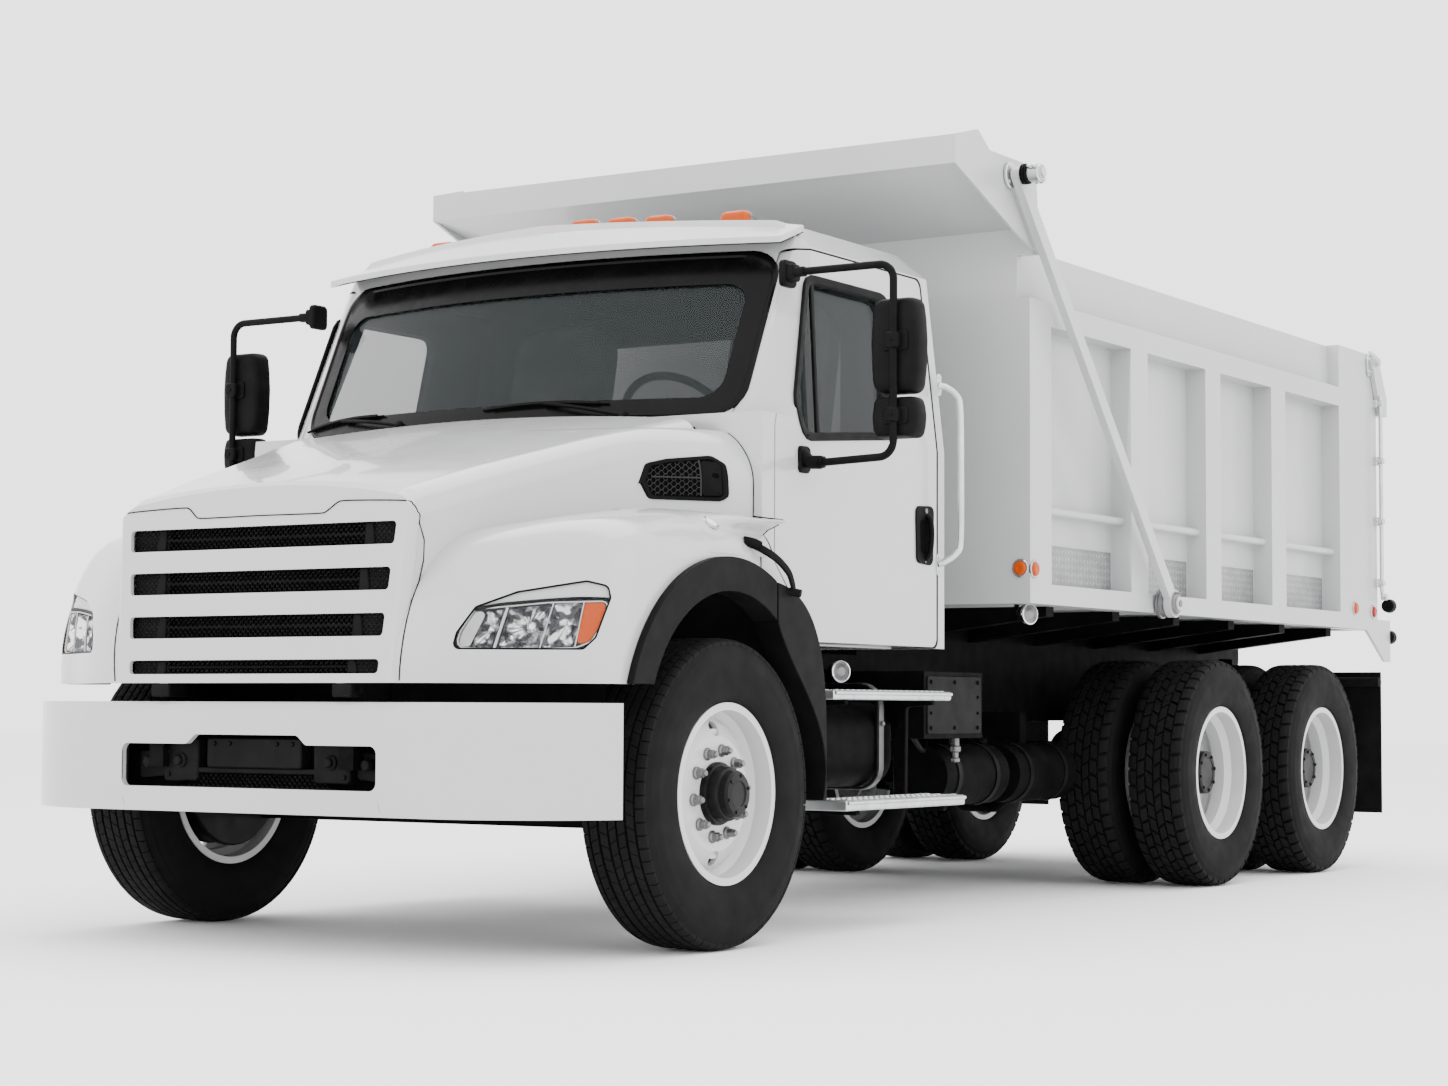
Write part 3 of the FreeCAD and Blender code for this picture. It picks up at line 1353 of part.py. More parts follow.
def mirror():
    """A bent pipe carrying a tall mirror head and a small wide one below it."""
    skin = lambda z: cab_side_y(z)
    points = [V(mirror_foot_x - mirror_pipe_bend, skin(mirror_top_z), mirror_top_z),
              V(mirror_x, mirror_y, mirror_top_z),
              V(mirror_x, mirror_y, mirror_low_z), V(mirror_x, cab_half_width, mirror_low_z)]
    bar = pipe(points, mirror_pipe_radius, mirror_pipe_bend)
    heads = []
    for low, top in (mirror_z, mirror_small_z):
        outline = [(mirror_x - mirror_thickness / 2, mirror_y - mirror_half_width),
                   (mirror_x + mirror_thickness / 2, mirror_y - mirror_half_width / 2),
                   (mirror_x + mirror_thickness / 2, mirror_y + mirror_half_width / 2),
                   (mirror_x - mirror_thickness / 2, mirror_y + mirror_half_width)]
        heads.append(prism(outline, low, top, "xy", mirror_pipe_radius))
    return fused([bar] + heads)


def cab_side_y(z):
    """How far out the cab's side skin is at a height above the belt."""
    share = max(0.0, (z - cab_belt_z) / (cab_roof_edge_z - cab_belt_z))
    return cab_half_width - (cab_half_width - cab_roof_edge_y) * share


def seat(side):
    y = (seat_y - seat_width / 2, seat_y + seat_width / 2)
    front_x = seat_x + seat_length
    cushion = prism([(seat_x, seat_cushion_z[0]), (front_x, seat_cushion_z[0]),
                     (front_x, seat_cushion_z[1]),
                     (seat_x, seat_cushion_z[1])], y[0], y[1], "xz", seat_back_thickness / 4)
    back = prism([(seat_x, seat_cushion_z[0]), (seat_x + seat_back_thickness, seat_cushion_z[0]),
                  (seat_x + seat_back_thickness - seat_back_lean, seat_cushion_z[1] + seat_back_height),
                  (seat_x - seat_back_lean, seat_cushion_z[1] + seat_back_height)], y[0], y[1], "xz",
                 seat_back_thickness / 4)
    base = box((seat_x + seat_back_thickness, front_x - seat_back_thickness),
               (seat_y - seat_base_width / 2, seat_y + seat_base_width / 2),
               (cab_floor_top_z, seat_cushion_z[0] + seat_back_thickness / 4))
    return side_of(fused([cushion, back, base]), side)


def dashboard():
    front = cab_front_x - cab_wall
    back = front - dash_length
    outline = [(back, dash_z[0] + (dash_z[1] - dash_z[0]) / 3), (front, dash_z[0]), (front, dash_z[1]),
               (back + dash_length / 4, dash_z[1])]
    return prism(outline, -dash_half_width, dash_half_width, "xz")


def steering_wheel():
    """A thin ring with a hub, two spokes and the column down to the dashboard."""
    centre = V(steering_wheel_x, seat_y, steering_wheel_z)
    tilt = math.radians(steering_wheel_tilt)
    axis = V(-math.sin(tilt) * 2, 0, math.cos(tilt)).normalize()
    ring = Part.makeTorus(steering_wheel_radius, steering_wheel_grip, centre, axis)
    across = V(0, steering_wheel_radius, 0)
    spokes = rod(centre - across, centre + across, steering_wheel_grip)
    column_end = centre - axis * (steering_wheel_radius * 2)
    column = rod(centre, column_end, steering_wheel_grip * 2)
    whole = fused([ring, spokes, column]).cut(dashboard())
    return max(whole.Solids, key=lambda solid: solid.Volume)


def roof_visor():
    """The curved blade over the windshield: a ruled sheet from its front lip up to the roof's front edge."""
    tip = Part.Arc(V(visor_tip_end_x, visor_tip_half, visor_tip_z), V(visor_tip_middle_x, 0, visor_tip_z),
                   V(visor_tip_end_x, -visor_tip_half, visor_tip_z)).toShape()
    root = Part.Arc(V(visor_root_end_x, visor_root_half, visor_root_z),
                    V(visor_root_middle_x, 0, visor_root_z + visor_root_crown),
                    V(visor_root_end_x, -visor_root_half, visor_root_z)).toShape()
    blade = Part.makeRuledSurface(tip, root).Faces[0].extrude(V(0, 0, visor_thickness))
    whole = blade.cut(cab_form(0))
    return max(whole.Solids, key=lambda solid: solid.Volume)


def roof_lamps():
    """Wedge-shaped marker lamps across the roof, each seated on the roof's highest point under it."""
    lamps = []
    for y in roof_lamp_places:
        roof = roof_z_at(max(0.0, abs(y) - roof_lamp_width / 2)) + seat_gap
        outline = [(roof_lamp_x - roof_lamp_length / 2, roof), (roof_lamp_x + roof_lamp_length / 2, roof),
                   (roof_lamp_x + roof_lamp_length / 3, roof + roof_lamp_height),
                   (roof_lamp_x, roof + roof_lamp_height)]
        lamps.append(prism(outline, y - roof_lamp_width / 2, y + roof_lamp_width / 2, "xz",
                           roof_lamp_round))
    return Part.makeCompound(lamps)


def roof_z_at(y):
    share = min(1.0, abs(y) / cab_roof_shoulder_y)
    return cab_roof_crown_z - (cab_roof_crown_z - cab_roof_shoulder_z) * share


# Steps, tank and boxes under the cab

def cab_steps():
    upper = box(step_x, step_upper_y, step_upper_z)
    lower = box(step_x, step_lower_y, step_lower_z)
    hangers = []
    for x in step_hanger_places:
        reach = (x - step_hanger_width / 2, x + step_hanger_width / 2)
        hangers.append(box(reach, (tank_y[1], tank_y[1] + step_hanger_width),
                           (step_lower_z[0], step_upper_z[1])))
        hangers.append(box(reach, (tank_y[1], step_lower_y[1] - overrun),
                           (step_lower_z[0] - spring_leaf, step_lower_z[0])))
        hangers.append(box(reach, (rail_outside_y, step_upper_y[1] - overrun),
                           (step_upper_z[1] - overrun * 2, step_upper_z[1] - overrun)))
        hangers.append(box(reach, (rail_outside_y, rail_outside_y + rail_wall * 2),
                           (rail_bottom_z, rail_bottom_z + rail_height)))
    return fused([upper, lower] + hangers)


def fuel_tank():
    outline = [(tank_y[0], tank_z[0]), (tank_y[1], tank_z[0]), (tank_y[1], step_upper_z[1] - overrun * 2),
               (tank_y[0], step_upper_z[1] - overrun * 2)]
    return prism(outline, tank_x[0], tank_x[1], "yz", tank_round)


def tank_brackets():
    pieces = []
    for x in step_hanger_places:
        start = x - step_hanger_width * 2
        pieces.append(box((start, start + tank_bracket_width), (rail_outside_y, tank_y[0] + tank_round / 3),
                          (tank_z[0] + tank_round, rail_bottom_z + rail_height / 2)))
    return pieces


def panel_box():
    body = box(panel_box_x, panel_box_y, panel_box_z)
    arm = box((panel_box_x[0] + step_hanger_width, panel_box_x[0] + step_hanger_width * 2),
              (rail_outside_y, panel_box_y[0]), (rail_bottom_z + rail_wall, panel_box_z[1] - rail_wall))
    return fused([body, arm])


def air_tanks():
    tanks = []
    for x in air_tank_places:
        start = V(x - air_tank_length / 2, air_tank_y, air_tank_z)
        tank = rod(start, start + V(air_tank_length, 0, 0), air_tank_radius)
        strap = box((x - air_tank_bracket, x + air_tank_bracket), (rail_outside_y, air_tank_y),
                    (air_tank_z + air_tank_radius - air_tank_bracket, rail_bottom_z + rail_wall * 4))
        tanks.append(fused([tank, strap]))
    return Part.makeCompound(tanks)


def mud_flaps():
    flap = box((flap_x - flap_thickness, flap_x), flap_y, flap_z)
    bar_x = flap_x + flap_bar_radius / 2
    bar = rod(V(bar_x, 0, flap_z[1] - flap_bar_radius * 2),
              V(bar_x, flap_y[1], flap_z[1] - flap_bar_radius * 2),
              flap_bar_radius)
    arm = box((flap_x, rail_rear_x), (rail_outside_y - rail_flange, rail_outside_y),
              (flap_z[1] - flap_bar_radius * 3, flap_z[1] - flap_bar_radius))
    side = fused([flap, bar, arm])
    return fused([side, mirrored(side)])


def arch_liner():
    """The black inner wall of the cab behind the front wheel."""
    thickness = hood_wall
    ring = arch_cylinder(arch_house_radius - piece_gap, gearbox_half_width * 3, flare_y[0] - piece_gap).cut(
        arch_cylinder(arch_house_radius - piece_gap - thickness, gearbox_half_width * 3 - overrun,
                      flare_y[0] + overrun))
    keep = box((-fender_corner_y, flare_split_x), (0, fender_corner_y * 2), (hood_bottom_z, hood_end_z))
    return ring.common(keep)


# Tipping body

def bed_side():
    """One side: the sheet, the ledge, the posts, the top rail, the side board and the long round rod."""
    y_out = bed_half_width
    sheet = box((bed_rear_x, bed_front_x), (bed_sheet_y - bed_sheet_thickness, bed_sheet_y),
                (bed_bottom_z, bed_rail_z))
    ledge = box((bed_rear_x, bed_front_x), (bed_sheet_y - bed_sheet_thickness, y_out),
                (bed_bottom_z, bed_floor_z))
    rail_box = box((bed_rear_x, bed_front_x), (bed_sheet_y - bed_sheet_thickness, y_out),
                   (bed_rail_z - bed_rail_height, bed_rail_z))
    board_y = bed_sheet_y - bed_sheet_thickness
    board = box((bed_rear_post_x[1] - overrun, bed_front_x), (board_y, board_y + bed_board_thickness),
                (bed_rail_z, bed_board_z))
    pieces = [sheet, ledge, rail_box, board]
    for x in [bed_front_post_x] + bed_post_places:
        pieces.append(box(x, (bed_sheet_y, y_out), (bed_floor_z, bed_rail_z - bed_rail_height)))
    pieces.append(box(bed_rear_post_x, (bed_sheet_y - bed_sheet_thickness, y_out),
                      (bed_floor_z, bed_post_top_z)))
    pieces.append(rod(V(bed_rear_post_x[1], bed_rod_y, bed_rod_z),
                      V(bed_front_post_x[0], bed_rod_y, bed_rod_z),
                      bed_rod_radius))
    return fused(pieces)


def bed_apron():
    """The plate at the rear foot of each side, which runs back past the tailgate."""
    outline = [(apron_x, apron_z[0]), (apron_x, apron_z[1]), (bed_rear_x + apron_chamfer, apron_z[1]),
               (bed_rear_x + apron_chamfer, bed_bottom_z), (apron_x + apron_chamfer / 2, apron_z[0])]
    plate = prism(outline, bed_half_width - apron_thickness, bed_half_width, "xz")
    block = box((bed_rear_x - overrun, bed_rear_x + apron_chamfer), (bed_sheet_y, bed_half_width),
                (bed_bottom_z, apron_z[1]))
    return fused([plate, block])


def guard_outline():
    return [(guard_lip_x, guard_lip_z[0]), (guard_lip_x, guard_lip_z[1]), (guard_peak_x, guard_peak_z),
            (guard_back_x, guard_back_z), (guard_rear_x, guard_back_z), (guard_root_x, guard_root_z),
            (guard_foot_x, guard_foot_z), (guard_throat_x, guard_throat_z)]


def cab_guard():
    """The canopy over the cab: side plates, a top sheet, a lip and a sheet sloping to the bulkhead."""
    side = prism(guard_outline(), guard_half_width - guard_side_thickness, guard_half_width, "xz")
    half = guard_half_width - guard_side_thickness
    lip = box((guard_lip_x - guard_plate * 4, guard_lip_x), (-half, half), guard_lip_z)
    top = prism([(guard_lip_x, guard_lip_z[1]), (guard_back_x, guard_back_z), (guard_root_x, guard_back_z),
                 (guard_root_x, guard_back_z - guard_plate), (guard_back_x, guard_back_z - guard_plate),
                 (guard_lip_x, guard_lip_z[1] - guard_plate)], -half, half, "xz")
    under = prism([(guard_lip_x, guard_lip_z[0]), (guard_lip_x - guard_plate, guard_lip_z[0] + guard_plate),
                   (bed_front_x - guard_plate, bulkhead_top_z + guard_plate), (bed_front_x - guard_plate,
                                                                               bulkhead_top_z)],
                  -half, half, "xz")
    back = box((bed_front_x - bulkhead_thickness, bed_front_x), (-half, half), (guard_foot_z, guard_back_z))
    return fused([side, mirrored(side), lip, top, under, back])


def tailgate_bracket():
    """The ear on the rear post that carries the tailgate's hinge pin."""
    ear = box((tailgate_hinge_x - tailgate_hinge_radius * 2, tailgate_hinge_x + tailgate_hinge_radius * 2),
              (bed_half_width - apron_thickness, bed_half_width),
              (bed_board_z - bed_rail_height, tailgate_hinge_z + tailgate_hinge_radius * 2))
    pin = rod(V(tailgate_hinge_x, bed_half_width - apron_thickness, tailgate_hinge_z),
              V(tailgate_hinge_x, bed_half_width + tailgate_arm_thickness * 2,
                tailgate_hinge_z), tailgate_hinge_radius)
    return fused([ear, pin])


def bed_body():
    floor = box((bed_rear_x, bed_front_x), (-bed_sheet_y, bed_sheet_y),
                (bed_floor_z - bed_floor_plate, bed_floor_z))
    pitch = (bed_front_x - bed_rear_x - bed_rib_width) / (bed_rib_count - 1)
    ribs = [box((bed_rear_x + pitch * index, bed_rear_x + pitch * index + bed_rib_width),
                (-bed_sheet_y, bed_sheet_y),
                (bed_bottom_z, bed_floor_z - bed_floor_plate)) for index in range(bed_rib_count)]
    front = box((bed_front_x - bulkhead_thickness, bed_front_x), (-bed_sheet_y, bed_sheet_y),
                (bed_bottom_z, bulkhead_top_z))
    pieces = [bed_side(), mirrored(bed_side()), floor, front, cab_guard()] + ribs
    for side in (1, -1):
        pieces += [side_of(bed_apron(), side), side_of(tailgate_bracket(), side)]
        hub_at = V(tarp_pivot_x, side * bed_half_width, tarp_pivot_z)
        pieces.append(rod(hub_at - V(0, side * overrun, 0),
                          V(tarp_pivot_x, side * (tarp_arm_y[1] + overrun), tarp_pivot_z),
                          tarp_hub_radius / 2))
    return fused(pieces)


def bed_sills():
    """Two long sills that rest on the subframe, with hinge eyes, outriggers and the lugs of the hoist."""
    y = (sill_y - sill_width / 2, sill_y + sill_width / 2)
    sill = box((sill_rear_x, bed_front_x), y, (subframe_top_z, bed_bottom_z))
    eye = rod(V(bed_hinge_x, y[0], bed_hinge_z), V(bed_hinge_x, y[1], bed_hinge_z), bed_hinge_eye_radius)
    tongue = box((bed_hinge_x - bed_hinge_eye_radius, sill_rear_x), y, (bed_hinge_z, bed_bottom_z))
    pieces = [sill, eye, tongue]
    for x in outrigger_places:
        pieces.append(prism([(y[1], subframe_top_z + overrun), (y[1], bed_bottom_z),
                             (bed_sheet_y, bed_bottom_z),
                             (bed_sheet_y,
                              bed_bottom_z - outrigger_height / 2)], x, x + outrigger_width, "yz"))
    lug_y = (hoist_eye_width / 2 + hoist_lug_gap, hoist_eye_width / 2 + hoist_lug_gap + hoist_lug_thickness)
    lug = prism([(hoist_pin_x - hoist_eye_radius * 2, bed_bottom_z),
                 (hoist_pin_x + hoist_eye_radius * 2, bed_bottom_z),
                 (hoist_pin_x + hoist_eye_radius, hoist_pin_z - hoist_pin_radius),
                 (hoist_pin_x - hoist_eye_radius,
                  hoist_pin_z - hoist_pin_radius)], lug_y[0], lug_y[1], "xz")
    tie = box((hoist_pin_x - hoist_eye_radius * 2, hoist_pin_x + hoist_eye_radius * 2), (lug_y[1], y[0]),
              (bed_bottom_z - hoist_lug_thickness, bed_bottom_z))
    pieces += [lug, tie]
    whole = fused(pieces)
    pin_hole = rod(V(bed_hinge_x, 0, bed_hinge_z), V(bed_hinge_x, bed_half_width, bed_hinge_z),
                   bed_hinge_pin_radius + running_clearance)
    return both(whole.cut(pin_hole))


def subframe():
    """The flat strips between the rails and the body's sills."""
    strip = box((rail_rear_x + sill_width * 3 + overrun, bed_front_x),
                (sill_y - sill_width / 2, sill_y + sill_width / 2),
                (rail_bottom_z + rail_height, subframe_top_z))
    return both(strip)


def hoist_way():
    return V(hoist_pin_x - hoist_base_x, 0, hoist_pin_z - hoist_base_z)


def hoist_barrel():
    """The hoist's barrel: an eye on the frame's pin, a foot and a tube that is open at its top."""
    base = V(hoist_base_x, 0, hoist_base_z)
    way = V(hoist_way()).normalize()
    half = V(0, hoist_eye_width / 2, 0)
    eye = rod(base - half, base + half, hoist_eye_radius)
    foot = rod(base, base + way * hoist_barrel_radius, hoist_eye_width / 2)
    body = rod(base + way * hoist_barrel_radius, base + way * hoist_barrel_length, hoist_barrel_radius)
    whole = fused([eye, foot, body])
    bore = rod(base + way * (hoist_barrel_radius + hoist_barrel_wall * 2),
               base + way * (hoist_barrel_length + overrun),
               hoist_rod_radius + running_clearance)
    pin = rod(base - half * 2, base + half * 2, hoist_pin_radius + running_clearance)
    return whole.cut(bore).cut(pin)


def hoist_rod():
    base = V(hoist_base_x, 0, hoist_base_z)
    pin = V(hoist_pin_x, 0, hoist_pin_z)
    way = V(hoist_way()).normalize()
    half = V(0, hoist_eye_width / 2, 0)
    return fused([rod(base + way * (hoist_barrel_radius + hoist_barrel_wall * 3), pin, hoist_rod_radius),
                  rod(pin - half, pin + half, hoist_eye_radius)])


# Tailgate and tarp arms

def tailgate():
    """A framed sheet with upright ribs, hung by an arm at each top corner."""
    back_x = tailgate_front_x - tailgate_thickness
    half = tailgate_half_width
    sheet = box((tailgate_front_x - tailgate_sheet, tailgate_front_x), (-half, half), tailgate_z)
    rib = tailgate_rib_width
    pieces = [sheet]
    for z in (tailgate_z[0], tailgate_z[1] - rib):
        pieces.append(box((back_x, tailgate_front_x), (-half, half), (z, z + rib)))
    for index in range(tailgate_rib_count + 2):
        y = -half + (2 * half - rib) * index / (tailgate_rib_count + 1)
        pieces.append(box((back_x, tailgate_front_x), (y, y + rib), tailgate_z))
    return fused(pieces + [tailgate_arm(1), tailgate_arm(-1)])


def tailgate_arm(side):
    y = (bed_half_width + hoist_lug_gap, bed_half_width + hoist_lug_gap + tailgate_arm_thickness)
    back_x = tailgate_front_x - tailgate_thickness
    r = tailgate_ear_radius
    plate = prism([(tailgate_hinge_x + r, tailgate_hinge_z + r),
                   (tailgate_hinge_x + r, tailgate_hinge_z - r),
                   (tailgate_front_x, tailgate_z[1] - tailgate_rib_width), (back_x,
                                                                            tailgate_z[1] - tailgate_rib_width),
                   (back_x, tailgate_z[1]), (tailgate_hinge_x - r, tailgate_hinge_z + r)], y[0], y[1], "xz")
    bar = box((back_x, tailgate_front_x), (tailgate_half_width - overrun, y[1]),
              (tailgate_z[1] - tailgate_rib_width, tailgate_z[1]))
    hole = rod(V(tailgate_hinge_x, 0, tailgate_hinge_z),
               V(tailgate_hinge_x, bed_half_width * 2, tailgate_hinge_z),
               tailgate_hinge_radius + running_clearance)
    return side_of(fused([plate, bar]).cut(hole), side)


def tarp_arm(side):
    """A long flat bar on a hub at the body's ledge, with the tarp's cross tube at its top."""
    pivot = V(tarp_pivot_x, 0, tarp_pivot_z)
    top = V(tarp_top_x, 0, tarp_top_z)
    way = V(top - pivot).normalize()
    out = V(-way.z, 0, way.x) * (tarp_arm_width / 2)
    corners = [pivot - out, pivot + out, top + out, top - out]
    outline = [(p.x, p.z) for p in corners]
    bar = prism(outline, tarp_arm_y[0], tarp_arm_y[1], "xz")
    hub = rod(V(pivot.x, tarp_arm_y[0], pivot.z), V(pivot.x, tarp_arm_y[1], pivot.z), tarp_hub_radius)
    head = rod(V(top.x, tarp_arm_y[0], top.z), V(top.x, tarp_arm_y[1] + tarp_tube_reach, top.z),
               tarp_arm_width / 2)
    hole = rod(V(pivot.x, 0, pivot.z), V(pivot.x, bed_half_width * 2, pivot.z),
               tarp_hub_radius / 2 + running_clearance)
    return side_of(fused([bar, hub, head]).cut(hole), side)


def body_lamps():
    lamps = []
    for x in (red_lamp_x, amber_lamp_x,
              bed_front_post_x[1] - side_lamp_radius * 2):
        at = V(x, bed_half_width, bed_floor_z + side_lamp_radius)
        lamps.append(rod(at, at + V(0, lamp_thickness, 0), side_lamp_radius))
    for z in (apron_z[0] + tail_lamp_radius * 2, apron_z[1] - tail_lamp_radius):
        at = V(apron_x, bed_half_width - apron_thickness / 2, z)
        lamps.append(rod(at, at - V(tail_lamp_radius, 0, 0), tail_lamp_radius / 2))
    return both(Part.makeCompound(lamps))


# The whole truck

SIDES = (("left", 1), ("right", -1))
AXLES = (("first", 0), ("second", 1))


def pieces():
    """Every piece of the truck by name, in the truck's own axes measured from the front axle."""
    named = {
        "frame": frame(), "front_bumper": bumper(), "powertrain": powertrain(), "radiator": radiator(),
        "front_axle": front_axle(), "front_springs": both(front_spring()), "tie_rod": tie_rod(),
        "rear_axles": rear_axles(), "rear_suspension": rear_suspension(), "subframe": subframe(),
        "cab_shell": cab_shell(), "cab_glass": cab_glass(), "cowl": cowl(),
        "seats": Part.makeCompound([seat(1), seat(-1)]),
        "dashboard": dashboard(), "steering_wheel": steering_wheel(), "roof_visor": roof_visor(),
        "roof_lamps": roof_lamps(), "cab_flares": both(cab_flare()), "arch_liners": both(arch_liner()),
        "cab_steps": both(cab_steps()), "fuel_tanks": both(fused([fuel_tank()] + tank_brackets())),
        "panel_box": panel_box(), "air_tanks": both(air_tanks()), "mud_flaps": mud_flaps(),
        "hood_shell": hood_shell(), "grille_screen": grille_screen(), "headlamps": both(headlamp()),
        "hood_flares": both(hood_flare()), "bed_body": bed_body(), "bed_sills": bed_sills(),
        "body_lamps": body_lamps(), "tailgate": tailgate(), "hoist_barrel": hoist_barrel(),
        "hoist_rod": hoist_rod(),
    }
    for label, side in SIDES:
        named["knuckle_" + label] = knuckle(side)
        named["tyre_front_" + label] = tyre(wheel_centre_front(side))
        named["rim_front_" + label] = side_of(front_rim(wheel_centre_front(1)), side)
        named["door_" + label] = side_of(door_panel(), side)
        named["door_glass_" + label] = side_of(door_glass(), side)
        named["mirror_" + label] = side_of(mirror(), side)
        named["tarp_arm_" + label] = tarp_arm(side)
        for axle, index in AXLES:
            centre = wheel_centre_rear(index, 1)
            half = V(0, dual_spacing / 2, 0)
            tyres = Part.makeCompound([tyre(centre + half), tyre(centre - half)])
            named["tyres_" + axle + "_" + label] = side_of(tyres, side)
            named["rims_" + axle + "_" + label] = side_of(rear_rims(centre), side)
    return named


def main():
    os.makedirs("parts", exist_ok=True)
    for name, shape in pieces().items():
        solids = shape.Solids
        print(name, len(solids), "valid" if all(solid.isValid() for solid in solids) else "NOT VALID",
              round(sum(solid.Volume for solid in solids) / 1e6, 1))
        export(name, shape)


if __name__ == "__main__":
    main()
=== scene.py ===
import json
import math

import bmesh
import bpy
import numpy as np
from mathutils import Matrix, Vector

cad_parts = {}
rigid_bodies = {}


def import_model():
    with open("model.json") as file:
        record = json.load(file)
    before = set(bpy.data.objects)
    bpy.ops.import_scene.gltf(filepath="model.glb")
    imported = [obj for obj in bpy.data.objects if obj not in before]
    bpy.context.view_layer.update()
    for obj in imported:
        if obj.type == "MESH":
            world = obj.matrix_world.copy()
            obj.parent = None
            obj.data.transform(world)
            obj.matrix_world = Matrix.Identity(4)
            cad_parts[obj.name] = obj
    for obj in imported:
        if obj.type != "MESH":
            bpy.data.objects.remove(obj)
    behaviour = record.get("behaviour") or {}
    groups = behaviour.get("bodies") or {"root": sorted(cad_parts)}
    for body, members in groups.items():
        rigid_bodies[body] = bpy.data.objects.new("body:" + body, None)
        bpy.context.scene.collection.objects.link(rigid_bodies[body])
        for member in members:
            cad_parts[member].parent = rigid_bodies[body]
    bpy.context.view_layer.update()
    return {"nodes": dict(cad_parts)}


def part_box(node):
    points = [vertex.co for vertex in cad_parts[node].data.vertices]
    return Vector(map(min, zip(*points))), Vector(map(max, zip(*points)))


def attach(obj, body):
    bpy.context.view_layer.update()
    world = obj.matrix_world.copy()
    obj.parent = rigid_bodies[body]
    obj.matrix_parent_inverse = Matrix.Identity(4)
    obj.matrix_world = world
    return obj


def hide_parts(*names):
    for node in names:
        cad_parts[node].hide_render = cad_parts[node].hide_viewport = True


bl_info = {
    "name": "Dump Truck Finish",
    "version": (1, 0, 0),
    "blender": (4, 5, 0),
    "location": "View3D > Sidebar > Dump Truck",
    "description": "Dresses the packed dump truck: tread, nuts, lamps, lenses, wipers, handles and paint",
    "category": "Add Mesh",
}

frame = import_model()

SIDES = {"left": 1.0, "right": -1.0}
REAR_AXLES = ("first", "second")
OUT = (0, 1, 0)
AHEAD = (1, 0, 0)
BEHIND = (-1, 0, 0)
SIDE_SHARE = 0.48


def node_box(name):
    """Lowest and highest corner of a CAD node as two arrays."""
    low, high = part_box(name)
    return np.array(low), np.array(high)


def middle(name):
    """Middle of a CAD node's box."""
    low, high = node_box(name)
    return (low + high) / 2


# Surfaces: each is a pair of a point array and a list of face arrays

def grid(points, wrap_rows=False, wrap_columns=False):
    """Quads between the neighbours of a rows by columns array of points, joined round where it wraps."""
    rows, columns = points.shape[:2]
    row = np.arange(rows if wrap_rows else rows - 1)
    column = np.arange(columns if wrap_columns else columns - 1)
    i, j = np.meshgrid(row, column, indexing="ij")
    below, beside = (i + 1) % rows, (j + 1) % columns
    quads = np.stack([i * columns + j, below * columns + j, below * columns + beside,
                      i * columns + beside], -1)
    return points.reshape(-1, 3), [quads.reshape(-1, 4)]


def capped(points):
    """A grid of rings, wrapped along each ring, whose first and last rings are closed by one face each."""
    verts, faces = grid(points, wrap_columns=True)
    rows, columns = points.shape[:2]
    ring = np.arange(columns)
    return verts, faces + [ring[None, ::-1], (ring + (rows - 1) * columns)[None, :]]


def joined(surfaces):
    """Several surfaces as one: point arrays stacked, face numbers shifted by the points before them."""
    verts, faces, count = [], [], 0
    for points, groups in surfaces:
        verts.append(points)
        faces += [group + count for group in groups]
        count += len(points)
    return np.concatenate(verts), faces


def moved(surface, offset):
    """The surface shifted by an offset."""
    return surface[0] + np.asarray(offset, float), surface[1]


def turned(surface, centre, axis, angle):
    """The surface turned about an axis through a centre: v cos a + (k x v) sin a + k (k.v)(1 - cos a)."""
    k = np.asarray(axis, float) / np.linalg.norm(axis)
    v = surface[0] - centre
    spun = v * math.cos(angle) + np.cross(k, v) * math.sin(angle) + np.outer(v @ k,
                                                                             k) * (1 - math.cos(angle))
    return spun + centre, surface[1]


def mirrored(surface):
    """The surface reflected across the plane y = 0, with its faces reversed to keep them facing out."""
    return surface[0] * np.array([1.0, -1.0, 1.0]), [group[:, ::-1] for group in surface[1]]


def side_of(surface, side):
    """The surface for the left side, or its mirror image for the right one."""
    return surface if side > 0 else mirrored(surface)


def both(surface):
    """The surface and its mirror image as one."""
    return joined([surface, mirrored(surface)])


def ring_of(surface, centre, axis, count, start=0.0):
    """Copies of the surface turned about an axis by equal parts of a full turn."""
    return joined([turned(surface, centre, axis, start + 2 * math.pi * i / count) for i in range(count)])


def row_of(surface, offsets):
    """Copies of the surface shifted by each offset."""
    return joined([moved(surface, offset) for offset in offsets])


def corner_arc(before, corner, after, radius, steps):
    """Points of the arc that rounds a corner between its neighbours, smaller where a side is short."""
    a, b = before - corner, after - corner
    length_a, length_b = np.linalg.norm(a), np.linalg.norm(b)
    a, b = a / length_a, b / length_b
    half = math.acos(np.clip(a @ b, -1, 1)) / 2
    reach = min(radius / math.tan(half), length_a * SIDE_SHARE, length_b * SIDE_SHARE)
    bend = reach * math.tan(half)
    way = (a + b) / max(np.linalg.norm(a + b), 1e-9)
    centre = corner + way * bend / math.sin(half)
    start, end = corner + a * reach - centre, corner + b * reach - centre
    arc = []
    for share in np.linspace(0, 1, steps):
        mixed = start * (1 - share) + end * share
        arc.append(centre + mixed / np.linalg.norm(mixed) * bend)
    return arc


def arc_corners(outline, radius, steps=5):
    """A closed 2-D outline with each corner replaced by an arc."""
    outline = [np.asarray(p, float) for p in outline]
    points = []
    for index, corner in enumerate(outline):
        points += corner_arc(outline[index - 1], corner, outline[(index + 1) % len(outline)], radius, steps)
    return np.array(points)


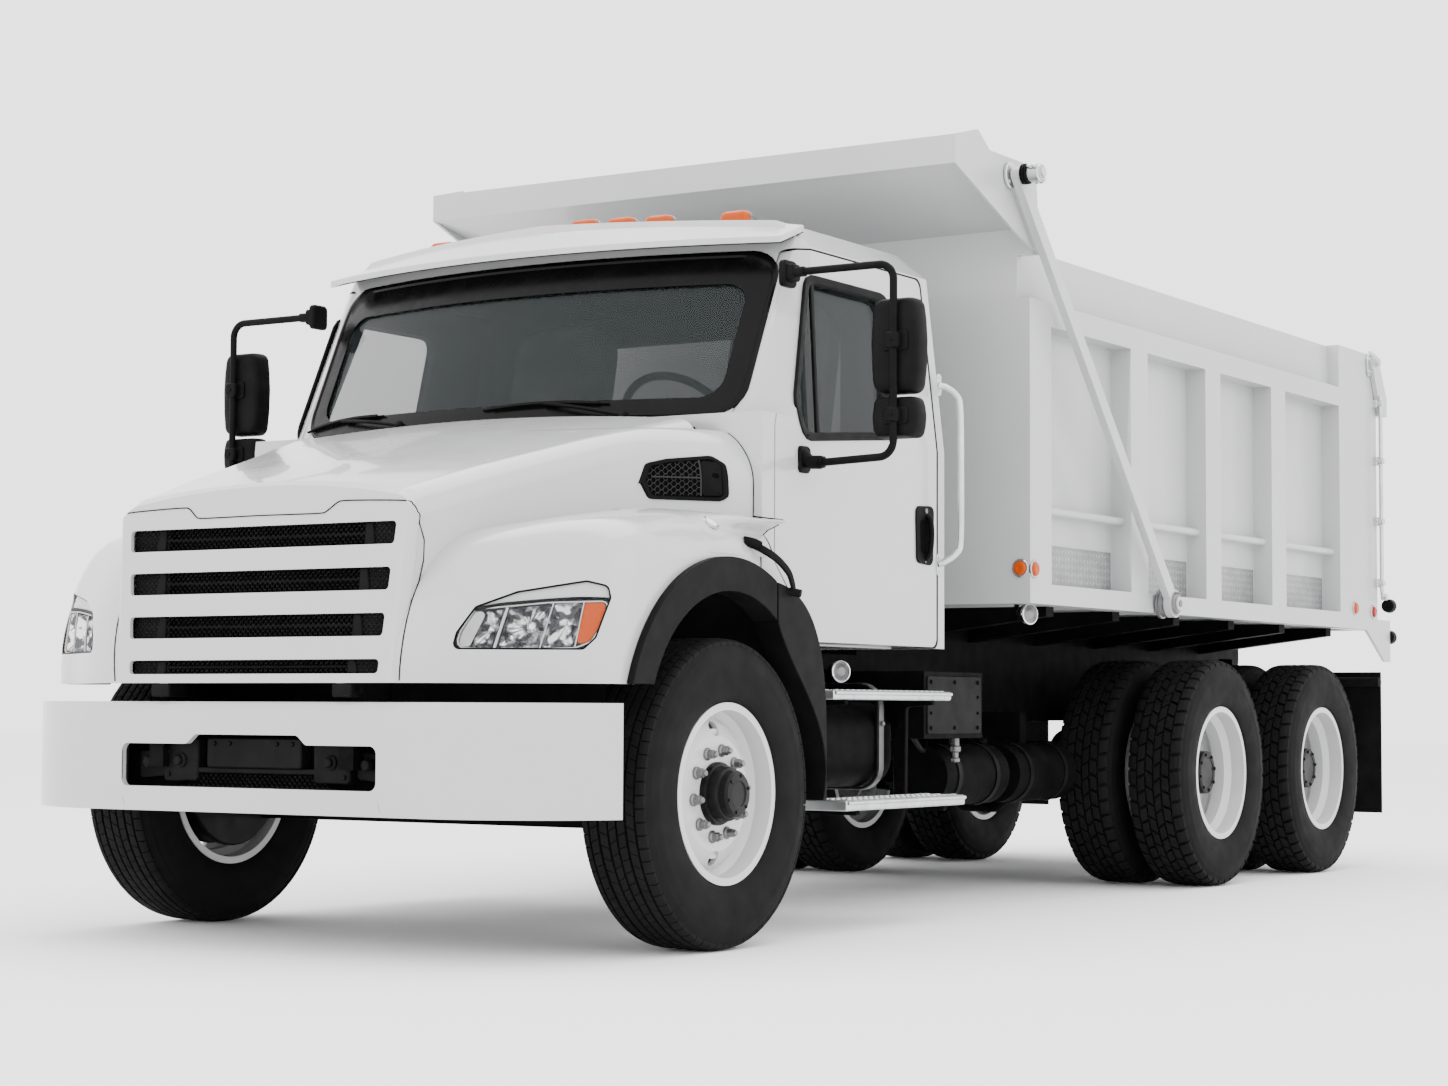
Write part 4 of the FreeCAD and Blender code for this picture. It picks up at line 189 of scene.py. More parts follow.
def inset(outline, distance):
    """A closed 2-D outline moved inwards along the mean normal of its two sides, for thin bevels."""
    before = outline - np.roll(outline, 1, 0)
    after = np.roll(outline, -1, 0) - outline
    normals = []
    for side in (before, after):
        length = np.linalg.norm(side, axis=1, keepdims=True)
        normals.append(np.stack([-side[:, 1], side[:, 0]], 1) / np.maximum(length, 1e-9))
    mean = normals[0] + normals[1]
    mean /= np.maximum(np.linalg.norm(mean, axis=1, keepdims=True), 1e-9)
    stretch = 1 / np.clip((mean * normals[1]).sum(1, keepdims=True), 0.5, 1)
    area = (outline[:, 0] * np.roll(outline[:, 1], -1) - outline[:, 1] * np.roll(outline[:, 0], -1)).sum()
    return outline + mean * stretch * distance * (1 if area > 0 else -1)


PLANES = {"xz": (0, 2, 1), "yz": (1, 2, 0), "xy": (0, 1, 2)}


def prism(outline, plane, start, end, bevel=0.0):
    """A 2-D outline in a named plane carried along the third axis, with both rims cut back by the bevel."""
    outline = np.asarray(outline, float)
    start, end = min(start, end), max(start, end)
    if bevel:
        small = inset(outline, bevel)
        rings = [(small, start), (outline, start + bevel), (outline, end - bevel), (small, end)]
    else:
        rings = [(outline, start), (outline, end)]
    a, b, c = PLANES[plane]
    points = np.empty((len(rings), len(outline), 3))
    for index, (ring, place) in enumerate(rings):
        points[index, :, a] = ring[:, 0]
        points[index, :, b] = ring[:, 1]
        points[index, :, c] = place
    return capped(points)


def rectangle(low, high, radius, steps=5):
    """The outline of a rectangle between two 2-D corners, with its own corners rounded."""
    return arc_corners([low, (high[0], low[1]), high, (low[0], high[1])], radius, steps)


def block(low, high, radius=0.004, plane="xz", bevel=0.002):
    """A box whose long edges are arcs and whose end rims are bevelled."""
    a, b, c = PLANES[plane]
    return prism(rectangle((low[a], low[b]), (high[a], high[b]), radius, 4), plane, low[c], high[c], bevel)


def lathe(profile, centre, axis=OUT, steps=32, closed=False):
    """A profile of (radius, distance along the axis) points turned about the axis through the centre."""
    profile = np.asarray(profile, float)
    k = np.asarray(axis, float) / np.linalg.norm(axis)
    u = np.cross(k, [0, 0, 1.0] if abs(k[2]) < 0.9 else [1.0, 0, 0])
    u /= np.linalg.norm(u)
    w = np.cross(k, u)
    angle = 2 * np.pi * np.arange(steps) / steps
    spoke = np.cos(angle)[:, None] * u + np.sin(angle)[:, None] * w
    points = np.asarray(centre) + profile[:, None, 0:1] * spoke + profile[:, None, 1:2] * k
    return grid(points, wrap_rows=True, wrap_columns=True) if closed else capped(points)


def rounded_path(points, radius, steps=6):
    """A 3-D line through the points whose inner corners are arcs of the radius."""
    points = [np.asarray(p, float) for p in points]
    line = [points[0]]
    for before, corner, after in zip(points, points[1:], points[2:]):
        line += corner_arc(before, corner, after, radius, steps)
    return np.array(line + [points[-1]])


def smooth_path(points, steps=8):
    """A Catmull-Rom curve through the points."""
    p = np.asarray(points, float)
    p = np.concatenate([2 * p[:1] - p[1:2], p, 2 * p[-1:] - p[-2:-1]])
    t = np.linspace(0, 1, steps, endpoint=False)[:, None]
    parts = []
    for a, b, c, d in zip(p, p[1:], p[2:], p[3:]):
        square, cube = 2 * a - 5 * b + 4 * c - d, 3 * b - a - 3 * c + d
        parts.append(0.5 * (2 * b + (c - a) * t + square * t ** 2 + cube * t ** 3))
    return np.concatenate(parts + [p[-2:-1]])


def sweep(section, path, up=(0, 0, 1)):
    """A closed 2-D section carried along a path: at each point it lies across the tangent, with its second
    axis as near to up as it can be."""
    path = np.asarray(path, float)
    tangent = np.gradient(path, axis=0)
    tangent /= np.linalg.norm(tangent, axis=1, keepdims=True)
    across = np.cross(tangent, np.asarray(up, float))
    across /= np.maximum(np.linalg.norm(across, axis=1, keepdims=True), 1e-9)
    rise = np.cross(across, tangent)
    section = np.asarray(section, float)
    points = path[:, None] + section[None, :, 0:1] * across[:, None] + section[None, :, 1:2] * rise[:, None]
    return capped(points)


def bar_section(width, height, radius, steps=3):
    """A rounded rectangle about its middle, from its half width and half height."""
    return rectangle((-width, -height), (width, height), radius, steps)


def tube(path, radius, sides=10, up=(0.13, 0.21, 0.97)):
    """A round bar: a circle carried along a path."""
    angle = 2 * np.pi * np.arange(sides) / sides
    return sweep(np.stack([np.cos(angle), np.sin(angle)], 1) * radius, path, up)


def bolt(centre, axis, radius, height, sides=6):
    """A hexagon head with a chamfered rim on a thin washer."""
    washer = lathe([(radius * 1.35, 0), (radius * 1.35, height * 0.2)], centre, axis, 16)
    head = lathe([(radius, height * 0.1), (radius, height * 0.85), (radius * 0.82, height)], centre, axis,
                 sides)
    return joined([washer, head])


def placed(name, mesh, finish, body, smooth_angle, stands_for=()):
    """An object of a mesh, shaded smooth below the angle, with its finish, riding on its body."""
    mesh.shade_smooth()
    mesh.set_sharp_from_angle(angle=math.radians(smooth_angle))
    obj = bpy.data.objects.new(name, mesh)
    bpy.context.scene.collection.objects.link(obj)
    mesh.materials.append(materials[finish])
    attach(obj, body)
    if stands_for:
        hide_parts(*stands_for)
    return obj


def piece(name, surface, finish, body, smooth_angle=34.0, stands_for=()):
    """Makes the mesh of a surface with its faces out, and places it."""
    verts, groups = surface
    mesh = bpy.data.meshes.new(name)
    mesh.vertices.add(len(verts))
    mesh.vertices.foreach_set("co", np.ascontiguousarray(verts, np.float32).ravel())
    corners = np.concatenate([group.ravel() for group in groups]).astype(np.int32)
    totals = np.concatenate([np.full(len(group), group.shape[1]) for group in groups]).astype(np.int32)
    mesh.loops.add(len(corners))
    mesh.loops.foreach_set("vertex_index", corners)
    mesh.polygons.add(len(totals))
    mesh.polygons.foreach_set("loop_start", (np.cumsum(totals) - totals).astype(np.int32))
    mesh.polygons.foreach_set("loop_total", totals)
    mesh.update(calc_edges=True)
    if mesh.validate():
        raise RuntimeError(name + " has faces that Blender refuses")
    work = bmesh.new()
    work.from_mesh(mesh)
    bmesh.ops.recalc_face_normals(work, faces=work.faces)
    work.to_mesh(mesh)
    work.free()
    return placed(name, mesh, finish, body, smooth_angle, stands_for)


def sided(name, surface, finish, body, smooth_angle=34.0, stands_for=""):
    """The left piece and its mirror image, each on its own side's body and for its own side's node."""
    for label, side in SIDES.items():
        node = (stands_for + label,) if stands_for else ()
        piece(name + label, side_of(surface, side), finish, body + label, smooth_angle, node)


# Materials

class Shader:
    """A node material under construction, with short ways to add the nodes that the finishes share."""

    def __init__(self, name):
        self.material = bpy.data.materials.new(name)
        self.material.use_nodes = True
        self.nodes = self.material.node_tree.nodes
        self.links = self.material.node_tree.links
        self.surface = self.nodes["Principled BSDF"]
        self.place = self.nodes.new("ShaderNodeTexCoord").outputs["Object"]

    def set(self, **values):
        """Sets inputs of the surface, named with underscores for spaces."""
        for name, value in values.items():
            self.surface.inputs[name.replace("_", " ")].default_value = value

    def add(self, kind, inputs=(), **settings):
        """A new node: each input is linked where a socket is given, and set where a value is."""
        node = self.nodes.new(kind)
        for name, value in settings.items():
            setattr(node, name, value)
        for name, value in dict(inputs).items():
            if isinstance(value, bpy.types.NodeSocket):
                self.links.new(value, node.inputs[name])
            else:
                node.inputs[name].default_value = value
        return node

    def noise(self, scale, detail=3.0, roughness=0.55):
        """Noise on Object coordinates, from 0 to 1."""
        return self.add("ShaderNodeTexNoise", {"Vector": self.place, "Scale": scale, "Detail": detail,
                                               "Roughness": roughness}).outputs["Fac"]

    def mapped(self, value, low, high, to_low=0.0, to_high=1.0):
        """A value carried from one range to another and held at its ends."""
        return self.add("ShaderNodeMapRange", {"Value": value, "From Min": low, "From Max": high,
                                               "To Min": to_low, "To Max": to_high}).outputs["Result"]

    def blend(self, factor, first, second):
        """A colour between two, by the factor."""
        node = self.add("ShaderNodeMix", data_type="RGBA")
        node.inputs[6].default_value = (*first, 1.0)
        node.inputs[7].default_value = (*second, 1.0)
        self.links.new(factor, node.inputs[0])
        return node.outputs[2]

    def colour(self, socket):
        """Links the base colour."""
        self.links.new(socket, self.surface.inputs["Base Color"])

    def roughness(self, socket):
        """Links the roughness."""
        self.links.new(socket, self.surface.inputs["Roughness"])

    def bump(self, height, strength, distance):
        """Links a bump to the normal."""
        node = self.add("ShaderNodeBump", {"Height": height, "Strength": strength, "Distance": distance})
        self.links.new(node.outputs["Normal"], self.surface.inputs["Normal"])


def paint(name, tint, fade, rough, coat, peel):
    """Sprayed paint: a drift to a tone darker by fade, orange peel in the coat, dust in the roughness."""
    s = Shader(name)
    drift = s.mapped(s.noise(1.3, 4.0), 0.35, 0.7)
    s.colour(s.blend(drift, tint, [channel * fade for channel in tint]))
    s.roughness(s.mapped(s.noise(6.0, 5.0), 0.3, 0.75, rough, rough + 0.08))
    s.set(Coat_Weight=coat, Coat_Roughness=0.04, IOR=1.5)
    s.bump(s.noise(420.0, 1.0), peel, 0.0004)
    return s.material


def plastic(name, tint, shade, rough, grain, depth, gloss):
    """Moulded black plastic or rubber: fine grain bump, faint wear in tone and roughness."""
    s = Shader(name)
    s.colour(s.blend(s.mapped(s.noise(9.0, 5.0), 0.4, 0.7), tint, shade))
    s.roughness(s.mapped(s.noise(14.0, 4.0), 0.3, 0.7, rough - 0.06, rough + 0.08))
    s.set(Specular_IOR_Level=gloss)
    s.bump(s.noise(grain, 2.0), depth, 0.0006)
    return s.material


def metal(name, tint, rough, grain, depth, metallic):
    """Bare or plated metal with brushed tone and small scratches in the roughness."""
    s = Shader(name)
    darker = [channel * 0.78 for channel in tint]
    s.colour(s.blend(s.mapped(s.noise(11.0, 6.0), 0.35, 0.7), tint, darker))
    s.roughness(s.mapped(s.noise(40.0, 4.0), 0.3, 0.7, rough, rough + 0.12))
    s.set(Metallic=metallic)
    s.bump(s.noise(grain, 2.0), depth, 0.0004)
    return s.material


def glass(name, tint, rough, transmission, alpha, coat, gloss):
    """Tinted pane or lens: smooth, with a faint ripple in its gloss."""
    s = Shader(name)
    s.set(Base_Color=(*tint, 1.0), IOR=1.45, Transmission_Weight=transmission, Alpha=alpha,
          Coat_Weight=coat, Coat_Roughness=0.03, Specular_IOR_Level=gloss)
    s.roughness(s.mapped(s.noise(2.5, 2.0), 0.3, 0.7, rough, rough + 0.03))
    s.bump(s.noise(1.6, 1.0), 0.01, 0.001)
    return s.material


def reflector(name):
    """Vacuum-plated lamp bowl: bright metal whose colour has painted dark streaks, a painted reflection of
    its own flutes and the bulb.
    """
    s = Shader(name)
    # painted reflection: dark streaks in the base colour stand for what the flutes and the bulb reflect
    painted_reflection_streaks = s.mapped(s.noise(34.0, 2.0, 0.4), 0.46, 0.56)
    s.colour(s.blend(painted_reflection_streaks, (0.62, 0.62, 0.63), (0.05, 0.05, 0.055)))
    s.roughness(s.mapped(s.noise(60.0), 0.3, 0.7, 0.08, 0.2))
    s.set(Metallic=1.0)
    return s.material


class TruckPaint(bpy.types.PropertyGroup):
    cab_tint: bpy.props.FloatVectorProperty(name="Cab tint",
                                            description="Colour of the cab, hood and doors",
                                            subtype="COLOR", min=0.0, max=1.0,
                                            default=(0.44, 0.443, 0.448))
    body_tint: bpy.props.FloatVectorProperty(name="Body tint",
                                             description="Colour of the dump body and tarp",
                                             subtype="COLOR", min=0.0, max=1.0,
                                             default=(0.42, 0.424, 0.43))
    rim_tint: bpy.props.FloatVectorProperty(name="Rim tint", description="Colour of the steel disc wheels",
                                            subtype="COLOR", min=0.0, max=1.0, default=(0.50, 0.503, 0.508))


# Plastics and rubber: tint, worn tint, roughness, size of the grain, its depth, gloss
PLASTICS = {
    "chassis_black": ((0.0025, 0.0025, 0.0028), (0.005, 0.005, 0.0053), 0.5, 60.0, 0.15, 0.02),
    "black_plastic": ((0.0035, 0.0035, 0.0038), (0.006, 0.006, 0.0063), 0.5, 700.0, 0.25, 0.05),
    "rubber": ((0.0035, 0.0035, 0.0035), (0.007, 0.007, 0.0072), 0.66, 240.0, 0.2, 0.04),
    "tyre": ((0.007, 0.007, 0.0072), (0.009, 0.009, 0.0091), 0.7, 300.0, 0.2, 0.05),
    "seat_cloth": ((0.05, 0.052, 0.056), (0.09, 0.092, 0.096), 0.9, 900.0, 0.4, 0.2),
    "hub_black": ((0.003, 0.003, 0.003), (0.006, 0.006, 0.006), 0.35, 90.0, 0.1, 0.12),
    "seal_black": ((0.003, 0.003, 0.0033), (0.006, 0.006, 0.0063), 0.45, 500.0, 0.1, 0.05),
    "lamp_grey": ((0.10, 0.10, 0.105), (0.14, 0.14, 0.145), 0.35, 300.0, 0.1, 0.2),
    "hose_black": ((0.004, 0.004, 0.0042), (0.008, 0.008, 0.0083), 0.4, 90.0, 0.1, 0.04),
    # painted shade: a near-black sheet set behind openings and hollows where there is only shade
    "void_black": ((0.002, 0.002, 0.002), (0.003, 0.003, 0.003), 0.8, 90.0, 0.1, 0.02),
    "mesh_black": ((0.010, 0.010, 0.011), (0.016, 0.016, 0.017), 0.45, 90.0, 0.1, 0.3),
    # dark interior trim, also laid as painted shade under the visor
    "trim_dark": ((0.020, 0.021, 0.022), (0.028, 0.029, 0.030), 0.8, 500.0, 0.2, 0.1),
    "frit_black": ((0.002, 0.002, 0.002), (0.003, 0.003, 0.0032), 0.25, 20.0, 0.02, 0.10)}
# Metals: tint, roughness, size of the grain, its depth, metallic share
METALS = {
    "step_alloy": ((0.62, 0.63, 0.64), 0.32, 180.0, 0.15, 1.0),
    "rod_chrome": ((0.78, 0.78, 0.79), 0.12, 60.0, 0.02, 1.0),
    "zinc": ((0.20, 0.20, 0.205), 0.38, 220.0, 0.2, 0.85),
    "lamp_dim": ((0.20, 0.20, 0.205), 0.3, 200.0, 0.05, 0.7),
    "lamp_silver": ((0.42, 0.42, 0.43), 0.14, 200.0, 0.04, 1.0),
    "tread_alloy": ((0.42, 0.425, 0.43), 0.36, 180.0, 0.1, 0.8),
    "plate_alloy": ((0.27, 0.273, 0.278), 0.42, 150.0, 0.1, 0.6),
    "mirror_chrome": ((0.90, 0.90, 0.91), 0.05, 60.0, 0.01, 1.0)}
# Panes and lenses: tint, roughness, transmission, alpha, coat, gloss
PANES = {
    "glass": ((0.018, 0.024, 0.024), 0.02, 0.0, 0.34, 0.0, 0.35),
    "lens": ((0.9, 0.92, 0.93), 0.03, 0.9, 0.35, 0.25, 0.5),
    "amber_lens": ((0.42, 0.055, 0.0), 0.25, 0.0, 1.0, 0.05, 0.15),
    "red_lens": ((0.28, 0.004, 0.003), 0.2, 0.0, 1.0, 0.05, 0.15),
    "lamp_pane": ((0.20, 0.21, 0.22), 0.02, 0.0, 0.05, 0.0, 0.2),
    "lamp_brow": ((0.50, 0.505, 0.51), 0.12, 0.0, 1.0, 0.1, 0.3),
    "lamp_pale": ((0.78, 0.79, 0.80), 0.12, 0.0, 1.0, 0.25, 0.5),
    "amber_glow": ((0.40, 0.05, 0.0), 0.25, 0.0, 1.0, 0.0, 0.05)}


def make_materials(tints):
    """Every finish by its name, the three paints in the tints of the settings."""
    made = {name: plastic(name, *values) for name, values in PLASTICS.items()}
    made.update({name: metal(name, *values) for name, values in METALS.items()})
    made.update({name: glass(name, *values) for name, values in PANES.items()})
    made["lamp_chrome"] = reflector("lamp_chrome")
    made["cab_paint"] = paint("cab_paint", tints.cab_tint, 0.955, 0.2, 0.5, 0.04)
    made["body_paint"] = paint("body_paint", tints.body_tint, 0.929, 0.32, 0.2, 0.08)
    made["rim_paint"] = paint("rim_paint", tints.rim_tint, 0.9, 0.28, 0.3, 0.06)
    return made


materials = {}


# Softened panels

SOFT_EDGES = {"cab_shell": 0.007, "front_bumper": 0.012, "bed_body": 0.0035, "tailgate": 0.004,
              "roof_visor": 0.005, "hood_flares": 0.004, "cab_flares": 0.004, "tarp_arm_left": 0.003,
              "tarp_arm_right": 0.003, "mud_flaps": 0.003, "panel_box": 0.004, "door_left": 0.004,
              "door_right": 0.004}


def node_body(name):
    """Name of the body that a CAD node rides on."""
    return frame["nodes"][name].parent.name.split(":", 1)[1]


def node_copy(name):
    """A CAD node's mesh as a working copy with its loose triangles merged."""
    work = bmesh.new()
    work.from_mesh(frame["nodes"][name].data)
    bmesh.ops.remove_doubles(work, verts=work.verts, dist=1e-5)
    return work


def softened(name, width):
    """A copy of a CAD node with its flat faces made whole and its sharp edges rounded by a bevel."""
    slot = frame["nodes"][name].material_slots[0].material.name.split(".")[0]
    work = node_copy(name)
    bmesh.ops.dissolve_limit(work, angle_limit=math.radians(0.4), verts=work.verts, edges=work.edges)
    mesh = bpy.data.meshes.new(name + "_soft")
    work.to_mesh(mesh)
    work.free()
    obj = placed(name + "_soft", mesh, slot, node_body(name), 34.0, (name,))
    bevel = obj.modifiers.new("edges", "BEVEL")
    bevel.width = width
    bevel.segments = 3
    bevel.limit_method = "ANGLE"
    bevel.angle_limit = math.radians(38)
    bevel.harden_normals = True


class TruckEdges(bpy.types.PropertyGroup):
    softness: bpy.props.FloatProperty(name="Edge softness", default=1.0, min=0.1, max=2.0,
                                      description="Width of the rounded edges, as a share of the usual")


class TRUCK_OT_panels(bpy.types.Operator):
    """Rounds the sharp edges of the pressed and welded panels"""
    bl_idname = "truck.panels"
    bl_label = "Softened panels"

    def execute(self, context):
        for name, width in SOFT_EDGES.items():
            softened(name, width * context.scene.truck_edges.softness)
        return {"FINISHED"}


# Wheels

FRONT_AXLE = middle("tyre_front_left")
WHEEL_RADIUS = float(FRONT_AXLE[2])
TYRE_HALF_WIDTH = float(node_box("tyre_front_left")[1][1] - FRONT_AXLE[1])
FRONT_DISC_OUT = 0.0725
REAR_DISC_OUT = 0.016
RIM_FLANGE_OUT = 0.1095
BOLT_CIRCLE = 0.1429
FRONT_BLOCKS = 74
REAR_BLOCKS = 46
FRONT_BASE = 0.4965
REAR_BASE = 0.4925
# A row of blocks is its places across, the part of a pitch that a block fills, its skew, its foot's radius
# or 0 for the base, its phase, and half of what the tread's outer half adds to that
FRONT_RIBS = (((0.0205, 0.034, 0.0475), 0.955, 9, 0, 0.0, 0.0),
              ((0.0575, 0.071, 0.0845), 0.955, -9, 0, 0.4, 0.0),
              ((0.0925, 0.105, 0.113, 0.1195), 0.93, 0.0, 0.486, 0.2, 0.0))
REAR_RIBS = (((0.0045, 0.018, 0.033), 0.84, 10, 0, 0.0, 0.25),
             ((0.041, 0.055, 0.072), 0.82, -6, 0, 0.3, 0.0),
             ((0.081, 0.097, 0.108, 0.1215), 0.80, 3, 0.482, 0.05, 0.0))


def from_axle(points):
    """Points given in millimetres from the front axle, as metres in the truck's frame."""
    return np.asarray(points, float) / 1000 + np.array([FRONT_AXLE[0], 0, 0])


def capped_copies(points):
    """Many grids of rings of one size, as copies by rings by points by 3, each closed at both ends."""
    count, rings, columns = points.shape[:3]
    faces = capped(points[0])[1]
    shift = (np.arange(count) * rings * columns)[:, None, None]
    return points.reshape(-1, 3), [(group[None] + shift).reshape(-1, group.shape[1]) for group in faces]


def tread_crown(across):
    """Radius of the tread's top at a distance from its middle: flat, then a parabola off the shoulder."""
    across = np.abs(across)
    slope = 1.1 * np.clip(across - 0.08, 0, 1) ** 1.5
    return WHEEL_RADIUS - slope - 14.0 * np.clip(across - 0.105, 0, 1) ** 2


def tread_row(centre, count, span, ribs, skew, base, phase=0.0, cut=0.0016):
    """A ring of blocks. Each is a section across the tread carried round the wheel over a part of one
    pitch, with the ends of its top cut back, and slanted by the skew times the distance across."""
    across = np.concatenate([ribs, ribs[::-1]])
    pitch = 2 * np.pi / count
    edge = cut / WHEEL_RADIUS / pitch
    stations = np.array([span[0], span[0] + edge, span[1] - edge, span[1]])
    drop = np.array([cut, 0, 0, cut])
    radius = np.empty((4, len(across)))
    radius[:, :len(ribs)] = tread_crown(ribs)[None] - drop[:, None]
    radius[:, len(ribs):] = base
    radius[:, 0] -= cut * 0.6
    radius[:, len(ribs) - 1] -= cut * 0.6
    turn = np.arange(count)[:, None, None] + phase + stations[None, :, None] + skew * across[None, None, :]
    turn = turn * pitch
    points = np.empty(turn.shape + (3,))
    points[..., 0] = centre[0] + radius * np.cos(turn)
    points[..., 1] = centre[1] + across
    points[..., 2] = centre[2] + radius * np.sin(turn)
    return capped_copies(points)


def tyre_carcass(centre, tread_base, steps=128):
    """The tyre below its tread: a smooth section through bead, bulge and shoulder with raised rings."""
    side = smooth_path([(0.288, 0.1045, 0), (0.299, 0.112, 0), (0.315, 0.1235, 0), (0.345, 0.1320, 0),
                        (0.385, 0.1362, 0), (0.425, 0.1352, 0), (0.457, 0.1300, 0), (0.478, 0.1232, 0)],
                       4)[:, :2]
    raised = [(0.3125, 0.0012), (0.3270, 0.0010), (0.4290, 0.0016), (0.4470, 0.0012), (0.4660, 0.0016)]
    for place, height in raised:
        side[:, 1] += height * (np.abs(side[:, 0] - place) < 0.005)
    shoulder = np.array([(0.4860, 0.1185), (tread_base - 0.001, 0.1120), (tread_base, 0.1000)])
    half = np.concatenate([side, shoulder, [(tread_base + 0.001, 0.0)]])
    profile = np.concatenate([half, half[-2::-1] * [1, -1]])
    return lathe(profile, centre, closed=True, steps=steps)


def tread_rows(centre, count, base, ribs):
    """Rows of blocks on both sides of the tread: each is given by its places across, the part of a pitch
    that a block fills, its skew, its foot's radius if not the base, and its phase, which may differ from
    side to side."""
    rows = [tyre_carcass(centre, base)]
    for side in (1, -1):
        for across, span, skew, foot, phase, stagger in ribs:
            rows.append(tread_row(centre, count, (0.0, span), side * np.array(across), side * skew,
                                  foot or base, phase + stagger * (1 + side)))
    return rows


def front_tyre(centre):
    """Five ribs: zigzag edges between the grooves, and short cuts along both shoulders."""
    rows = tread_rows(centre, FRONT_BLOCKS, FRONT_BASE, FRONT_RIBS)
    middle_rib = np.array([-0.0125, 0, 0.0125])
    rows.append(tread_row(centre, FRONT_BLOCKS, (0.0, 0.955), middle_rib, 14.0, FRONT_BASE, 0.7))
    return joined(rows)


def rear_tyre(centre):
    """Open blocks: a staggered middle pair, an outer pair and deep lugs that run down the shoulders."""
    return joined(tread_rows(centre, REAR_BLOCKS, REAR_BASE, REAR_RIBS))


def lug_nut(centre):
    """A tall nut on its flange washer, with the stud's rounded end standing out of it."""
    flange = lathe([(0.0205, 0), (0.0215, 0.003), (0.0205, 0.007), (0.0165, 0.011)], centre, OUT, 20)
    barrel = lathe([(0.0160, 0.009), (0.0160, 0.028), (0.0138, 0.031)], centre, OUT, 6)
    stud = lathe([(0.0105, 0.030), (0.0105, 0.038), (0.0085, 0.041)], centre, OUT, 14)
    return joined([flange, barrel, stud])


def nut_ring(centre, face):
    """Ten nuts round the disc's bolt circle."""
    nut = lug_nut(np.array([centre[0] + BOLT_CIRCLE, face, centre[2]]))
    return ring_of(nut, centre, OUT, 10, 0.12)


def front_hub(centre, face):
    """The dark hub: a stepped cap in the disc's bore with a ring of small bolts and a domed middle."""
    base = np.array([centre[0], face, centre[2]])
    cap = lathe([(0.104, -0.012), (0.104, 0.012), (0.100, 0.020), (0.092, 0.022), (0.089, 0.050),
                 (0.085, 0.056), (0.079, 0.058), (0.076, 0.078), (0.068, 0.086), (0.045, 0.088),
                 (0.040, 0.084), (0.012, 0.084)], base, OUT, 48)
    small = bolt(base + np.array([0.0605, 0.086, 0]), OUT, 0.0055, 0.005)
    return joined([cap, ring_of(small, base, OUT, 6, 0.3)])


def rear_hub(centre, face):
    """The axle's flange deep in the dished disc: a stepped boss, eight bolts and a flat drive plate."""
    base = np.array([centre[0], face, centre[2]])
    boss = lathe([(0.112, -0.010), (0.112, 0.006), (0.103, 0.014), (0.098, 0.020), (0.0965, 0.186),
                  (0.0955, 0.2005), (0.091, 0.2035), (0.070, 0.2045), (0.066, 0.2015), (0.030, 0.2015)],
                 base, OUT, 40)
    small = bolt(base + np.array([0.081, 0.203, 0]), OUT, 0.0075, 0.008)
    return joined([boss, ring_of(small, base, OUT, 8, 0.2)])


def rim_lips(centre, face):
    """The rolled edge of the wheel: a half-round bead turned at the outer flange."""
    angle = np.linspace(0, np.pi, 7)
    bead = np.stack([0.2925 + 0.0055 * np.cos(angle), 0.0045 * np.sin(angle)], 1)
    return lathe(bead, (centre[0], face, centre[2]), closed=True, steps=96)


class TRUCK_OT_tyres(bpy.types.Operator):
    """Ribbed front tyres and block-treaded rear pairs"""
    bl_idname = "truck.tyres"
    bl_label = "Tyres"

    def execute(self, context):
        sided("tyre_tread_front_", front_tyre(FRONT_AXLE), "tyre", "wheel_front_", 30.0,
              "tyre_front_")
        for axle in REAR_AXLES:
            low, high = node_box("tyres_" + axle + "_left")
            centre = (low + high) / 2
            apart = np.array([0, (high[1] - low[1]) / 2 - TYRE_HALF_WIDTH, 0])
            pair = joined([rear_tyre(centre + apart), rear_tyre(centre - apart)])
            sided("tyre_tread_" + axle + "_", pair, "tyre", "wheels_" + axle + "_", 30.0,
                  "tyres_" + axle + "_")
        return {"FINISHED"}


def brake_drum(centre):
    """The drum at the wheel's inner side: a stepped ring with cooling grooves and a backing plate."""
    profile = [(0.090, -0.128), (0.226, -0.126), (0.232, -0.120), (0.232, -0.100), (0.222, -0.098),
               (0.222, -0.020), (0.226, -0.016), (0.226, -0.004), (0.218, 0.002), (0.120, 0.006)]
    return lathe(profile, centre, OUT, 48)


class TRUCK_OT_hubs(bpy.types.Operator):
    """Wheel nuts, hub caps, front brake drums and rolled rim edges"""
    bl_idname = "truck.hubs"
    bl_label = "Hubs and nuts"

    def execute(self, context):
        wheels = [("front_", "wheel_front_", FRONT_AXLE, front_hub, FRONT_AXLE[1] + FRONT_DISC_OUT,
                   FRONT_AXLE[1])]
        for axle in REAR_AXLES:
            low, high = node_box("tyres_" + axle + "_left")
            centre = np.array([(low[0] + high[0]) / 2, (low[1] + high[1]) / 2, FRONT_AXLE[2]])
            wheels.append((axle + "_", "wheels_" + axle + "_", centre, rear_hub, centre[1] + REAR_DISC_OUT,
                           high[1] - TYRE_HALF_WIDTH))
        for name, body, centre, hub, face, rim in wheels:
            sided("nuts_" + name, nut_ring(centre, face), "zinc", body)
            sided("hub_" + name, hub(centre, face), "hub_black", body)
            sided("rim_lip_" + name, rim_lips(centre, rim + RIM_FLANGE_OUT), "rim_paint", body)
        sided("drum_front_", brake_drum(FRONT_AXLE), "hub_black", "knuckle_")
        return {"FINISHED"}


# Rays against the CAD nodes, to seat pieces on their surfaces

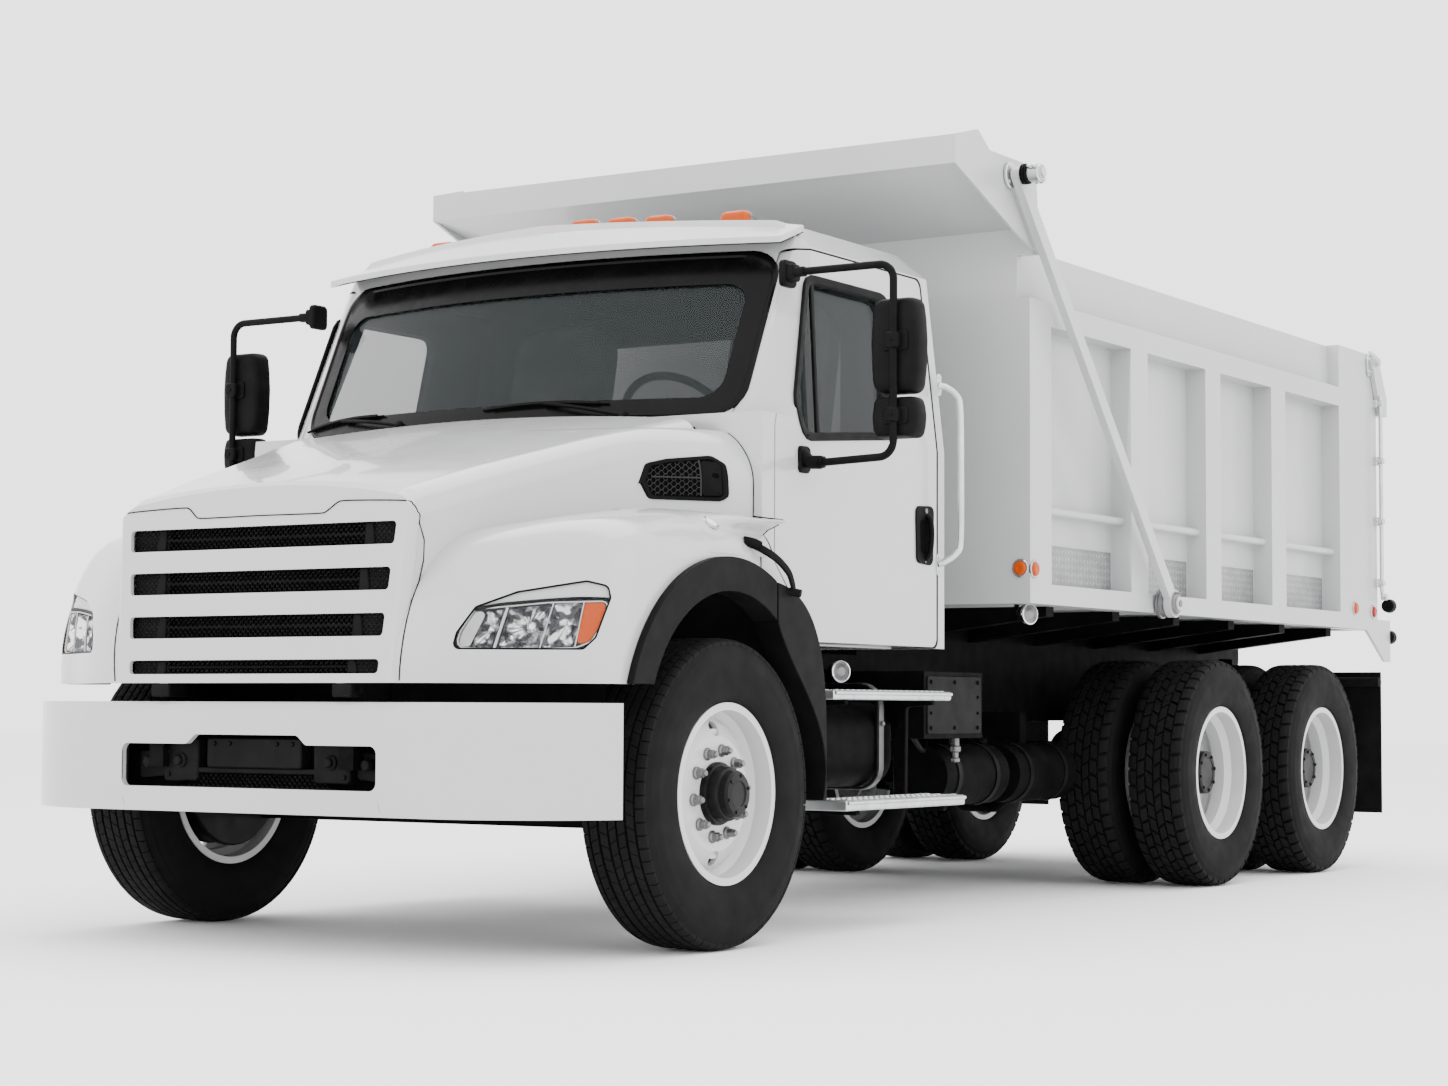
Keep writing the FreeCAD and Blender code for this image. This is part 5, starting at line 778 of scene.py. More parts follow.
def triangles_of(name):
    """Corner points of a CAD node's triangles as an array of triangles by 3 by 3."""
    mesh = frame["nodes"][name].data
    mesh.calc_loop_triangles()
    points = np.empty(len(mesh.vertices) * 3)
    mesh.vertices.foreach_get("co", points)
    index = np.empty(len(mesh.loop_triangles) * 3, int)
    mesh.loop_triangles.foreach_get("vertices", index)
    return points.reshape(-1, 3)[index].reshape(-1, 3, 3)


def struck(name, origins, direction):
    """Distance along a direction from each origin to a CAD node: every ray is solved against every
    triangle, and counts where its two edge shares and their sum lie between 0 and 1. A miss is infinite."""
    corners = triangles_of(name)
    origins = np.asarray(origins, float).reshape(-1, 3)
    way = np.asarray(direction, float) / np.linalg.norm(direction)
    edge_a, edge_b = corners[:, 1] - corners[:, 0], corners[:, 2] - corners[:, 0]
    across = np.cross(way, edge_b)
    scale = (edge_a * across).sum(1)
    keep = np.abs(scale) > 1e-12
    corners, edge_a, edge_b, across, scale = (v[keep] for v in (corners, edge_a, edge_b, across, scale))
    reach = np.full(len(origins), np.inf)
    for start in range(0, len(origins), 200):
        offset = origins[start:start + 200, None] - corners[None, :, 0]
        share_a = (offset * across).sum(2) / scale
        normal = np.cross(offset, edge_a)
        share_b = (normal @ way) / scale
        length = (normal * edge_b).sum(2) / scale
        inside = (share_a >= -1e-6) & (share_b >= -1e-6) & (share_a + share_b <= 1 + 1e-6) & (length > 1e-6)
        reach[start:start + 200] = np.where(inside, length, np.inf).min(1)
    return reach


def seated(name, origins, direction, lift=0.0):
    """The origins moved along the direction onto a CAD node, short of it by the lift."""
    origins = np.asarray(origins, float).reshape(-1, 3)
    way = np.asarray(direction, float) / np.linalg.norm(direction)
    reach = struck(name, origins, way)
    if not np.isfinite(reach).all():
        raise RuntimeError("a ray misses " + name)
    return origins + way * (reach - lift)[:, None]


def resampled(outline, count):
    """A closed outline as that many points at even distances along it."""
    outline = np.asarray(outline, float)
    closed = np.concatenate([outline, outline[:1]])
    along = np.concatenate([[0], np.cumsum(np.linalg.norm(np.diff(closed, axis=0), axis=1))])
    places = np.linspace(0, along[-1], count, endpoint=False)
    return np.stack([np.interp(places, along, closed[:, axis]) for axis in range(outline.shape[1])], 1)


# Headlamps: places are metres along the lamp's front from its inner end, height, and depth behind the skin

LAMP_START = from_axle((923, 762, 0))
LAMP_WAY = np.array([-202, 351, 0]) / math.hypot(202, 351)
LAMP_OUT = np.array([LAMP_WAY[1], -LAMP_WAY[0], 0])
LAMP_OUTLINE = [(0.0, 0.966), (0.014, 1.020), (0.072, 1.1005), (0.200, 1.148), (0.415, 1.183),
                (0.482, 1.168), (0.491, 1.129), (0.448, 1.003), (0.410, 0.966)]
LAMP_LINE = [(0.052, 1.088), (0.110, 1.099), (0.168, 1.108), (0.292, 1.119), (0.395, 1.125), (0.489, 1.124)]
LAMP_CELLS = {"side": [(0.029, 1.021), (0.017, 0.976), (0.056, 0.976), (0.106, 1.082), (0.071, 1.086)],
              "inner": [(0.108, 1.084), (0.058, 0.975), (0.122, 0.972), (0.165, 1.092)],
              "main": [(0.177, 1.092), (0.145, 0.972), (0.271, 0.973), (0.311, 1.107)],
              "turn": [(0.316, 1.108), (0.276, 0.973), (0.380, 0.978), (0.405, 1.112)],
              "amber": [(0.411, 1.112), (0.385, 0.979), (0.426, 0.993), (0.453, 1.035), (0.471, 1.085),
                        (0.474, 1.113)]}
# A bowl is its cell, its middle, its depth, its flutes, and its bulb's place, radius and depth
LAMP_BOWLS = (("inner", (0.120, 1.028), 0.034, 14, (0.120, 1.028), 0.011, 0.040),
              ("main", (0.232, 1.036), 0.046, 22, (0.246, 1.037), 0.016, 0.044),
              ("turn", (0.352, 1.045), 0.034, 16, (0.362, 1.047), 0.010, 0.040))
LAMP_BROW = LAMP_LINE + [(0.490, 1.130), (0.482, 1.166), (0.415, 1.180), (0.200, 1.146), (0.074, 1.101)]
LAMP_WINDOW = [(0.026, 1.021), (0.014, 0.972), (0.2, 0.966), (0.385, 0.973), (0.431, 0.991), (0.458, 1.034),
               (0.477, 1.085), (0.480, 1.118), (0.292, 1.112), (0.169, 1.100), (0.069, 1.091)]
LAMP_DIVIDERS = (((0.171, 1.096), (0.133, 0.970), 0.0048), ((0.3135, 1.110), (0.2735, 0.970), 0.0022),
                 ((0.408, 1.114), (0.3825, 0.975), 0.0022))
LAMP_SHADE = [(0.022, 1.022), (0.008, 0.968), (0.2, 0.961), (0.388, 0.968), (0.436, 0.988), (0.464, 1.032),
              (0.483, 1.085), (0.486, 1.122)]


def lamp_fit():
    """The lamp's skin as a smooth sheet: rays along the lamp's view measure its distance on a grid, and a
    sum of powers of the two places up to the fourth is fitted to it by least squares."""
    along, height = (v.ravel() for v in np.meshgrid(np.linspace(0.02, 0.475, 26),
                                                    np.linspace(0.975, 1.170, 14)))
    origins = LAMP_START + along[:, None] * LAMP_WAY + height[:, None] * [0, 0, 1] + LAMP_OUT * 0.4
    reach = struck("headlamps", origins, -LAMP_OUT)
    hit = np.isfinite(reach) & (reach < 0.6)
    return np.linalg.lstsq(lamp_powers(along[hit], height[hit]), 0.4 - reach[hit], rcond=None)[0]


def lamp_powers(along, height):
    """Products of powers of the two scaled places, up to the fourth in all."""
    a, b = along / 0.5, (height - 1.07) / 0.12
    return np.stack([a ** i * b ** j for i in range(5) for j in range(5 - i)], -1)


def lamp_place(places, depth, fit):
    """Points of the lamp from places along and up, at a depth behind its skin."""
    places = np.asarray(places, float)
    along, height = places[..., 0], places[..., 1]
    out = lamp_powers(along, height) @ fit + 0.0035 - depth
    up = height[..., None] * np.array([0, 0, 1.0])
    return LAMP_START + along[..., None] * LAMP_WAY + up + out[..., None] * LAMP_OUT


def lamp_sheet(outline, depth, thickness, fit, count=72):
    """A curved pane: rings that shrink from the outline to its middle, in front and again behind."""
    outline = resampled(arc_corners(outline, 0.012), count)
    centre = outline.mean(0)
    shares = np.array([0.03, 0.3, 0.55, 0.8, 0.95, 1.0])
    rings = centre + shares[:, None, None] * (outline - centre)
    return capped(np.concatenate([lamp_place(rings, depth, fit),
                                  lamp_place(rings[::-1], depth + thickness, fit)]))


def lamp_cup(outline, depth, floor, wall, fit, count=72):
    """An open cup behind the pane: its floor inside, its rim, and its outside."""
    outline = resampled(arc_corners(outline, 0.014), count)
    small = inset(outline, wall)
    return capped(np.stack([lamp_place(small, floor, fit), lamp_place(small, depth, fit),
                            lamp_place(outline, depth, fit), lamp_place(outline, floor + wall, fit)]))


def lamp_bowl(cell, centre, rim, depth, flutes, fit, count=96):
    """A reflector that fills its cell: depth grows as 1 minus the square of the share from the middle to
    the rim, with shallow flutes round its front."""
    outline = resampled(arc_corners(cell, 0.01), count)
    centre = np.asarray(centre)
    shares = np.array([1.0, 0.93, 0.82, 0.68, 0.52, 0.36, 0.2, 0.08])
    rings = centre + shares[:, None, None] * (outline - centre)
    turn = np.arctan2(outline[:, 1] - centre[1], outline[:, 0] - centre[0])
    ripple = 0.0022 * np.abs(np.sin(turn * flutes / 2))[None] * (shares * (1 - shares))[:, None] * 4
    front = lamp_place(rings, rim + depth * (1 - shares[:, None] ** 2) + ripple, fit)
    back = lamp_place(rings[::-1], rim + 0.004 + depth * (1 - shares[::-1, None] ** 2), fit)
    return capped(np.concatenate([front[::-1], back[::-1]]))


def lamp_strip(line, depth, width, height, fit, steps=6):
    """A bar that follows a line of places on the lamp."""
    line = np.asarray(line, float)
    path = lamp_place(smooth_path(np.concatenate([line, np.zeros((len(line), 1))], 1), steps)[:, :2],
                      depth, fit)
    return sweep(bar_section(width, height, width * 0.5), path, LAMP_OUT)


def ring_strip(outline, depth, width, height, fit, count=110):
    """A bar that goes all round an outline on the lamp, with a rounded section."""
    path = lamp_place(resampled(arc_corners(outline, 0.022), count), depth, fit)
    tangent = np.roll(path, -1, 0) - np.roll(path, 1, 0)
    tangent /= np.linalg.norm(tangent, axis=1, keepdims=True)
    side = np.cross(tangent, LAMP_OUT)
    side /= np.linalg.norm(side, axis=1, keepdims=True)
    rise = np.cross(side, tangent)
    section = bar_section(width, height, width * 0.6)
    points = path[:, None] + section[None, :, 0:1] * side[:, None] + section[None, :, 1:2] * rise[:, None]
    return grid(points, wrap_rows=True, wrap_columns=True)


class TRUCK_OT_headlamps(bpy.types.Operator):
    """Headlamps: clear pane, dark frame, fluted reflectors, bulbs and the amber corner"""
    bl_idname = "truck.headlamps"
    bl_label = "Headlamps"

    def execute(self, context):
        fit = lamp_fit()
        bowls, bulbs = [], []
        for cell, middle_at, rim_depth, flutes, bulb_at, radius, bulb_depth in LAMP_BOWLS:
            bowls.append(lamp_bowl(LAMP_CELLS[cell], middle_at, 0.012, rim_depth, flutes, fit))
            profile = [(radius * 0.55, 0), (radius, 0.004), (radius, 0.012), (radius * 0.82, 0.019),
                       (radius * 0.4, 0.024), (radius * 0.1, 0.0252)]
            bulbs.append(lathe(profile, lamp_place(bulb_at, bulb_depth, fit), LAMP_OUT, 20))
        bars = [ring_strip(LAMP_WINDOW, 0.0095, 0.0026, 0.003, fit)]
        for top, foot, width in LAMP_DIVIDERS:
            half_way = ((top[0] + foot[0]) / 2, (top[1] + foot[1]) / 2)
            bars.append(lamp_strip([top, half_way, foot], 0.010, width, 0.004, fit))
        dark_lines = [lamp_strip(LAMP_LINE, 0.0070, 0.0058, 0.0024, fit),
                      lamp_strip(LAMP_SHADE, 0.0070, 0.0042, 0.0024, fit)]
        frames = ring_strip(LAMP_OUTLINE, 0.0035, 0.0058, 0.0036, fit)
        panes = lamp_sheet(LAMP_OUTLINE, 0.0035, 0.003, fit)
        cups = lamp_cup(LAMP_OUTLINE, 0.0070, 0.0700, 0.004, fit)
        brows = lamp_sheet(LAMP_BROW, 0.0105, 0.004, fit)
        sides = lamp_sheet(LAMP_CELLS["side"], 0.016, 0.004, fit)
        ambers = lamp_sheet(LAMP_CELLS["amber"], 0.0085, 0.006, fit)
        for name, surface, finish, slot, stands_for in (
                ("frames", frames, "seal_black", "rubber", ()),
                ("panes", panes, "lamp_pane", "lens", ("headlamps",)),
                ("cups", cups, "lamp_grey", "black_plastic", ()),
                ("brows", brows, "lamp_brow", "lens", ()),
                ("side_panels", sides, "lamp_silver", "black_plastic", ()),
                ("ambers", ambers, "amber_glow", "amber_lens", ()),
                ("reflectors", joined(bowls), "lamp_chrome", "rod_chrome", ()),
                ("bulbs", joined(bulbs), "mirror_chrome", "rod_chrome", ()),
                ("bars", joined(bars), "lamp_silver", "black_plastic", ()),
                ("dark_lines", joined(dark_lines), "seal_black", "rubber", ())):
            piece("headlamp_" + name, both(surface), finish, "hood", 40.0, stands_for)
        return {"FINISHED"}


# Front

FLANK_FRONT = 2.888
FLANK_REAR = 2.4785
HOOD_END = 2.565
FLANK_LOW = 1.296
FLANK_HIGH = 1.735


def flank_rise(x):
    """How far the side has swelled at x: 0 at its front, 1 at the cab, a smooth step between."""
    share = np.clip((FLANK_FRONT - x) / (FLANK_FRONT - FLANK_REAR - 0.03), 0, 1)
    return share * share * (3 - 2 * share)


def flank_swell(z):
    """The most that the side swells at a height: nothing on the fender, full above, fading at the top."""
    over = np.clip((z - 1.375) / 0.05, 0, 1)
    under = np.clip((1.765 - z) / 0.22, 0, 1)
    return 0.142 * over * over * (3 - 2 * over) * (1 - (1 - under) ** 2.2)


def hood_side(x, z):
    """Half width of the CAD hood at grids of x and z, by rays from outside; past its end, the last."""
    origins = np.stack([np.maximum(x, HOOD_END), np.full_like(x, 1.4), z], -1)
    return 1.4 - struck("hood_shell", origins, (0, -1, 0)).reshape(x.shape)


def flank_points(stations=30, levels=56):
    """Points of the swollen side between hood and cab, rows along x and columns along z."""
    x, z = np.meshgrid(np.linspace(FLANK_FRONT, FLANK_REAR, stations),
                       np.linspace(FLANK_LOW, FLANK_HIGH, levels), indexing="ij")
    past = np.clip(HOOD_END - x, 0, 1)
    side = hood_side(x, z) + past * np.where(z > 1.41, 0.33, 0.0)
    lift = 0.0015 * np.clip((FLANK_FRONT - x) / 0.02, -1, 1)
    return np.stack([x, side + lift + flank_swell(z) * flank_rise(x), z], -1)


def flank_panel(points):
    """The side as a closed skin: its points outside and the same points 12 mm further in."""
    inner = points - [0, 0.012, 0]
    return capped(np.concatenate([points, inner[:, ::-1]], 1))


class Surface:
    """The half width of a grid of side points at any x and z, linear between its rows and columns."""

    def __init__(self, points):
        self.points = points

    def at(self, x, z):
        """The half width at arrays of x and z."""
        rows, columns = self.points.shape[:2]
        first, last = self.points[0, 0], self.points[-1, -1]
        u = np.clip((x - first[0]) / (last[0] - first[0]) * (rows - 1), 0, rows - 1.001)
        v = np.clip((z - first[2]) / (last[2] - first[2]) * (columns - 1), 0, columns - 1.001)
        i, j = u.astype(int), v.astype(int)
        u, v = u - i, v - j
        y = self.points[..., 1]
        low = y[i, j] * (1 - u) + y[i + 1, j] * u
        high = y[i, j + 1] * (1 - u) + y[i + 1, j + 1] * u
        return low * (1 - v) + high * v


def laid(surface, side, lift=0.0):
    """A flat surface in x and z with its depth in y, laid on the side by adding the half width there."""
    verts = surface[0].copy()
    verts[:, 1] += side.at(verts[:, 0], verts[:, 2]) + lift
    return verts, surface[1]


def banded(outer, inner, height, foot=0.0):
    """A flat frame in x and z between two outlines of one length, raised in y with rounded rims."""
    rings = [(outer, foot), (outer, height * 0.6), (outer * 0.93 + inner * 0.07, height),
             (outer * 0.15 + inner * 0.85, height), (inner, height * 0.5), (inner, foot)]
    points = np.stack([np.stack([ring[:, 0], np.full(len(ring), level), ring[:, 1]], -1)
                       for ring, level in rings])
    return grid(points, wrap_rows=True, wrap_columns=True)


def inside(outline, x, z):
    """Which points lie in a closed outline, by counting the sides that a ray crosses."""
    ends = np.roll(outline, -1, 0)
    x, z = x[..., None], z[..., None]
    spans = (outline[:, 1] > z) != (ends[:, 1] > z)
    run = np.where(np.abs(ends[:, 1] - outline[:, 1]) < 1e-12, 1e-12, ends[:, 1] - outline[:, 1])
    cross = outline[:, 0] + (z - outline[:, 1]) / run * (ends[:, 0] - outline[:, 0])
    return ((spans & (x < cross)).sum(-1) % 2) == 1


def woven(low, high, pitch, wire, outline=None):
    """Woven wire in x and z: rows of wires that swing by half a row, every second one the other way, so
    that each touches its neighbours. Wires are four-sided and kept where they lie in the outline."""
    count = max(2, int(round((high[1] - low[1]) / pitch)))
    steps = max(4, int(round((high[0] - low[0]) / pitch)) * 4)
    x = np.linspace(low[0], high[0], steps + 1)
    rows = low[1] + (np.arange(count) + 0.5) * (high[1] - low[1]) / count
    wave = np.clip(1.6 * np.sin(2 * np.pi * (x - low[0]) / (2 * pitch)), -1, 1) * pitch * 0.5
    sign = np.where(np.arange(count) % 2 == 0, 1.0, -1.0)[:, None]
    z = rows[:, None] + sign * wave[None]
    x = np.broadcast_to(x, z.shape)
    keep = np.ones(z.shape, bool) if outline is None else inside(outline, x, z)
    corners = np.array([[0, wire], [wire, 0], [0, -wire], [-wire, 0]])
    points = np.stack([np.broadcast_to(x[..., None], z.shape + (4,)),
                       np.broadcast_to(corners[:, 0], z.shape + (4,)), z[..., None] + corners[:, 1]], -1)
    surfaces = []
    for row in range(count):
        marks = np.flatnonzero(np.diff(np.concatenate([[0], keep[row].astype(int), [0]])))
        for start, end in zip(marks[::2], marks[1::2]):
            if end - start > 2:
                surfaces.append(capped(points[row, start:end]))
    return joined(surfaces)


def swapped(surface):
    """The surface with its x and y exchanged, so that what stood across the truck now faces along it."""
    return surface[0][:, [1, 0, 2]], [group[:, ::-1] for group in surface[1]]


def line_on(node, points, direction, radius=0.0016, sink=0.3):
    """A thin dark bead along points seated on a CAD node, sunk by a share of its radius."""
    place = seated(node, points, direction, radius * (1 - 2 * sink))
    return tube(place, radius, 6)


MESH_PITCH = 0.0105
VENT = ((48, 1551), (52, 1523), (28, 1606), (-30, 1624), (-150, 1640), (-186, 1612), (-190, 1500),
        (-168, 1484), (20, 1486))


class TRUCK_OT_flanks(bpy.types.Operator):
    """The hood's swollen sides up to the cab, with their rear seals and the air vents"""
    bl_idname = "truck.flanks"
    bl_label = "Hood flanks"

    def execute(self, context):
        points = flank_points()
        side = Surface(points)
        piece("hood_flanks", both(flank_panel(points)), "cab_paint", "hood", 50.0)
        edge = points[-1, ::2] + [-0.0030, -0.0004, 0]
        piece("hood_rear_seals", both(tube(edge, 0.0026, 6)), "seal_black", "chassis")
        outer = resampled(arc_corners([from_axle((x, 0, z))[[0, 2]] for x, z in VENT], 0.016, 5), 72)
        inner = inset(outer, 0.013)
        frame_part = laid(banded(outer, inner, 0.009, -0.004), side)
        # painted shade: a near-black bed behind the vent's mesh stands for the shade inside the vent
        floor = np.stack([inner[:, 0], np.full(len(inner), 0.0015), inner[:, 1]], -1)
        centre = floor.mean(0)
        rings = centre + (floor - centre) * np.linspace(1.0, 0.02, 9)[:, None, None]
        bed = laid(capped(np.concatenate([rings[:1] - [0, 0.004, 0], rings])), side)
        piece("vent_beds", both(bed), "void_black", "hood")
        low, high = inner.min(0), inner.max(0)
        split = low[0] + (high[0] - low[0]) * 0.30
        wire = woven(np.array([split, low[1]]), high, MESH_PITCH, 0.0016, inner)
        wires = laid(moved(wire, (0, 0.004, 0)), side)
        level = (low[1] + high[1]) / 2
        rib_x = np.linspace(split, high[0] - 0.02, 12)
        rib = np.stack([rib_x, side.at(rib_x, np.full(12, level)) + 0.006, np.full(12, level)], -1)
        post_z = np.linspace(low[1] + 0.004, high[1] - 0.004, 10)
        post = np.stack([np.full(10, split), side.at(np.full(10, split), post_z) + 0.005, post_z], -1)
        plate_outline = arc_corners([(low[0] + 0.004, low[1] + 0.006), (split - 0.004, low[1] + 0.004),
                                     (split - 0.004, high[1] - 0.004), (low[0] + 0.004, high[1] - 0.010)],
                                    0.01, 4)
        plate = laid(prism(plate_outline, "xz", 0.0, 0.006, 0.0015), side)
        screw_at = np.array([low[0] + 0.012, 0, low[1] + 0.016])
        screw_at[1] = side.at(screw_at[:1], screw_at[2:])[0] + 0.005
        screw = lathe([(0.005, 0), (0.005, 0.0015), (0.0035, 0.003)], screw_at, (0.3, 1, 0), 12)
        piece("vent_frames", both(joined([frame_part, plate, screw])), "black_plastic", "hood")
        piece("vent_mesh", both(joined([wires, tube(rib, 0.003, 8), tube(post, 0.003, 8)])),
              "mesh_black", "hood")
        return {"FINISHED"}


def fender_marker():
    """A small oval marker: a chromed rim round a pale domed lens, lying on the fender's shoulder."""
    centre = seated("hood_shell", [(2.797, 1.139, 1.6)], (0, 0, -1), -0.002)[0]
    out = np.array([0, 0.72, 0.70])
    rim = lathe([(0.030, 0), (0.030, 0.006), (0.027, 0.009), (0.023, 0.009), (0.022, 0.006)], centre, out,
                32)
    dome = lathe([(0.022, 0.003), (0.020, 0.009), (0.012, 0.012), (0.004, 0.013)], centre, out, 24)
    stretch = np.array([1.25, 1, 1])
    return [((part[0] - centre) * stretch + centre, part[1]) for part in (rim, dome)]


def rubber_latch():
    """A rubber hood latch: a strap from the fender down to the cab, with a pull tab and two anchors."""
    path = smooth_path(from_axle([(-150, 1182, 1338), (-187, 1202, 1322), (-250, 1222, 1292),
                                  (-310, 1232, 1250), (-345, 1228, 1212), (-362, 1222, 1190)]), 6)
    strap_part = sweep(bar_section(0.014, 0.006, 0.004), path, (0, 1, 0.2))
    knob = tube(smooth_path(from_axle([(-352, 1205, 1186), (-362, 1228, 1182), (-368, 1248, 1178)]), 4),
                0.014, 12)
    head = tube(smooth_path(from_axle([(-128, 1168, 1346), (-150, 1190, 1340), (-172, 1204, 1330)]), 4),
                0.017, 12)
    return joined([strap_part, knob, head])


class TRUCK_OT_fender_parts(bpy.types.Operator):
    """Oval markers and rubber latches at the ends of the fenders"""
    bl_idname = "truck.fender_parts"
    bl_label = "Fender parts"

    def execute(self, context):
        rim, dome = fender_marker()
        piece("fender_marker_rims", both(rim), "lamp_silver", "hood")
        piece("fender_marker_lenses", both(dome), "lamp_pale", "hood")
        piece("hood_latches", both(rubber_latch()), "rubber", "hood")
        return {"FINISHED"}


# A slot is its lowest and highest place and its half width, in millimetres
SLOTS = ((1297, 1369, 566), (1153, 1225, 555), (1009, 1081, 540), (892, 937, 528))
NOSE_LINE = [(603, 870), (612, 1000), (621, 1180), (629, 1360), (627, 1395), (612, 1421), (590, 1431),
             (470, 1437), (345, 1440), (318, 1436), (300, 1424), (278, 1408), (255, 1402), (150, 1402),
             (0, 1403)]


def nose_x(z):
    """Place of the nose's face at a height, from the front axle in metres: a plane leaning back."""
    return 0.991 - 0.0795 * (z - 0.863)


def on_nose(surface, depth):
    """A surface made at x = 0, leaned like the nose's face and set at a depth behind it."""
    verts = surface[0].copy()
    verts[:, 0] += nose_x(verts[:, 2]) - depth + FRONT_AXLE[0]
    return verts, surface[1]


class TRUCK_OT_grille(bpy.types.Operator):
    """Woven wire and side cheeks in the four slots, a dark sheet of painted shade behind them, and the
    surround's shut line
    """
    bl_idname = "truck.grille"
    bl_label = "Grille"

    def execute(self, context):
        wires, cheeks, bars = [], [], []
        for low, high, half in np.array(SLOTS) / 1000:
            wire = woven(np.array([-half, low]), np.array([half, high]), MESH_PITCH, 0.0014)
            wires.append(on_nose(swapped(wire), 0.026))
            for side in (1, -1):
                edge = side * half
                cheek = rectangle((edge - side * 0.150, low - 0.004), (edge + side * 0.004, high + 0.004),
                                  0.006, 3)
                ridge = arc_corners([(edge - side * 0.142, low), (edge - side * 0.100, low),
                                     (edge - side * 0.112, high), (edge - side * 0.142, high)], 0.006, 3)
                cheeks.append(on_nose(prism(cheek, "yz", 0, 0.006, 0.002), 0.034))
                cheeks.append(on_nose(prism(ridge, "yz", 0.004, 0.014, 0.003), 0.034))
            level = (low + high) / 2
            bar = np.stack([nose_x(np.full(9, level)) - 0.028 + FRONT_AXLE[0], np.linspace(-half, half, 9),
                            np.full(9, level)], -1)
            bars.append(tube(bar, 0.0035, 8))
        piece("grille_wire", joined(wires), "mesh_black", "hood", 60.0, ("grille_screen",))
        # painted shade: one near-black sheet behind all four slots stands for the shade inside the nose
        back = prism(rectangle((-0.585, 0.872), (0.585, 1.392), 0.02, 4), "yz", 0, 0.004, 0.001)
        piece("grille_back", on_nose(back, 0.062), "void_black", "hood")
        piece("grille_cheeks", joined(cheeks + bars), "black_plastic", "hood")
        lug = block((3.668, 0.345, 0.818), (3.756, 0.425, 0.862), 0.010, "xz", 0.004)
        lug = joined([lug, bolt((3.712, 0.426, 0.842), OUT, 0.010, 0.008)])
        piece("hood_hinge_covers", both(lug), "black_plastic", "hood")
        half_line = np.array(NOSE_LINE) / 1000
        line = np.concatenate([half_line, half_line[-2::-1] * [-1, 1]])
        line = smooth_path(np.concatenate([np.full((len(line), 1), 4.0), line], 1), 3)
        piece("nose_shut_line", line_on("hood_shell", line, (-1, 0, 0), 0.0022, 0.15), "seal_black", "hood")
        return {"FINISHED"}


class TRUCK_OT_bumper_parts(bpy.types.Operator):
    """Shut lines, woven panel, tow pins and the bracket in the bumper's opening, with a sheet of painted
    shade behind it
    """
    bl_idname = "truck.bumper_parts"
    bl_label = "Bumper parts"

    def execute(self, context):
        lines = []
        for side in (1, -1):
            points = np.stack([np.full(12, 4.2), np.full(12, side * 0.541),
                               np.linspace(0.462, 0.790, 12)], -1)
            lines.append(line_on("front_bumper", points, (-1, 0, 0), 0.0040, 0.97))
        piece("bumper_shut_lines", joined(lines), "seal_black", "chassis")
        # painted shade: a near-black sheet behind the opening stands for the shade inside it
        back = prism(rectangle((-0.60, 0.500), (0.60, 0.740), 0.02, 4), "yz", 3.668, 3.674, 0.001)
        piece("bumper_back", back, "void_black", "chassis")
        wire = swapped(woven(np.array([-0.30, 0.522]), np.array([0.30, 0.575]), MESH_PITCH, 0.0014))
        piece("bumper_mesh", moved(wire, (3.705, 0, 0)), "mesh_black", "chassis", 60.0)
        parts = [block((3.690, -0.335, 0.520), (3.712, 0.335, 0.530), 0.004, "xz", 0.002),
                 block((3.690, -0.335, 0.572), (3.716, 0.335, 0.590), 0.004, "xz", 0.002),
                 block((3.676, -0.20, 0.590), (3.728, 0.20, 0.686), 0.010, "yz", 0.004)]
        for side in (1, -1):
            ear = arc_corners([(side * 0.245, 0.545), (side * 0.395, 0.545), (side * 0.395, 0.662),
                               (side * 0.330, 0.672), (side * 0.245, 0.690)], 0.014, 4)
            low_ear = arc_corners([(side * 0.405, 0.560), (side * 0.520, 0.552), (side * 0.520, 0.640),
                                   (side * 0.405, 0.650)], 0.014, 4)
            pin = lathe([(0.019, 0), (0.019, 0.026), (0.015, 0.032), (0.007, 0.034)],
                        (3.70, side * 0.462, 0.606), AHEAD, 20)
            hook = lathe([(0.024, 0), (0.024, 0.010), (0.016, 0.014), (0.016, 0.024), (0.012, 0.028)],
                         (3.716, side * 0.318, 0.612), AHEAD, 20)
            parts += [prism(ear, "yz", 3.676, 3.720, 0.004), prism(low_ear, "yz", 3.676, 3.700, 0.004),
                      pin, hook]
            parts += [bolt((3.719, side * 0.372, z), AHEAD, 0.008, 0.007) for z in (0.566, 0.640)]
            parts += [bolt((3.727, side * y, 0.668), AHEAD, 0.006, 0.005) for y in (0.165, 0.10)]
        piece("bumper_bracket", joined(parts), "black_plastic", "chassis")
        return {"FINISHED"}


# Cab

SCREEN_NORMAL = np.array([0.908, 0.0, 0.418])
SCREEN_ARC = 2.703
SCREEN_BACK = 0.215
SCREEN_LEAN = 0.46
SCREEN_FOOT = 1.8


def screen_at(y, z, lift=0.0):
    """Points on the windshield at grids of y and z: an arc across, leaning back with the height."""
    bow = SCREEN_ARC - np.sqrt(SCREEN_ARC ** 2 - y ** 2)
    x = FRONT_AXLE[0] - SCREEN_BACK - bow - SCREEN_LEAN * (z - SCREEN_FOOT)
    return np.stack([x, y, z], -1) + SCREEN_NORMAL * np.asarray(lift)[..., None]


def screen_border(outer, inner):
    """The printed border and gasket: rings between two outlines on the screen, each with its own lift."""
    steps = ((0.0, -0.010), (0.0, 0.004), (0.05, 0.0085), (0.14, 0.0085), (0.19, 0.0035), (0.4, 0.0035),
             (0.6, 0.0035), (0.8, 0.0035), (1.0, 0.0030), (1.0, -0.004))
    rings = [screen_at(*(outer * (1 - share) + inner * share).T, np.full(len(outer), lift))
             for share, lift in steps]
    return grid(np.array(rings), wrap_rows=True, wrap_columns=True)


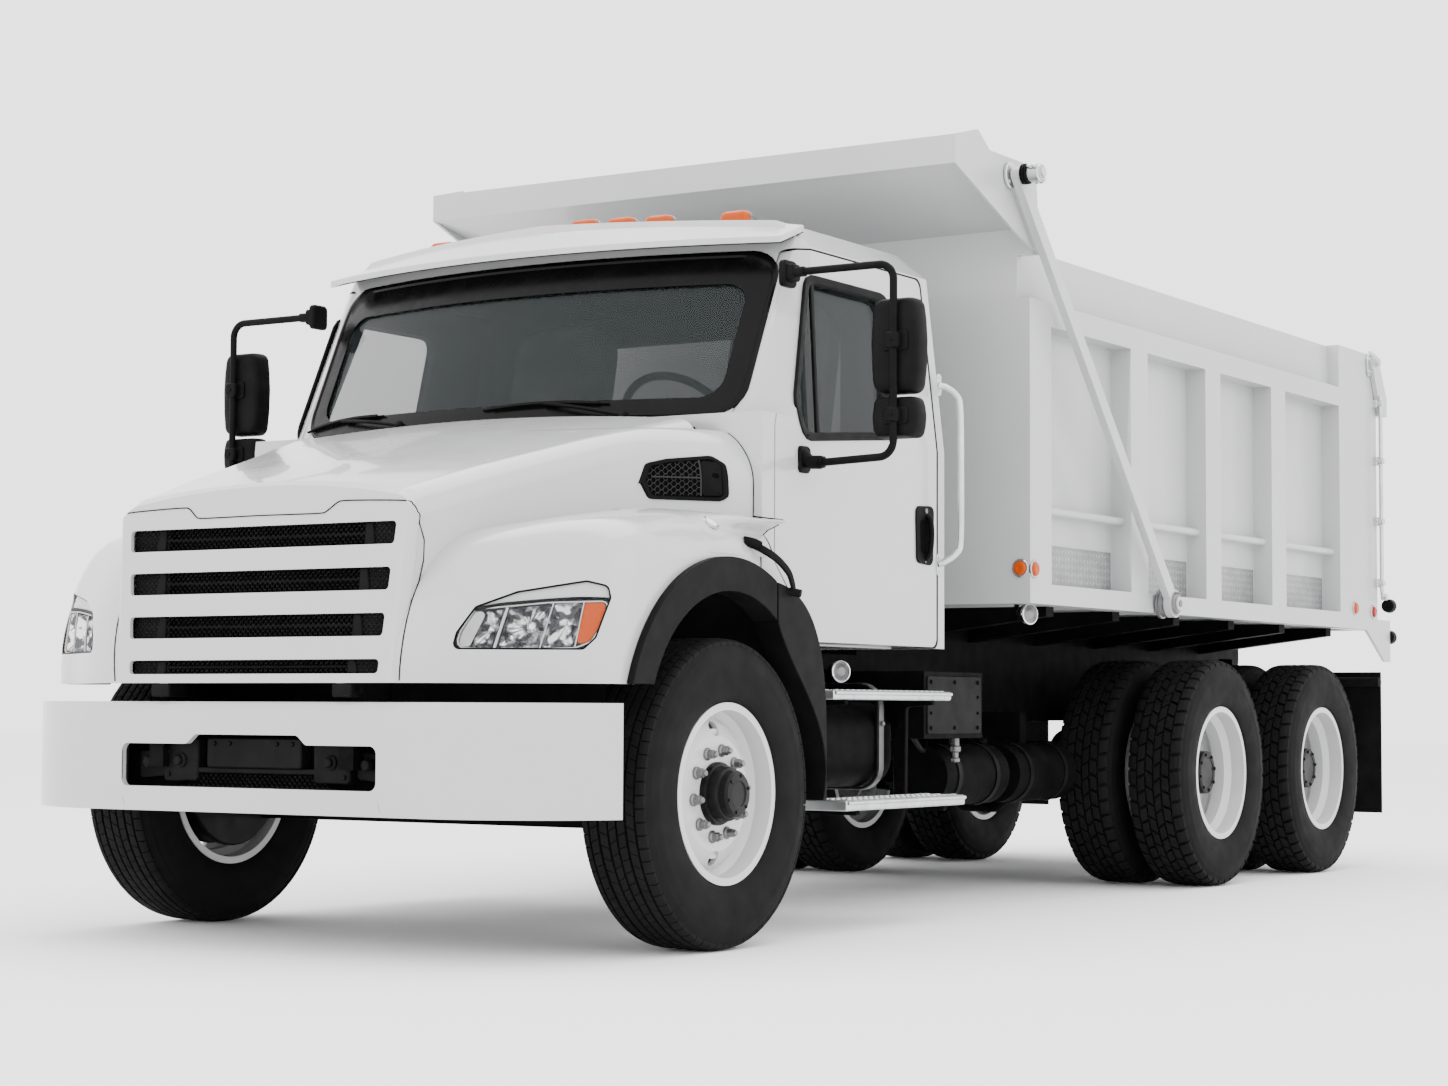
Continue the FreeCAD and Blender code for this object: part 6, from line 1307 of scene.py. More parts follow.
def wiper(pivot, elbow, blade_from, blade_to):
    """A wiper on the windshield: pivot cap, bent arm, and a bowed blade held by a bridge of three clips."""
    arm_points = np.array([pivot, (np.array(pivot) + elbow) / 2, elbow])
    arm = screen_at(arm_points[:, 0], arm_points[:, 1], np.array([0.020, 0.030, 0.022]))
    parts = [tube(smooth_path(arm, 6), 0.0065, 8),
             lathe([(0.016, -0.012), (0.016, 0.014), (0.011, 0.022), (0.004, 0.024)],
                   screen_at(np.array(pivot[0]), np.array(pivot[1]), 0.012), SCREEN_NORMAL, 20)]
    share = np.linspace(0, 1, 15)
    line = np.outer(1 - share, blade_from) + np.outer(share, blade_to)
    bow = 0.010 * np.sin(np.pi * share)
    rubber = sweep([(-0.0035, -0.004), (0.0035, -0.004), (0.0015, 0.004), (-0.0015, 0.004)],
                   screen_at(line[:, 0], line[:, 1] + bow, np.full(15, 0.010)), SCREEN_NORMAL)
    bridge = sweep(rectangle((-0.005, -0.002), (0.005, 0.003), 0.001, 2),
                   screen_at(line[1:-1, 0], line[1:-1, 1] + bow[1:-1],
                             0.014 + 0.006 * np.sin(np.pi * share[1:-1])), SCREEN_NORMAL)
    return joined(parts + [rubber, bridge])


class TRUCK_OT_windshield(bpy.types.Operator):
    """The windshield's black border and gasket, its two wipers and painted shade as a dark skin on the
    visor's underside
    """
    bl_idname = "truck.windshield"
    bl_label = "Windshield parts"

    def execute(self, context):
        outer = resampled(rectangle((-0.989, 1.802), (0.989, 2.416), 0.105, 9), 180)
        inner = resampled(rectangle((-0.900, 1.868), (0.900, 2.292), 0.075, 9), 180)
        piece("windshield_border", screen_border(outer, inner), "frit_black", "chassis")
        wipers = [wiper((-0.385, 1.812), (-0.735, 1.853), (-0.975, 1.834), (-0.500, 1.862)),
                  wiper((0.590, 1.800), (0.260, 1.858), (0.0, 1.850), (0.515, 1.852))]
        # painted shade: the visor's downward faces get a dark skin for the shade under it
        lining("visor_underside", "roof_visor", "chassis", towards=(0, 0, -1.0))
        piece("wipers", joined(wipers), "black_plastic", "chassis")
        return {"FINISHED"}


CAB_MIDDLE = np.array([1.863, 0.0, 1.70])
SEAT_Y = 0.52


def lining(name, node, body, keep=None, towards=None):
    """A dark skin on faces of a CAD node, moved 2 mm along their normals and thickened: the faces that face
    the cab's middle, or those that face a direction, whose middles the keep test lets through."""
    work = node_copy(node)
    away = []
    for face in work.faces:
        centre = np.array(face.calc_center_median())
        facing = (CAB_MIDDLE - centre if towards is None else np.array(towards)) @ np.array(face.normal)
        if facing < 0.02 or (keep and not keep(centre)):
            away.append(face)
    bmesh.ops.delete(work, geom=away, context="FACES")
    bmesh.ops.delete(work, geom=[vert for vert in work.verts if not vert.link_faces], context="VERTS")
    work.normal_update()
    for vert in work.verts:
        vert.co = vert.co + vert.normal * 0.002
    mesh = bpy.data.meshes.new(name)
    work.to_mesh(mesh)
    work.free()
    if not len(mesh.polygons):
        raise RuntimeError(name + " has no faces")
    # the dark skin is trim inside the cab and doors; on faces chosen by a direction, as under the visor, it
    # is painted shade
    skin = placed(name, mesh, "trim_dark", body, 30.0).modifiers.new("skin", "SOLIDIFY")
    skin.thickness = 0.0012
    skin.offset = 1.0


def signed_power(value, power):
    """The value's size raised to the power, with its sign kept."""
    return np.sign(value) * np.abs(value) ** power


def pillow(centre, half, power, crown, tilt, rings=22, steps=56):
    """A stuffed block: a superellipsoid with crowned faces and sides that pull in between corners."""
    v = np.linspace(-1.52, 1.52, rings)[:, None]
    u = np.linspace(0, 2 * np.pi, steps, endpoint=False)[None]
    x = signed_power(np.cos(v), power) * signed_power(np.cos(u), power)
    y = signed_power(np.cos(v), power) * signed_power(np.sin(u), power)
    z = signed_power(np.sin(v), power) * np.ones_like(u)
    across, deep = (np.cos(np.pi / 2 * np.clip(np.abs(share), 0, 1)) for share in (x, y))
    swell = 1 + crown * across * deep
    pull = 1 - 0.035 * np.cos(np.pi / 2 * z) ** 2
    points = np.stack([x * pull * half[0], y * pull * half[1], z * swell * half[2] / (1 + crown)], -1)
    return moved(turned(capped(points), np.zeros(3), OUT, tilt), centre)


class TRUCK_OT_interior(bpy.types.Operator):
    """Dark linings, dashboard and two seats with crowned cushions"""
    bl_idname = "truck.interior"
    bl_label = "Cab interior"

    def execute(self, context):
        lining("cab_lining", "cab_shell", "chassis",
               lambda c: abs(c[1]) < 1.1 and 1.0 < c[2] < 2.56 and c[0] < 2.44)
        for label in SIDES:
            lining("door_lining_" + label, "door_" + label, "door_" + label, lambda c: abs(c[1]) < 1.13)
        profile = arc_corners([(2.414, 1.480), (2.414, 1.640), (2.330, 1.702), (2.200, 1.700),
                               (2.134, 1.640), (2.160, 1.480)], 0.035, 6)
        dash = prism(profile, "xz", -0.955, 0.955, 0.012)
        brow = arc_corners([(2.180, 1.665), (2.330, 1.665), (2.318, 1.745), (2.196, 1.725)], 0.02, 5)
        hood = prism(brow, "xz", 0.30, 0.74, 0.015)
        piece("dashboard_pad", joined([dash, hood]), "trim_dark", "chassis",
              stands_for=("dashboard",))
        cushions, backs, bases = [], [], []
        for side in (1, -1):
            y = side * SEAT_Y
            cushions.append(pillow((1.625, y, 1.545), (0.236, 0.245, 0.060), 0.32, 0.22, -0.04))
            backs.append(pillow((1.345, y, 1.965), (0.062, 0.235, 0.385), 0.34, 0.05, -0.20))
            bases += [block((1.42, y - 0.19, 1.024), (1.80, y + 0.19, 1.10), 0.02, "xz", 0.01),
                      block((1.50, y - 0.12, 1.09), (1.74, y + 0.12, 1.42), 0.03, "xy", 0.01),
                      block((1.40, y - 0.22, 1.42), (1.84, y + 0.22, 1.488), 0.02, "xz", 0.01)]
        cushion = piece("seat_cushions", joined(cushions), "seat_cloth", "chassis", 60.0,
                        ("seats",))
        back = piece("seat_backs", joined(backs), "seat_cloth", "chassis", 60.0)
        piece("seat_bases", joined(bases), "trim_dark", "chassis")
        return {"FINISHED"}


def loft(outline, centre, rings, axis=0):
    """A 2-D outline scaled about a centre and stacked along an axis: a ring is two shares and a place."""
    others = [index for index in range(3) if index != axis]
    points = np.empty((len(rings), len(outline), 3))
    for index, (first, second, place) in enumerate(rings):
        points[index, :, others[0]] = centre[0] + (outline[:, 0] - centre[0]) * first
        points[index, :, others[1]] = centre[1] + (outline[:, 1] - centre[1]) * second
        points[index, :, axis] = place
    return capped(points)


MIRROR_Y = 1.486
MIRROR_BACK = 0.572
PIPE_BACK = 0.556


def mirror_head(low, high, reach):
    """A mirror's shell, from ahead a barrel with rounded corners and domed to the front, and its pane."""
    middle_z, half_z = (low + high) / 2, (high - low) / 2
    bulge = np.array([(0.86, -1.0), (0.97, -0.45), (1.0, 0.1), (0.95, 0.55), (0.84, 1.0)])
    right = np.stack([MIRROR_Y + bulge[:, 0] * reach, middle_z + bulge[:, 1] * half_z], 1)
    left = np.stack([MIRROR_Y - bulge[::-1, 0] * reach, middle_z + bulge[::-1, 1] * half_z], 1)
    outline = resampled(arc_corners(np.concatenate([right, left]), 0.034, 6), 96)
    front = FRONT_AXLE[0] - MIRROR_BACK
    shell_rings = ((0.55, 0.80, 0), (0.80, 0.92, 0.004), (0.92, 0.965, 0.012), (0.98, 0.99, 0.028),
                   (1.0, 1.0, 0.052), (1.0, 1.0, 0.078), (0.985, 0.992, 0.084), (0.94, 0.965, 0.084),
                   (0.93, 0.96, 0.076), (0.2, 0.2, 0.076))
    pane_rings = ((0.2, 0.2, 0.0755), (0.925, 0.955, 0.0755), (0.925, 0.955, 0.079), (0.2, 0.2, 0.080))
    return [loft(outline, (MIRROR_Y, middle_z), [(first, second, front - depth)
                                                 for first, second, depth in rings])
            for rings in (shell_rings, pane_rings)]


def mirror_clamp(z, tall):
    """A clamp round the mirror's pipe: a rounded block with a raised saddle and a screw."""
    x = FRONT_AXLE[0] - PIPE_BACK
    saddle = block((x - 0.022, 1.452, z - tall * 0.62), (x - 0.006, 1.548, z + tall * 0.62), 0.012, "yz",
                   0.004)
    grip = block((x - 0.012, 1.474, z - tall / 2), (x + 0.019, 1.526, z + tall / 2), 0.012, "yz", 0.005)
    return joined([saddle, grip, bolt((x + 0.018, 1.5, z), AHEAD, 0.006, 0.004)])


def mirror_pipe():
    """The bent pipe from the door's top bracket out, down past both heads and back to the low bracket."""
    return rounded_path(from_axle([(-566, 1092, 2309), (-556, 1150, 2311), (-556, 1500, 2311),
                                   (-556, 1500, 1650), (-556, 1240, 1640), (-556, 1165, 1640)]), 0.055, 9)


class TRUCK_OT_mirrors(bpy.types.Operator):
    """Mirror heads on their bent pipes, with clamps, brackets and panes"""
    bl_idname = "truck.mirrors"
    bl_label = "Mirrors"

    def execute(self, context):
        large, large_pane = mirror_head(1.868, 2.198, 0.0945)
        small, small_pane = mirror_head(1.716, 1.856, 0.090)
        clamps = joined([mirror_clamp(2.046, 0.056), mirror_clamp(1.790, 0.050)])
        x = FRONT_AXLE[0]
        top = [block((x - 0.612, 1.058, 2.262), (x - 0.524, 1.086, 2.356), 0.016, "xz", 0.006),
               block((x - 0.592, 1.080, 2.280), (x - 0.534, 1.112, 2.340), 0.010, "xz", 0.005),
               block((x - 0.578, 1.104, 2.294), (x - 0.536, 1.150, 2.328), 0.012, "xz", 0.004)]
        foot = smooth_path(from_axle([(-562, 1128, 1684), (-560, 1150, 1660), (-557, 1168, 1644),
                                      (-556, 1215, 1640)]), 5)
        low = [block((x - 0.600, 1.128, 1.606), (x - 0.526, 1.152, 1.700), 0.016, "xz", 0.006),
               tube(foot, 0.024, 14), tube(foot[-6:] + [0, 0.012, 0], 0.021, 14)]
        shell = joined([large, small, clamps, tube(mirror_pipe(), 0.0135, 16)] + top + low)
        sided("mirror_shells_", shell, "black_plastic", "door_", 40.0, "mirror_")
        sided("mirror_panes_", joined([large_pane, small_pane]), "mirror_chrome", "door_")
        return {"FINISHED"}


DOOR_SKIN = 1.14
DOOR_LEAN = 0.078 / 0.67
BELT_Z = 1.76


def door_side(z):
    """Half width of the door's outside at a height: upright to the belt, then leaning in to the roof."""
    return DOOR_SKIN - np.clip(z - BELT_Z, 0, 1) * DOOR_LEAN


def on_door(surface):
    """A surface made in x and z with its depth in y, laid on the door's outside."""
    verts = surface[0].copy()
    verts[:, 1] += door_side(verts[:, 2])
    return verts, surface[1]


WINDOW = ((-573, 1742), (-545, 1862), (-700, 2304), (-1280, 2304), (-1215, 1800))


def door_handle():
    """A tall rounded plate with a pull bar, a flat dark patch of painted shade for the hollow behind it,
    and a key barrel with a screw.
    """
    x = FRONT_AXLE[0]
    outline = resampled(arc_corners([(x - 1.512, 1.326), (x - 1.384, 1.334), (x - 1.378, 1.545),
                                     (x - 1.520, 1.552)], 0.026, 6), 60)
    # painted shade: a flat near-black patch on the plate stands for the shade in the hollow behind the bar
    painted_shade_patch = arc_corners([(x - 1.488, 1.366), (x - 1.412, 1.370), (x - 1.406, 1.495), (x - 1.492, 1.500)],
                         0.018, 5)
    bar = tube(smooth_path([(x - 1.452, 1.146, 1.350), (x - 1.454, 1.163, 1.372), (x - 1.458, 1.168, 1.430),
                            (x - 1.460, 1.163, 1.492), (x - 1.460, 1.146, 1.512)], 6), 0.0105, 12)
    barrel = lathe([(0.010, 0), (0.010, 0.003), (0.007, 0.004)], (x - 1.454, 1.147, 1.530), OUT, 20)
    screw = lathe([(0.0045, 0), (0.0045, 0.001), (0.003, 0.002)], (x - 1.450, 1.147, 1.339), OUT, 12)
    shell = joined([prism(outline, "xz", 1.139, 1.1475, 0.003), bar])
    return shell, prism(painted_shade_patch, "xz", 1.1472, 1.1484, 0.0004), joined([barrel, screw])


class TRUCK_OT_door_parts(bpy.types.Operator):
    """Window seals, dividers and belt strips, handles and locks of the doors"""
    bl_idname = "truck.door_parts"
    bl_label = "Door parts"

    def execute(self, context):
        x = FRONT_AXLE[0]
        window = arc_corners([(x + a / 1000, b / 1000) for a, b in WINDOW], 0.05, 7)
        inner = inset(resampled(window, 96), 0.006)
        seal = on_door(banded(inset(inner, -0.030), inner, 0.0055, -0.006))
        ends = np.array([(x - 0.664, door_side(1.752) - 0.001, 1.752),
                         (x - 0.722, door_side(2.300) - 0.001, 2.300)])
        path = ends[:1] + np.linspace(0, 1, 8)[:, None] * (ends[1:] - ends[:1])
        divider = sweep(rectangle((-0.011, -0.008), (0.011, 0.004), 0.003, 3), path, OUT)
        belt = np.linspace(x - 0.585, x - 1.235, 14)
        belt_z = 1.742 - (belt - (x - 0.573)) * 0.088 - 0.004
        strip = tube(np.stack([belt, np.full(14, 1.1418), belt_z], -1), 0.007, 8)
        shell, painted_shade_patch, lock = door_handle()
        sided("window_seals_", joined([seal, divider, strip]), "seal_black", "door_")
        sided("door_handle_", shell, "black_plastic", "door_")
        sided("door_handle_hollow_", painted_shade_patch, "void_black", "door_")
        sided("door_lock_", lock, "zinc", "door_")
        return {"FINISHED"}


def grab_handle():
    """A bowed alloy tube at the cab's rear corner, each end pressed flat and screwed down."""
    path = smooth_path(from_axle([(-1561, 1143, 2012), (-1572, 1166, 2006), (-1590, 1202, 1975),
                                  (-1598, 1214, 1920), (-1600, 1216, 1700), (-1600, 1214, 1430),
                                  (-1590, 1200, 1376), (-1572, 1164, 1346), (-1561, 1143, 1338)]), 7)
    parts = [tube(path, 0.0135, 16)]
    for z in (2.016, 1.334):
        centre = from_axle([(-1562, 1140, z * 1000)])[0]
        pad = rectangle((centre[0] - 0.020, z - 0.042), (centre[0] + 0.016, z + 0.042), 0.016, 5)
        parts.append(prism(pad, "xz", 1.139, 1.1445, 0.0015))
        for rise in (-0.028, 0.028):
            parts.append(lathe([(0.006, 0), (0.006, 0.002), (0.0035, 0.004)],
                               centre + [-0.002, 0.0045, rise], OUT, 14))
    return joined(parts)


ROOF_LAMP_BACK = 0.88
ROOF_LAMPS = np.array([-676, -340, -170, 0, 170, 340, 676]) / 1000


def roof_lamp(y, base):
    """A marker lamp: an amber lens with a rounded nose, a pale tapered housing and a dark foot."""
    x = FRONT_AXLE[0] - ROOF_LAMP_BACK
    outline = [(-0.060, 0.0), (0.060, 0.0), (0.052, 0.074), (-0.052, 0.074)]
    outline = resampled(arc_corners(outline, 0.018, 5), 48)
    centre = (y, base - 0.006)
    lens = ((0.98, 0.98, 0.0095), (0.98, 0.98, 0.034), (0.95, 0.93, 0.046), (0.86, 0.80, 0.054),
            (0.70, 0.60, 0.058))
    house = ((0.70, 0.30, -0.100), (0.86, 0.62, -0.070), (0.97, 0.92, -0.020), (1.0, 1.0, 0.004),
             (1.0, 1.0, 0.010))
    foot = ((1.12, 0.14, -0.108), (1.14, 0.16, -0.06), (1.14, 0.16, 0.056), (1.10, 0.14, 0.064))
    return [loft(outline + centre, centre, [(across, up, x + ahead) for across, up, ahead in rings])
            for rings in (lens, house, foot)]


class TRUCK_OT_cab_parts(bpy.types.Operator):
    """Roof lamps, grab handles and the cowl's louvres"""
    bl_idname = "truck.cab_parts"
    bl_label = "Cab parts"

    def execute(self, context):
        count = len(ROOF_LAMPS)
        origins = np.stack([np.full(count, FRONT_AXLE[0] - ROOF_LAMP_BACK), ROOF_LAMPS,
                            np.full(count, 3.0)], -1)
        places = seated("cab_shell", origins, (0, 0, -1))
        lamps = [roof_lamp(y, place[2]) for y, place in zip(ROOF_LAMPS, places)]
        lenses, houses, feet = (joined(parts) for parts in zip(*lamps))
        piece("roof_lamp_lenses", lenses, "amber_lens", "chassis", 40.0, ("roof_lamps",))
        piece("roof_lamp_houses", houses, "lamp_silver", "chassis", 40.0)
        piece("roof_lamp_feet", feet, "seal_black", "chassis", 40.0)
        piece("grab_handles", both(grab_handle()), "step_alloy", "chassis")
        low, high = node_box("cowl")
        profile = arc_corners([(low[0] - 0.004, low[2]), (high[0], low[2]), (high[0], high[2] - 0.010),
                               (low[0] - 0.004, high[2] + 0.004)], 0.008, 4)
        slat = prism(arc_corners([(low[0] + 0.012, high[2]), (high[0] - 0.012, high[2] - 0.008),
                                  (high[0] - 0.012, high[2] + 0.002), (low[0] + 0.012, high[2] + 0.008)],
                                 0.002, 2), "xz", -0.012, 0.012, 0.002)
        slats = [moved(slat, (0, y, 0)) for y in np.linspace(low[1] + 0.08, high[1] - 0.08, 34)]
        piece("cowl_louvres", joined([prism(profile, "xz", low[1], high[1], 0.008)] + slats),
              "black_plastic", "chassis", stands_for=("cowl",))
        return {"FINISHED"}


# Bed

BAYS = ((-3167, -2385), (-3989, -3345), (-4798, -4166), (-5731, -4982))
SHEET = 1.124
BED_LAMPS = (((-5941, 1217, 1315), OUT, "amber"), ((-6213, 1217, 1304), OUT, "red"),
             ((-2223, 1217, 1346), OUT, "amber"), ((-6514, 1206, 1345), BEHIND, "red"),
             ((-6514, 1206, 1180), BEHIND, "red"), ((-2192, 1176, 1349), AHEAD, "amber"))


def tread_plate(low, high, y, pitch=0.030):
    """Diamond tread on an upright sheet: lens-shaped bars with bevelled tops, every second one turned
    square to its neighbours."""
    columns = int((high[0] - low[0]) / pitch)
    rows = int((high[1] - low[1]) / pitch)
    i, j = np.meshgrid(np.arange(columns), np.arange(rows), indexing="ij")
    x = (low[0] + (i + 0.5) * (high[0] - low[0]) / columns).ravel()
    z = (low[1] + (j + 0.5) * (high[1] - low[1]) / rows).ravel()
    angle = np.where((i + j).ravel() % 2 == 0, 1.0, -1.0) * math.radians(45)
    cos, sin = np.cos(angle)[:, None], np.sin(angle)[:, None]
    lens = np.array([(-0.0125, 0), (-0.006, -0.0032), (0, -0.0042), (0.006, -0.0032), (0.0125, 0),
                     (0.006, 0.0032), (0, 0.0042), (-0.006, 0.0032)])
    rings = [(lens, -0.001), (lens, 0.0006), (lens * [0.82, 0.55], 0.0019)]
    points = np.empty((len(x), len(rings), len(lens), 3))
    for index, (ring, height) in enumerate(rings):
        points[:, index, :, 0] = x[:, None] + ring[:, 0] * cos - ring[:, 1] * sin
        points[:, index, :, 1] = y + height
        points[:, index, :, 2] = z[:, None] + ring[:, 0] * sin + ring[:, 1] * cos
    return capped_copies(points)


def round_lamp(centre, axis, radius=0.031):
    """A round marker: a rubber or pressed ring and a domed lens with a small flat middle."""
    ring = lathe([(radius + 0.006, -0.002), (radius + 0.006, 0.005), (radius + 0.002, 0.009),
                  (radius - 0.004, 0.008)], centre, axis, 36)
    lens = lathe([(radius - 0.003, 0.004), (radius - 0.003, 0.010), (radius * 0.78, 0.0155),
                  (radius * 0.45, 0.018), (radius * 0.40, 0.0172), (0.004, 0.0172)], centre, axis, 36)
    return ring, lens


def latch_rod():
    """The tailgate's locking rod: a bar down the rear post in four clamps, with a foot and its roller."""
    x, y = FRONT_AXLE[0] - 6.262, 1.252
    parts = [tube(np.array([(x, y, z) for z in np.linspace(1.418, 2.430, 12)]), 0.0105, 12)]
    for z in (1.455, 1.775, 2.090, 2.390):
        parts.append(block((x - 0.026, 1.216, z - 0.022), (x + 0.026, 1.240, z + 0.022), 0.006, "xz",
                           0.003))
        parts.append(block((x - 0.018, 1.236, z - 0.015), (x + 0.018, 1.268, z + 0.015), 0.010, "xz",
                           0.004))
        parts += [bolt((x + reach, 1.239, z), OUT, 0.0045, 0.004) for reach in (-0.021, 0.021)]
    parts.append(tube(smooth_path([(x, y, 1.425), (x - 0.006, y, 1.400), (x - 0.030, y, 1.385)], 5),
                      0.0105, 10))
    parts.append(lathe([(0.017, -0.014), (0.017, 0.014), (0.012, 0.018)], (x - 0.034, y, 1.384), OUT, 16))
    return joined(parts)


def hinge_bracket():
    """The tailgate's upper hinge: a cheek on the post, a pin with its washer and nut, and three bolts."""
    x = FRONT_AXLE[0] - 6.216
    cheek = arc_corners([(x + 0.070, 2.520), (x - 0.050, 2.545), (x - 0.058, 2.650), (x + 0.040, 2.660),
                         (x + 0.085, 2.610)], 0.02, 5)
    pin = lathe([(0.021, -0.020), (0.021, 0.008), (0.030, 0.009), (0.030, 0.014), (0.018, 0.015),
                 (0.018, 0.030), (0.012, 0.034)], (x - 0.010, 1.229, 2.602), OUT, 24)
    bolts = [bolt((x + ahead, 1.229, z), OUT, 0.009, 0.008)
             for ahead, z in ((0.055, 2.548), (0.062, 2.612), (0.030, 2.640))]
    return joined([prism(cheek, "xz", 1.220, 1.230, 0.002), pin] + bolts)


def tarp_pivot():
    """The tarp arm's pivot: spring case with rolled rims, a torsion spring and the centre bolt."""
    centre = from_axle([(-3450, 1228, 1250)])[0]
    case = lathe([(0.064, 0), (0.064, 0.012), (0.058, 0.014), (0.056, 0.030), (0.060, 0.034),
                  (0.060, 0.040), (0.050, 0.042), (0.044, 0.078), (0.040, 0.084), (0.022, 0.086)], centre,
                 OUT, 40)
    turns = np.linspace(0, 2 * np.pi * 3.5, 90)
    spring = np.stack([centre[0] + 0.050 * np.cos(turns), centre[1] + 0.043 + turns * 0.0016,
                       centre[2] + 0.050 * np.sin(turns)], -1)
    return joined([case, tube(spring, 0.0032, 8), bolt(centre + [0, 0.086, 0], OUT, 0.016, 0.012)])


def tarp_top():
    """At the arm's top: a bolted flange and a silver clevis with its through bolts on the cross tube's end,
    and the ribbed black coupling between them."""
    centre = from_axle([(-1953, 1262, 2870)])[0]
    flange = lathe([(0.052, -0.013), (0.052, -0.005), (0.049, -0.002), (0.040, -0.002)], centre, OUT, 36)
    screw = bolt(centre + [0.043, -0.002, 0], OUT, 0.006, 0.006)
    clevis = lathe([(0.030, 0.078), (0.036, 0.082), (0.036, 0.118), (0.031, 0.124), (0.020, 0.126),
                    (0.020, 0.136), (0.010, 0.140)], centre, OUT, 32)
    through = [lathe([(0.009, -0.050), (0.014, -0.046), (0.014, -0.038), (0.009, -0.036), (0.009, 0.036),
                      (0.014, 0.038), (0.014, 0.046), (0.009, 0.050)], centre + [0, shift, 0],
                     (0.8, 0, 0.6), 12) for shift in (0.091, 0.110)]
    coupling = lathe([(0.032, 0.042), (0.040, 0.045), (0.041, 0.050), (0.036, 0.053), (0.041, 0.056),
                      (0.041, 0.061), (0.036, 0.064), (0.041, 0.067), (0.040, 0.072), (0.032, 0.075)],
                     centre, OUT, 32)
    return joined([flange, ring_of(screw, centre, OUT, 4, 0.7), clevis] + through), coupling


class TRUCK_OT_bed_parts(bpy.types.Operator):
    """Tread plate, tailgate latch rods and hinges, tarp gear and the round lamps of the bed"""
    bl_idname = "truck.bed_parts"
    bl_label = "Bed parts"

    def execute(self, context):
        bays = [(FRONT_AXLE[0] + low / 1000, FRONT_AXLE[0] + high / 1000) for low, high in BAYS]
        plates = [tread_plate((low + 0.015, 1.305), (high - 0.015, 1.455), SHEET) for low, high in bays]
        sheets = [prism(rectangle((low + 0.006, 1.294), (high - 0.006, 1.464), 0.004, 3), "xz",
                        SHEET - 0.001, SHEET + 0.0009, 0.0004) for low, high in bays]
        section = [(-0.004, -0.001), (0.004, -0.001), (0.002, 0.003), (-0.002, 0.003)]
        edges = [sweep(section, np.array([(low + 0.012, SHEET, 1.462), (high - 0.012, SHEET, 1.462)]), OUT)
                 for low, high in bays]
        piece("bed_tread_plate", both(joined(plates)), "tread_alloy", "bed", 50.0)
        piece("bed_tread_sheets", both(joined(sheets)), "plate_alloy", "bed")
        piece("bed_tread_edges", both(joined(edges)), "body_paint", "bed")
        piece("latch_rods", both(latch_rod()), "step_alloy", "bed")
        piece("tailgate_hinges", both(hinge_bracket()), "step_alloy", "bed")
        clevis, coupling = tarp_top()
        sided("tarp_clevis_", clevis, "step_alloy", "tarp_arm_")
        sided("tarp_coupling_", coupling, "black_plastic", "tarp_arm_")
        sided("tarp_pivot_", tarp_pivot(), "zinc", "tarp_arm_")
        rings, cans, lenses = [], [], {"amber": [], "red": []}
        for place, axis, colour in BED_LAMPS:
            centre = from_axle([place])[0]
            ring, lens = round_lamp(centre, axis)
            rings.append(ring)
            lenses[colour].append(lens)
            if axis == BEHIND:
                cans.append(lathe([(0.030, -0.036), (0.034, -0.032), (0.035, 0.0)], centre, axis, 32))
        piece("bed_lamp_rings", both(joined(rings)), "lamp_silver", "bed", 40.0,
              ("body_lamps",))
        piece("bed_lamp_cans", both(joined(cans)), "black_plastic", "bed", 40.0)
        for colour, parts in lenses.items():
            piece("bed_lamps_" + colour, both(joined(parts)), colour + "_lens", "bed", 40.0)
        return {"FINISHED"}


# Chassis

RING_PITCH = 0.04
HOSES = (((-2280, 700, 640), (-2420, 560, 760)), ((-2840, 690, 655), (-3000, 520, 800)),
         ((-1930, 820, 700), (-2300, 690, 655)), ((-3500, 650, 560), (-3900, 440, 640)))
HOSE_SAG = np.array([0, 0.02, -0.05])
# A work lamp is its place, its axis, its radius and the path of its arm
WORK_LAMPS = (((-1066, 1000, 925), (0.45, 0.9, 0), 0.038,
               ((-1066, 960, 925), (-1060, 930, 925), (-1060, 900, 985))),
              ((-2337, 1140, 1172), (0.35, 0.93, 0), 0.040,
               ((-2345, 1105, 1172), (-2350, 1080, 1172), (-2350, 1080, 1215))))


def step_board(low, high):
    """An alloy step: a folded tray with a rolled lip, three rows of raised rings and round studs."""
    lip = np.array([(low[0] + 0.004, high[1] + 0.001, high[2] - 0.010),
                    (high[0] - 0.004, high[1] + 0.001, high[2] - 0.010)])
    parts = [block(low, high, 0.008, "yz", 0.004), tube(lip, 0.007, 10)]
    count = int((high[0] - low[0]) / RING_PITCH)
    for row in range(3):
        y = low[1] + (row + 0.6) * (high[1] - low[1]) / 3.2
        ring = lathe([(0.0125, -0.001), (0.0120, 0.0025), (0.0105, 0.003), (0.0085, 0.0012),
                      (0.003, 0.001)], (0, y, high[2]), (0, 0, 1), 14)
        start = low[0] + 0.030 + (row % 2) * RING_PITCH / 2
        parts.append(row_of(ring, [(start + RING_PITCH * i, 0, 0) for i in range(count - 1)]))
    slot = lathe([(0.0075, -0.001), (0.0075, 0.0012), (0.0055, 0.0018)], (0, 0, 0), OUT, 14)
    places = [(x, high[1] - 0.0005, low[2] + 0.010) for x in np.linspace(low[0] + 0.05, high[0] - 0.05, 9)]
    return joined(parts + [row_of(slot, places)])


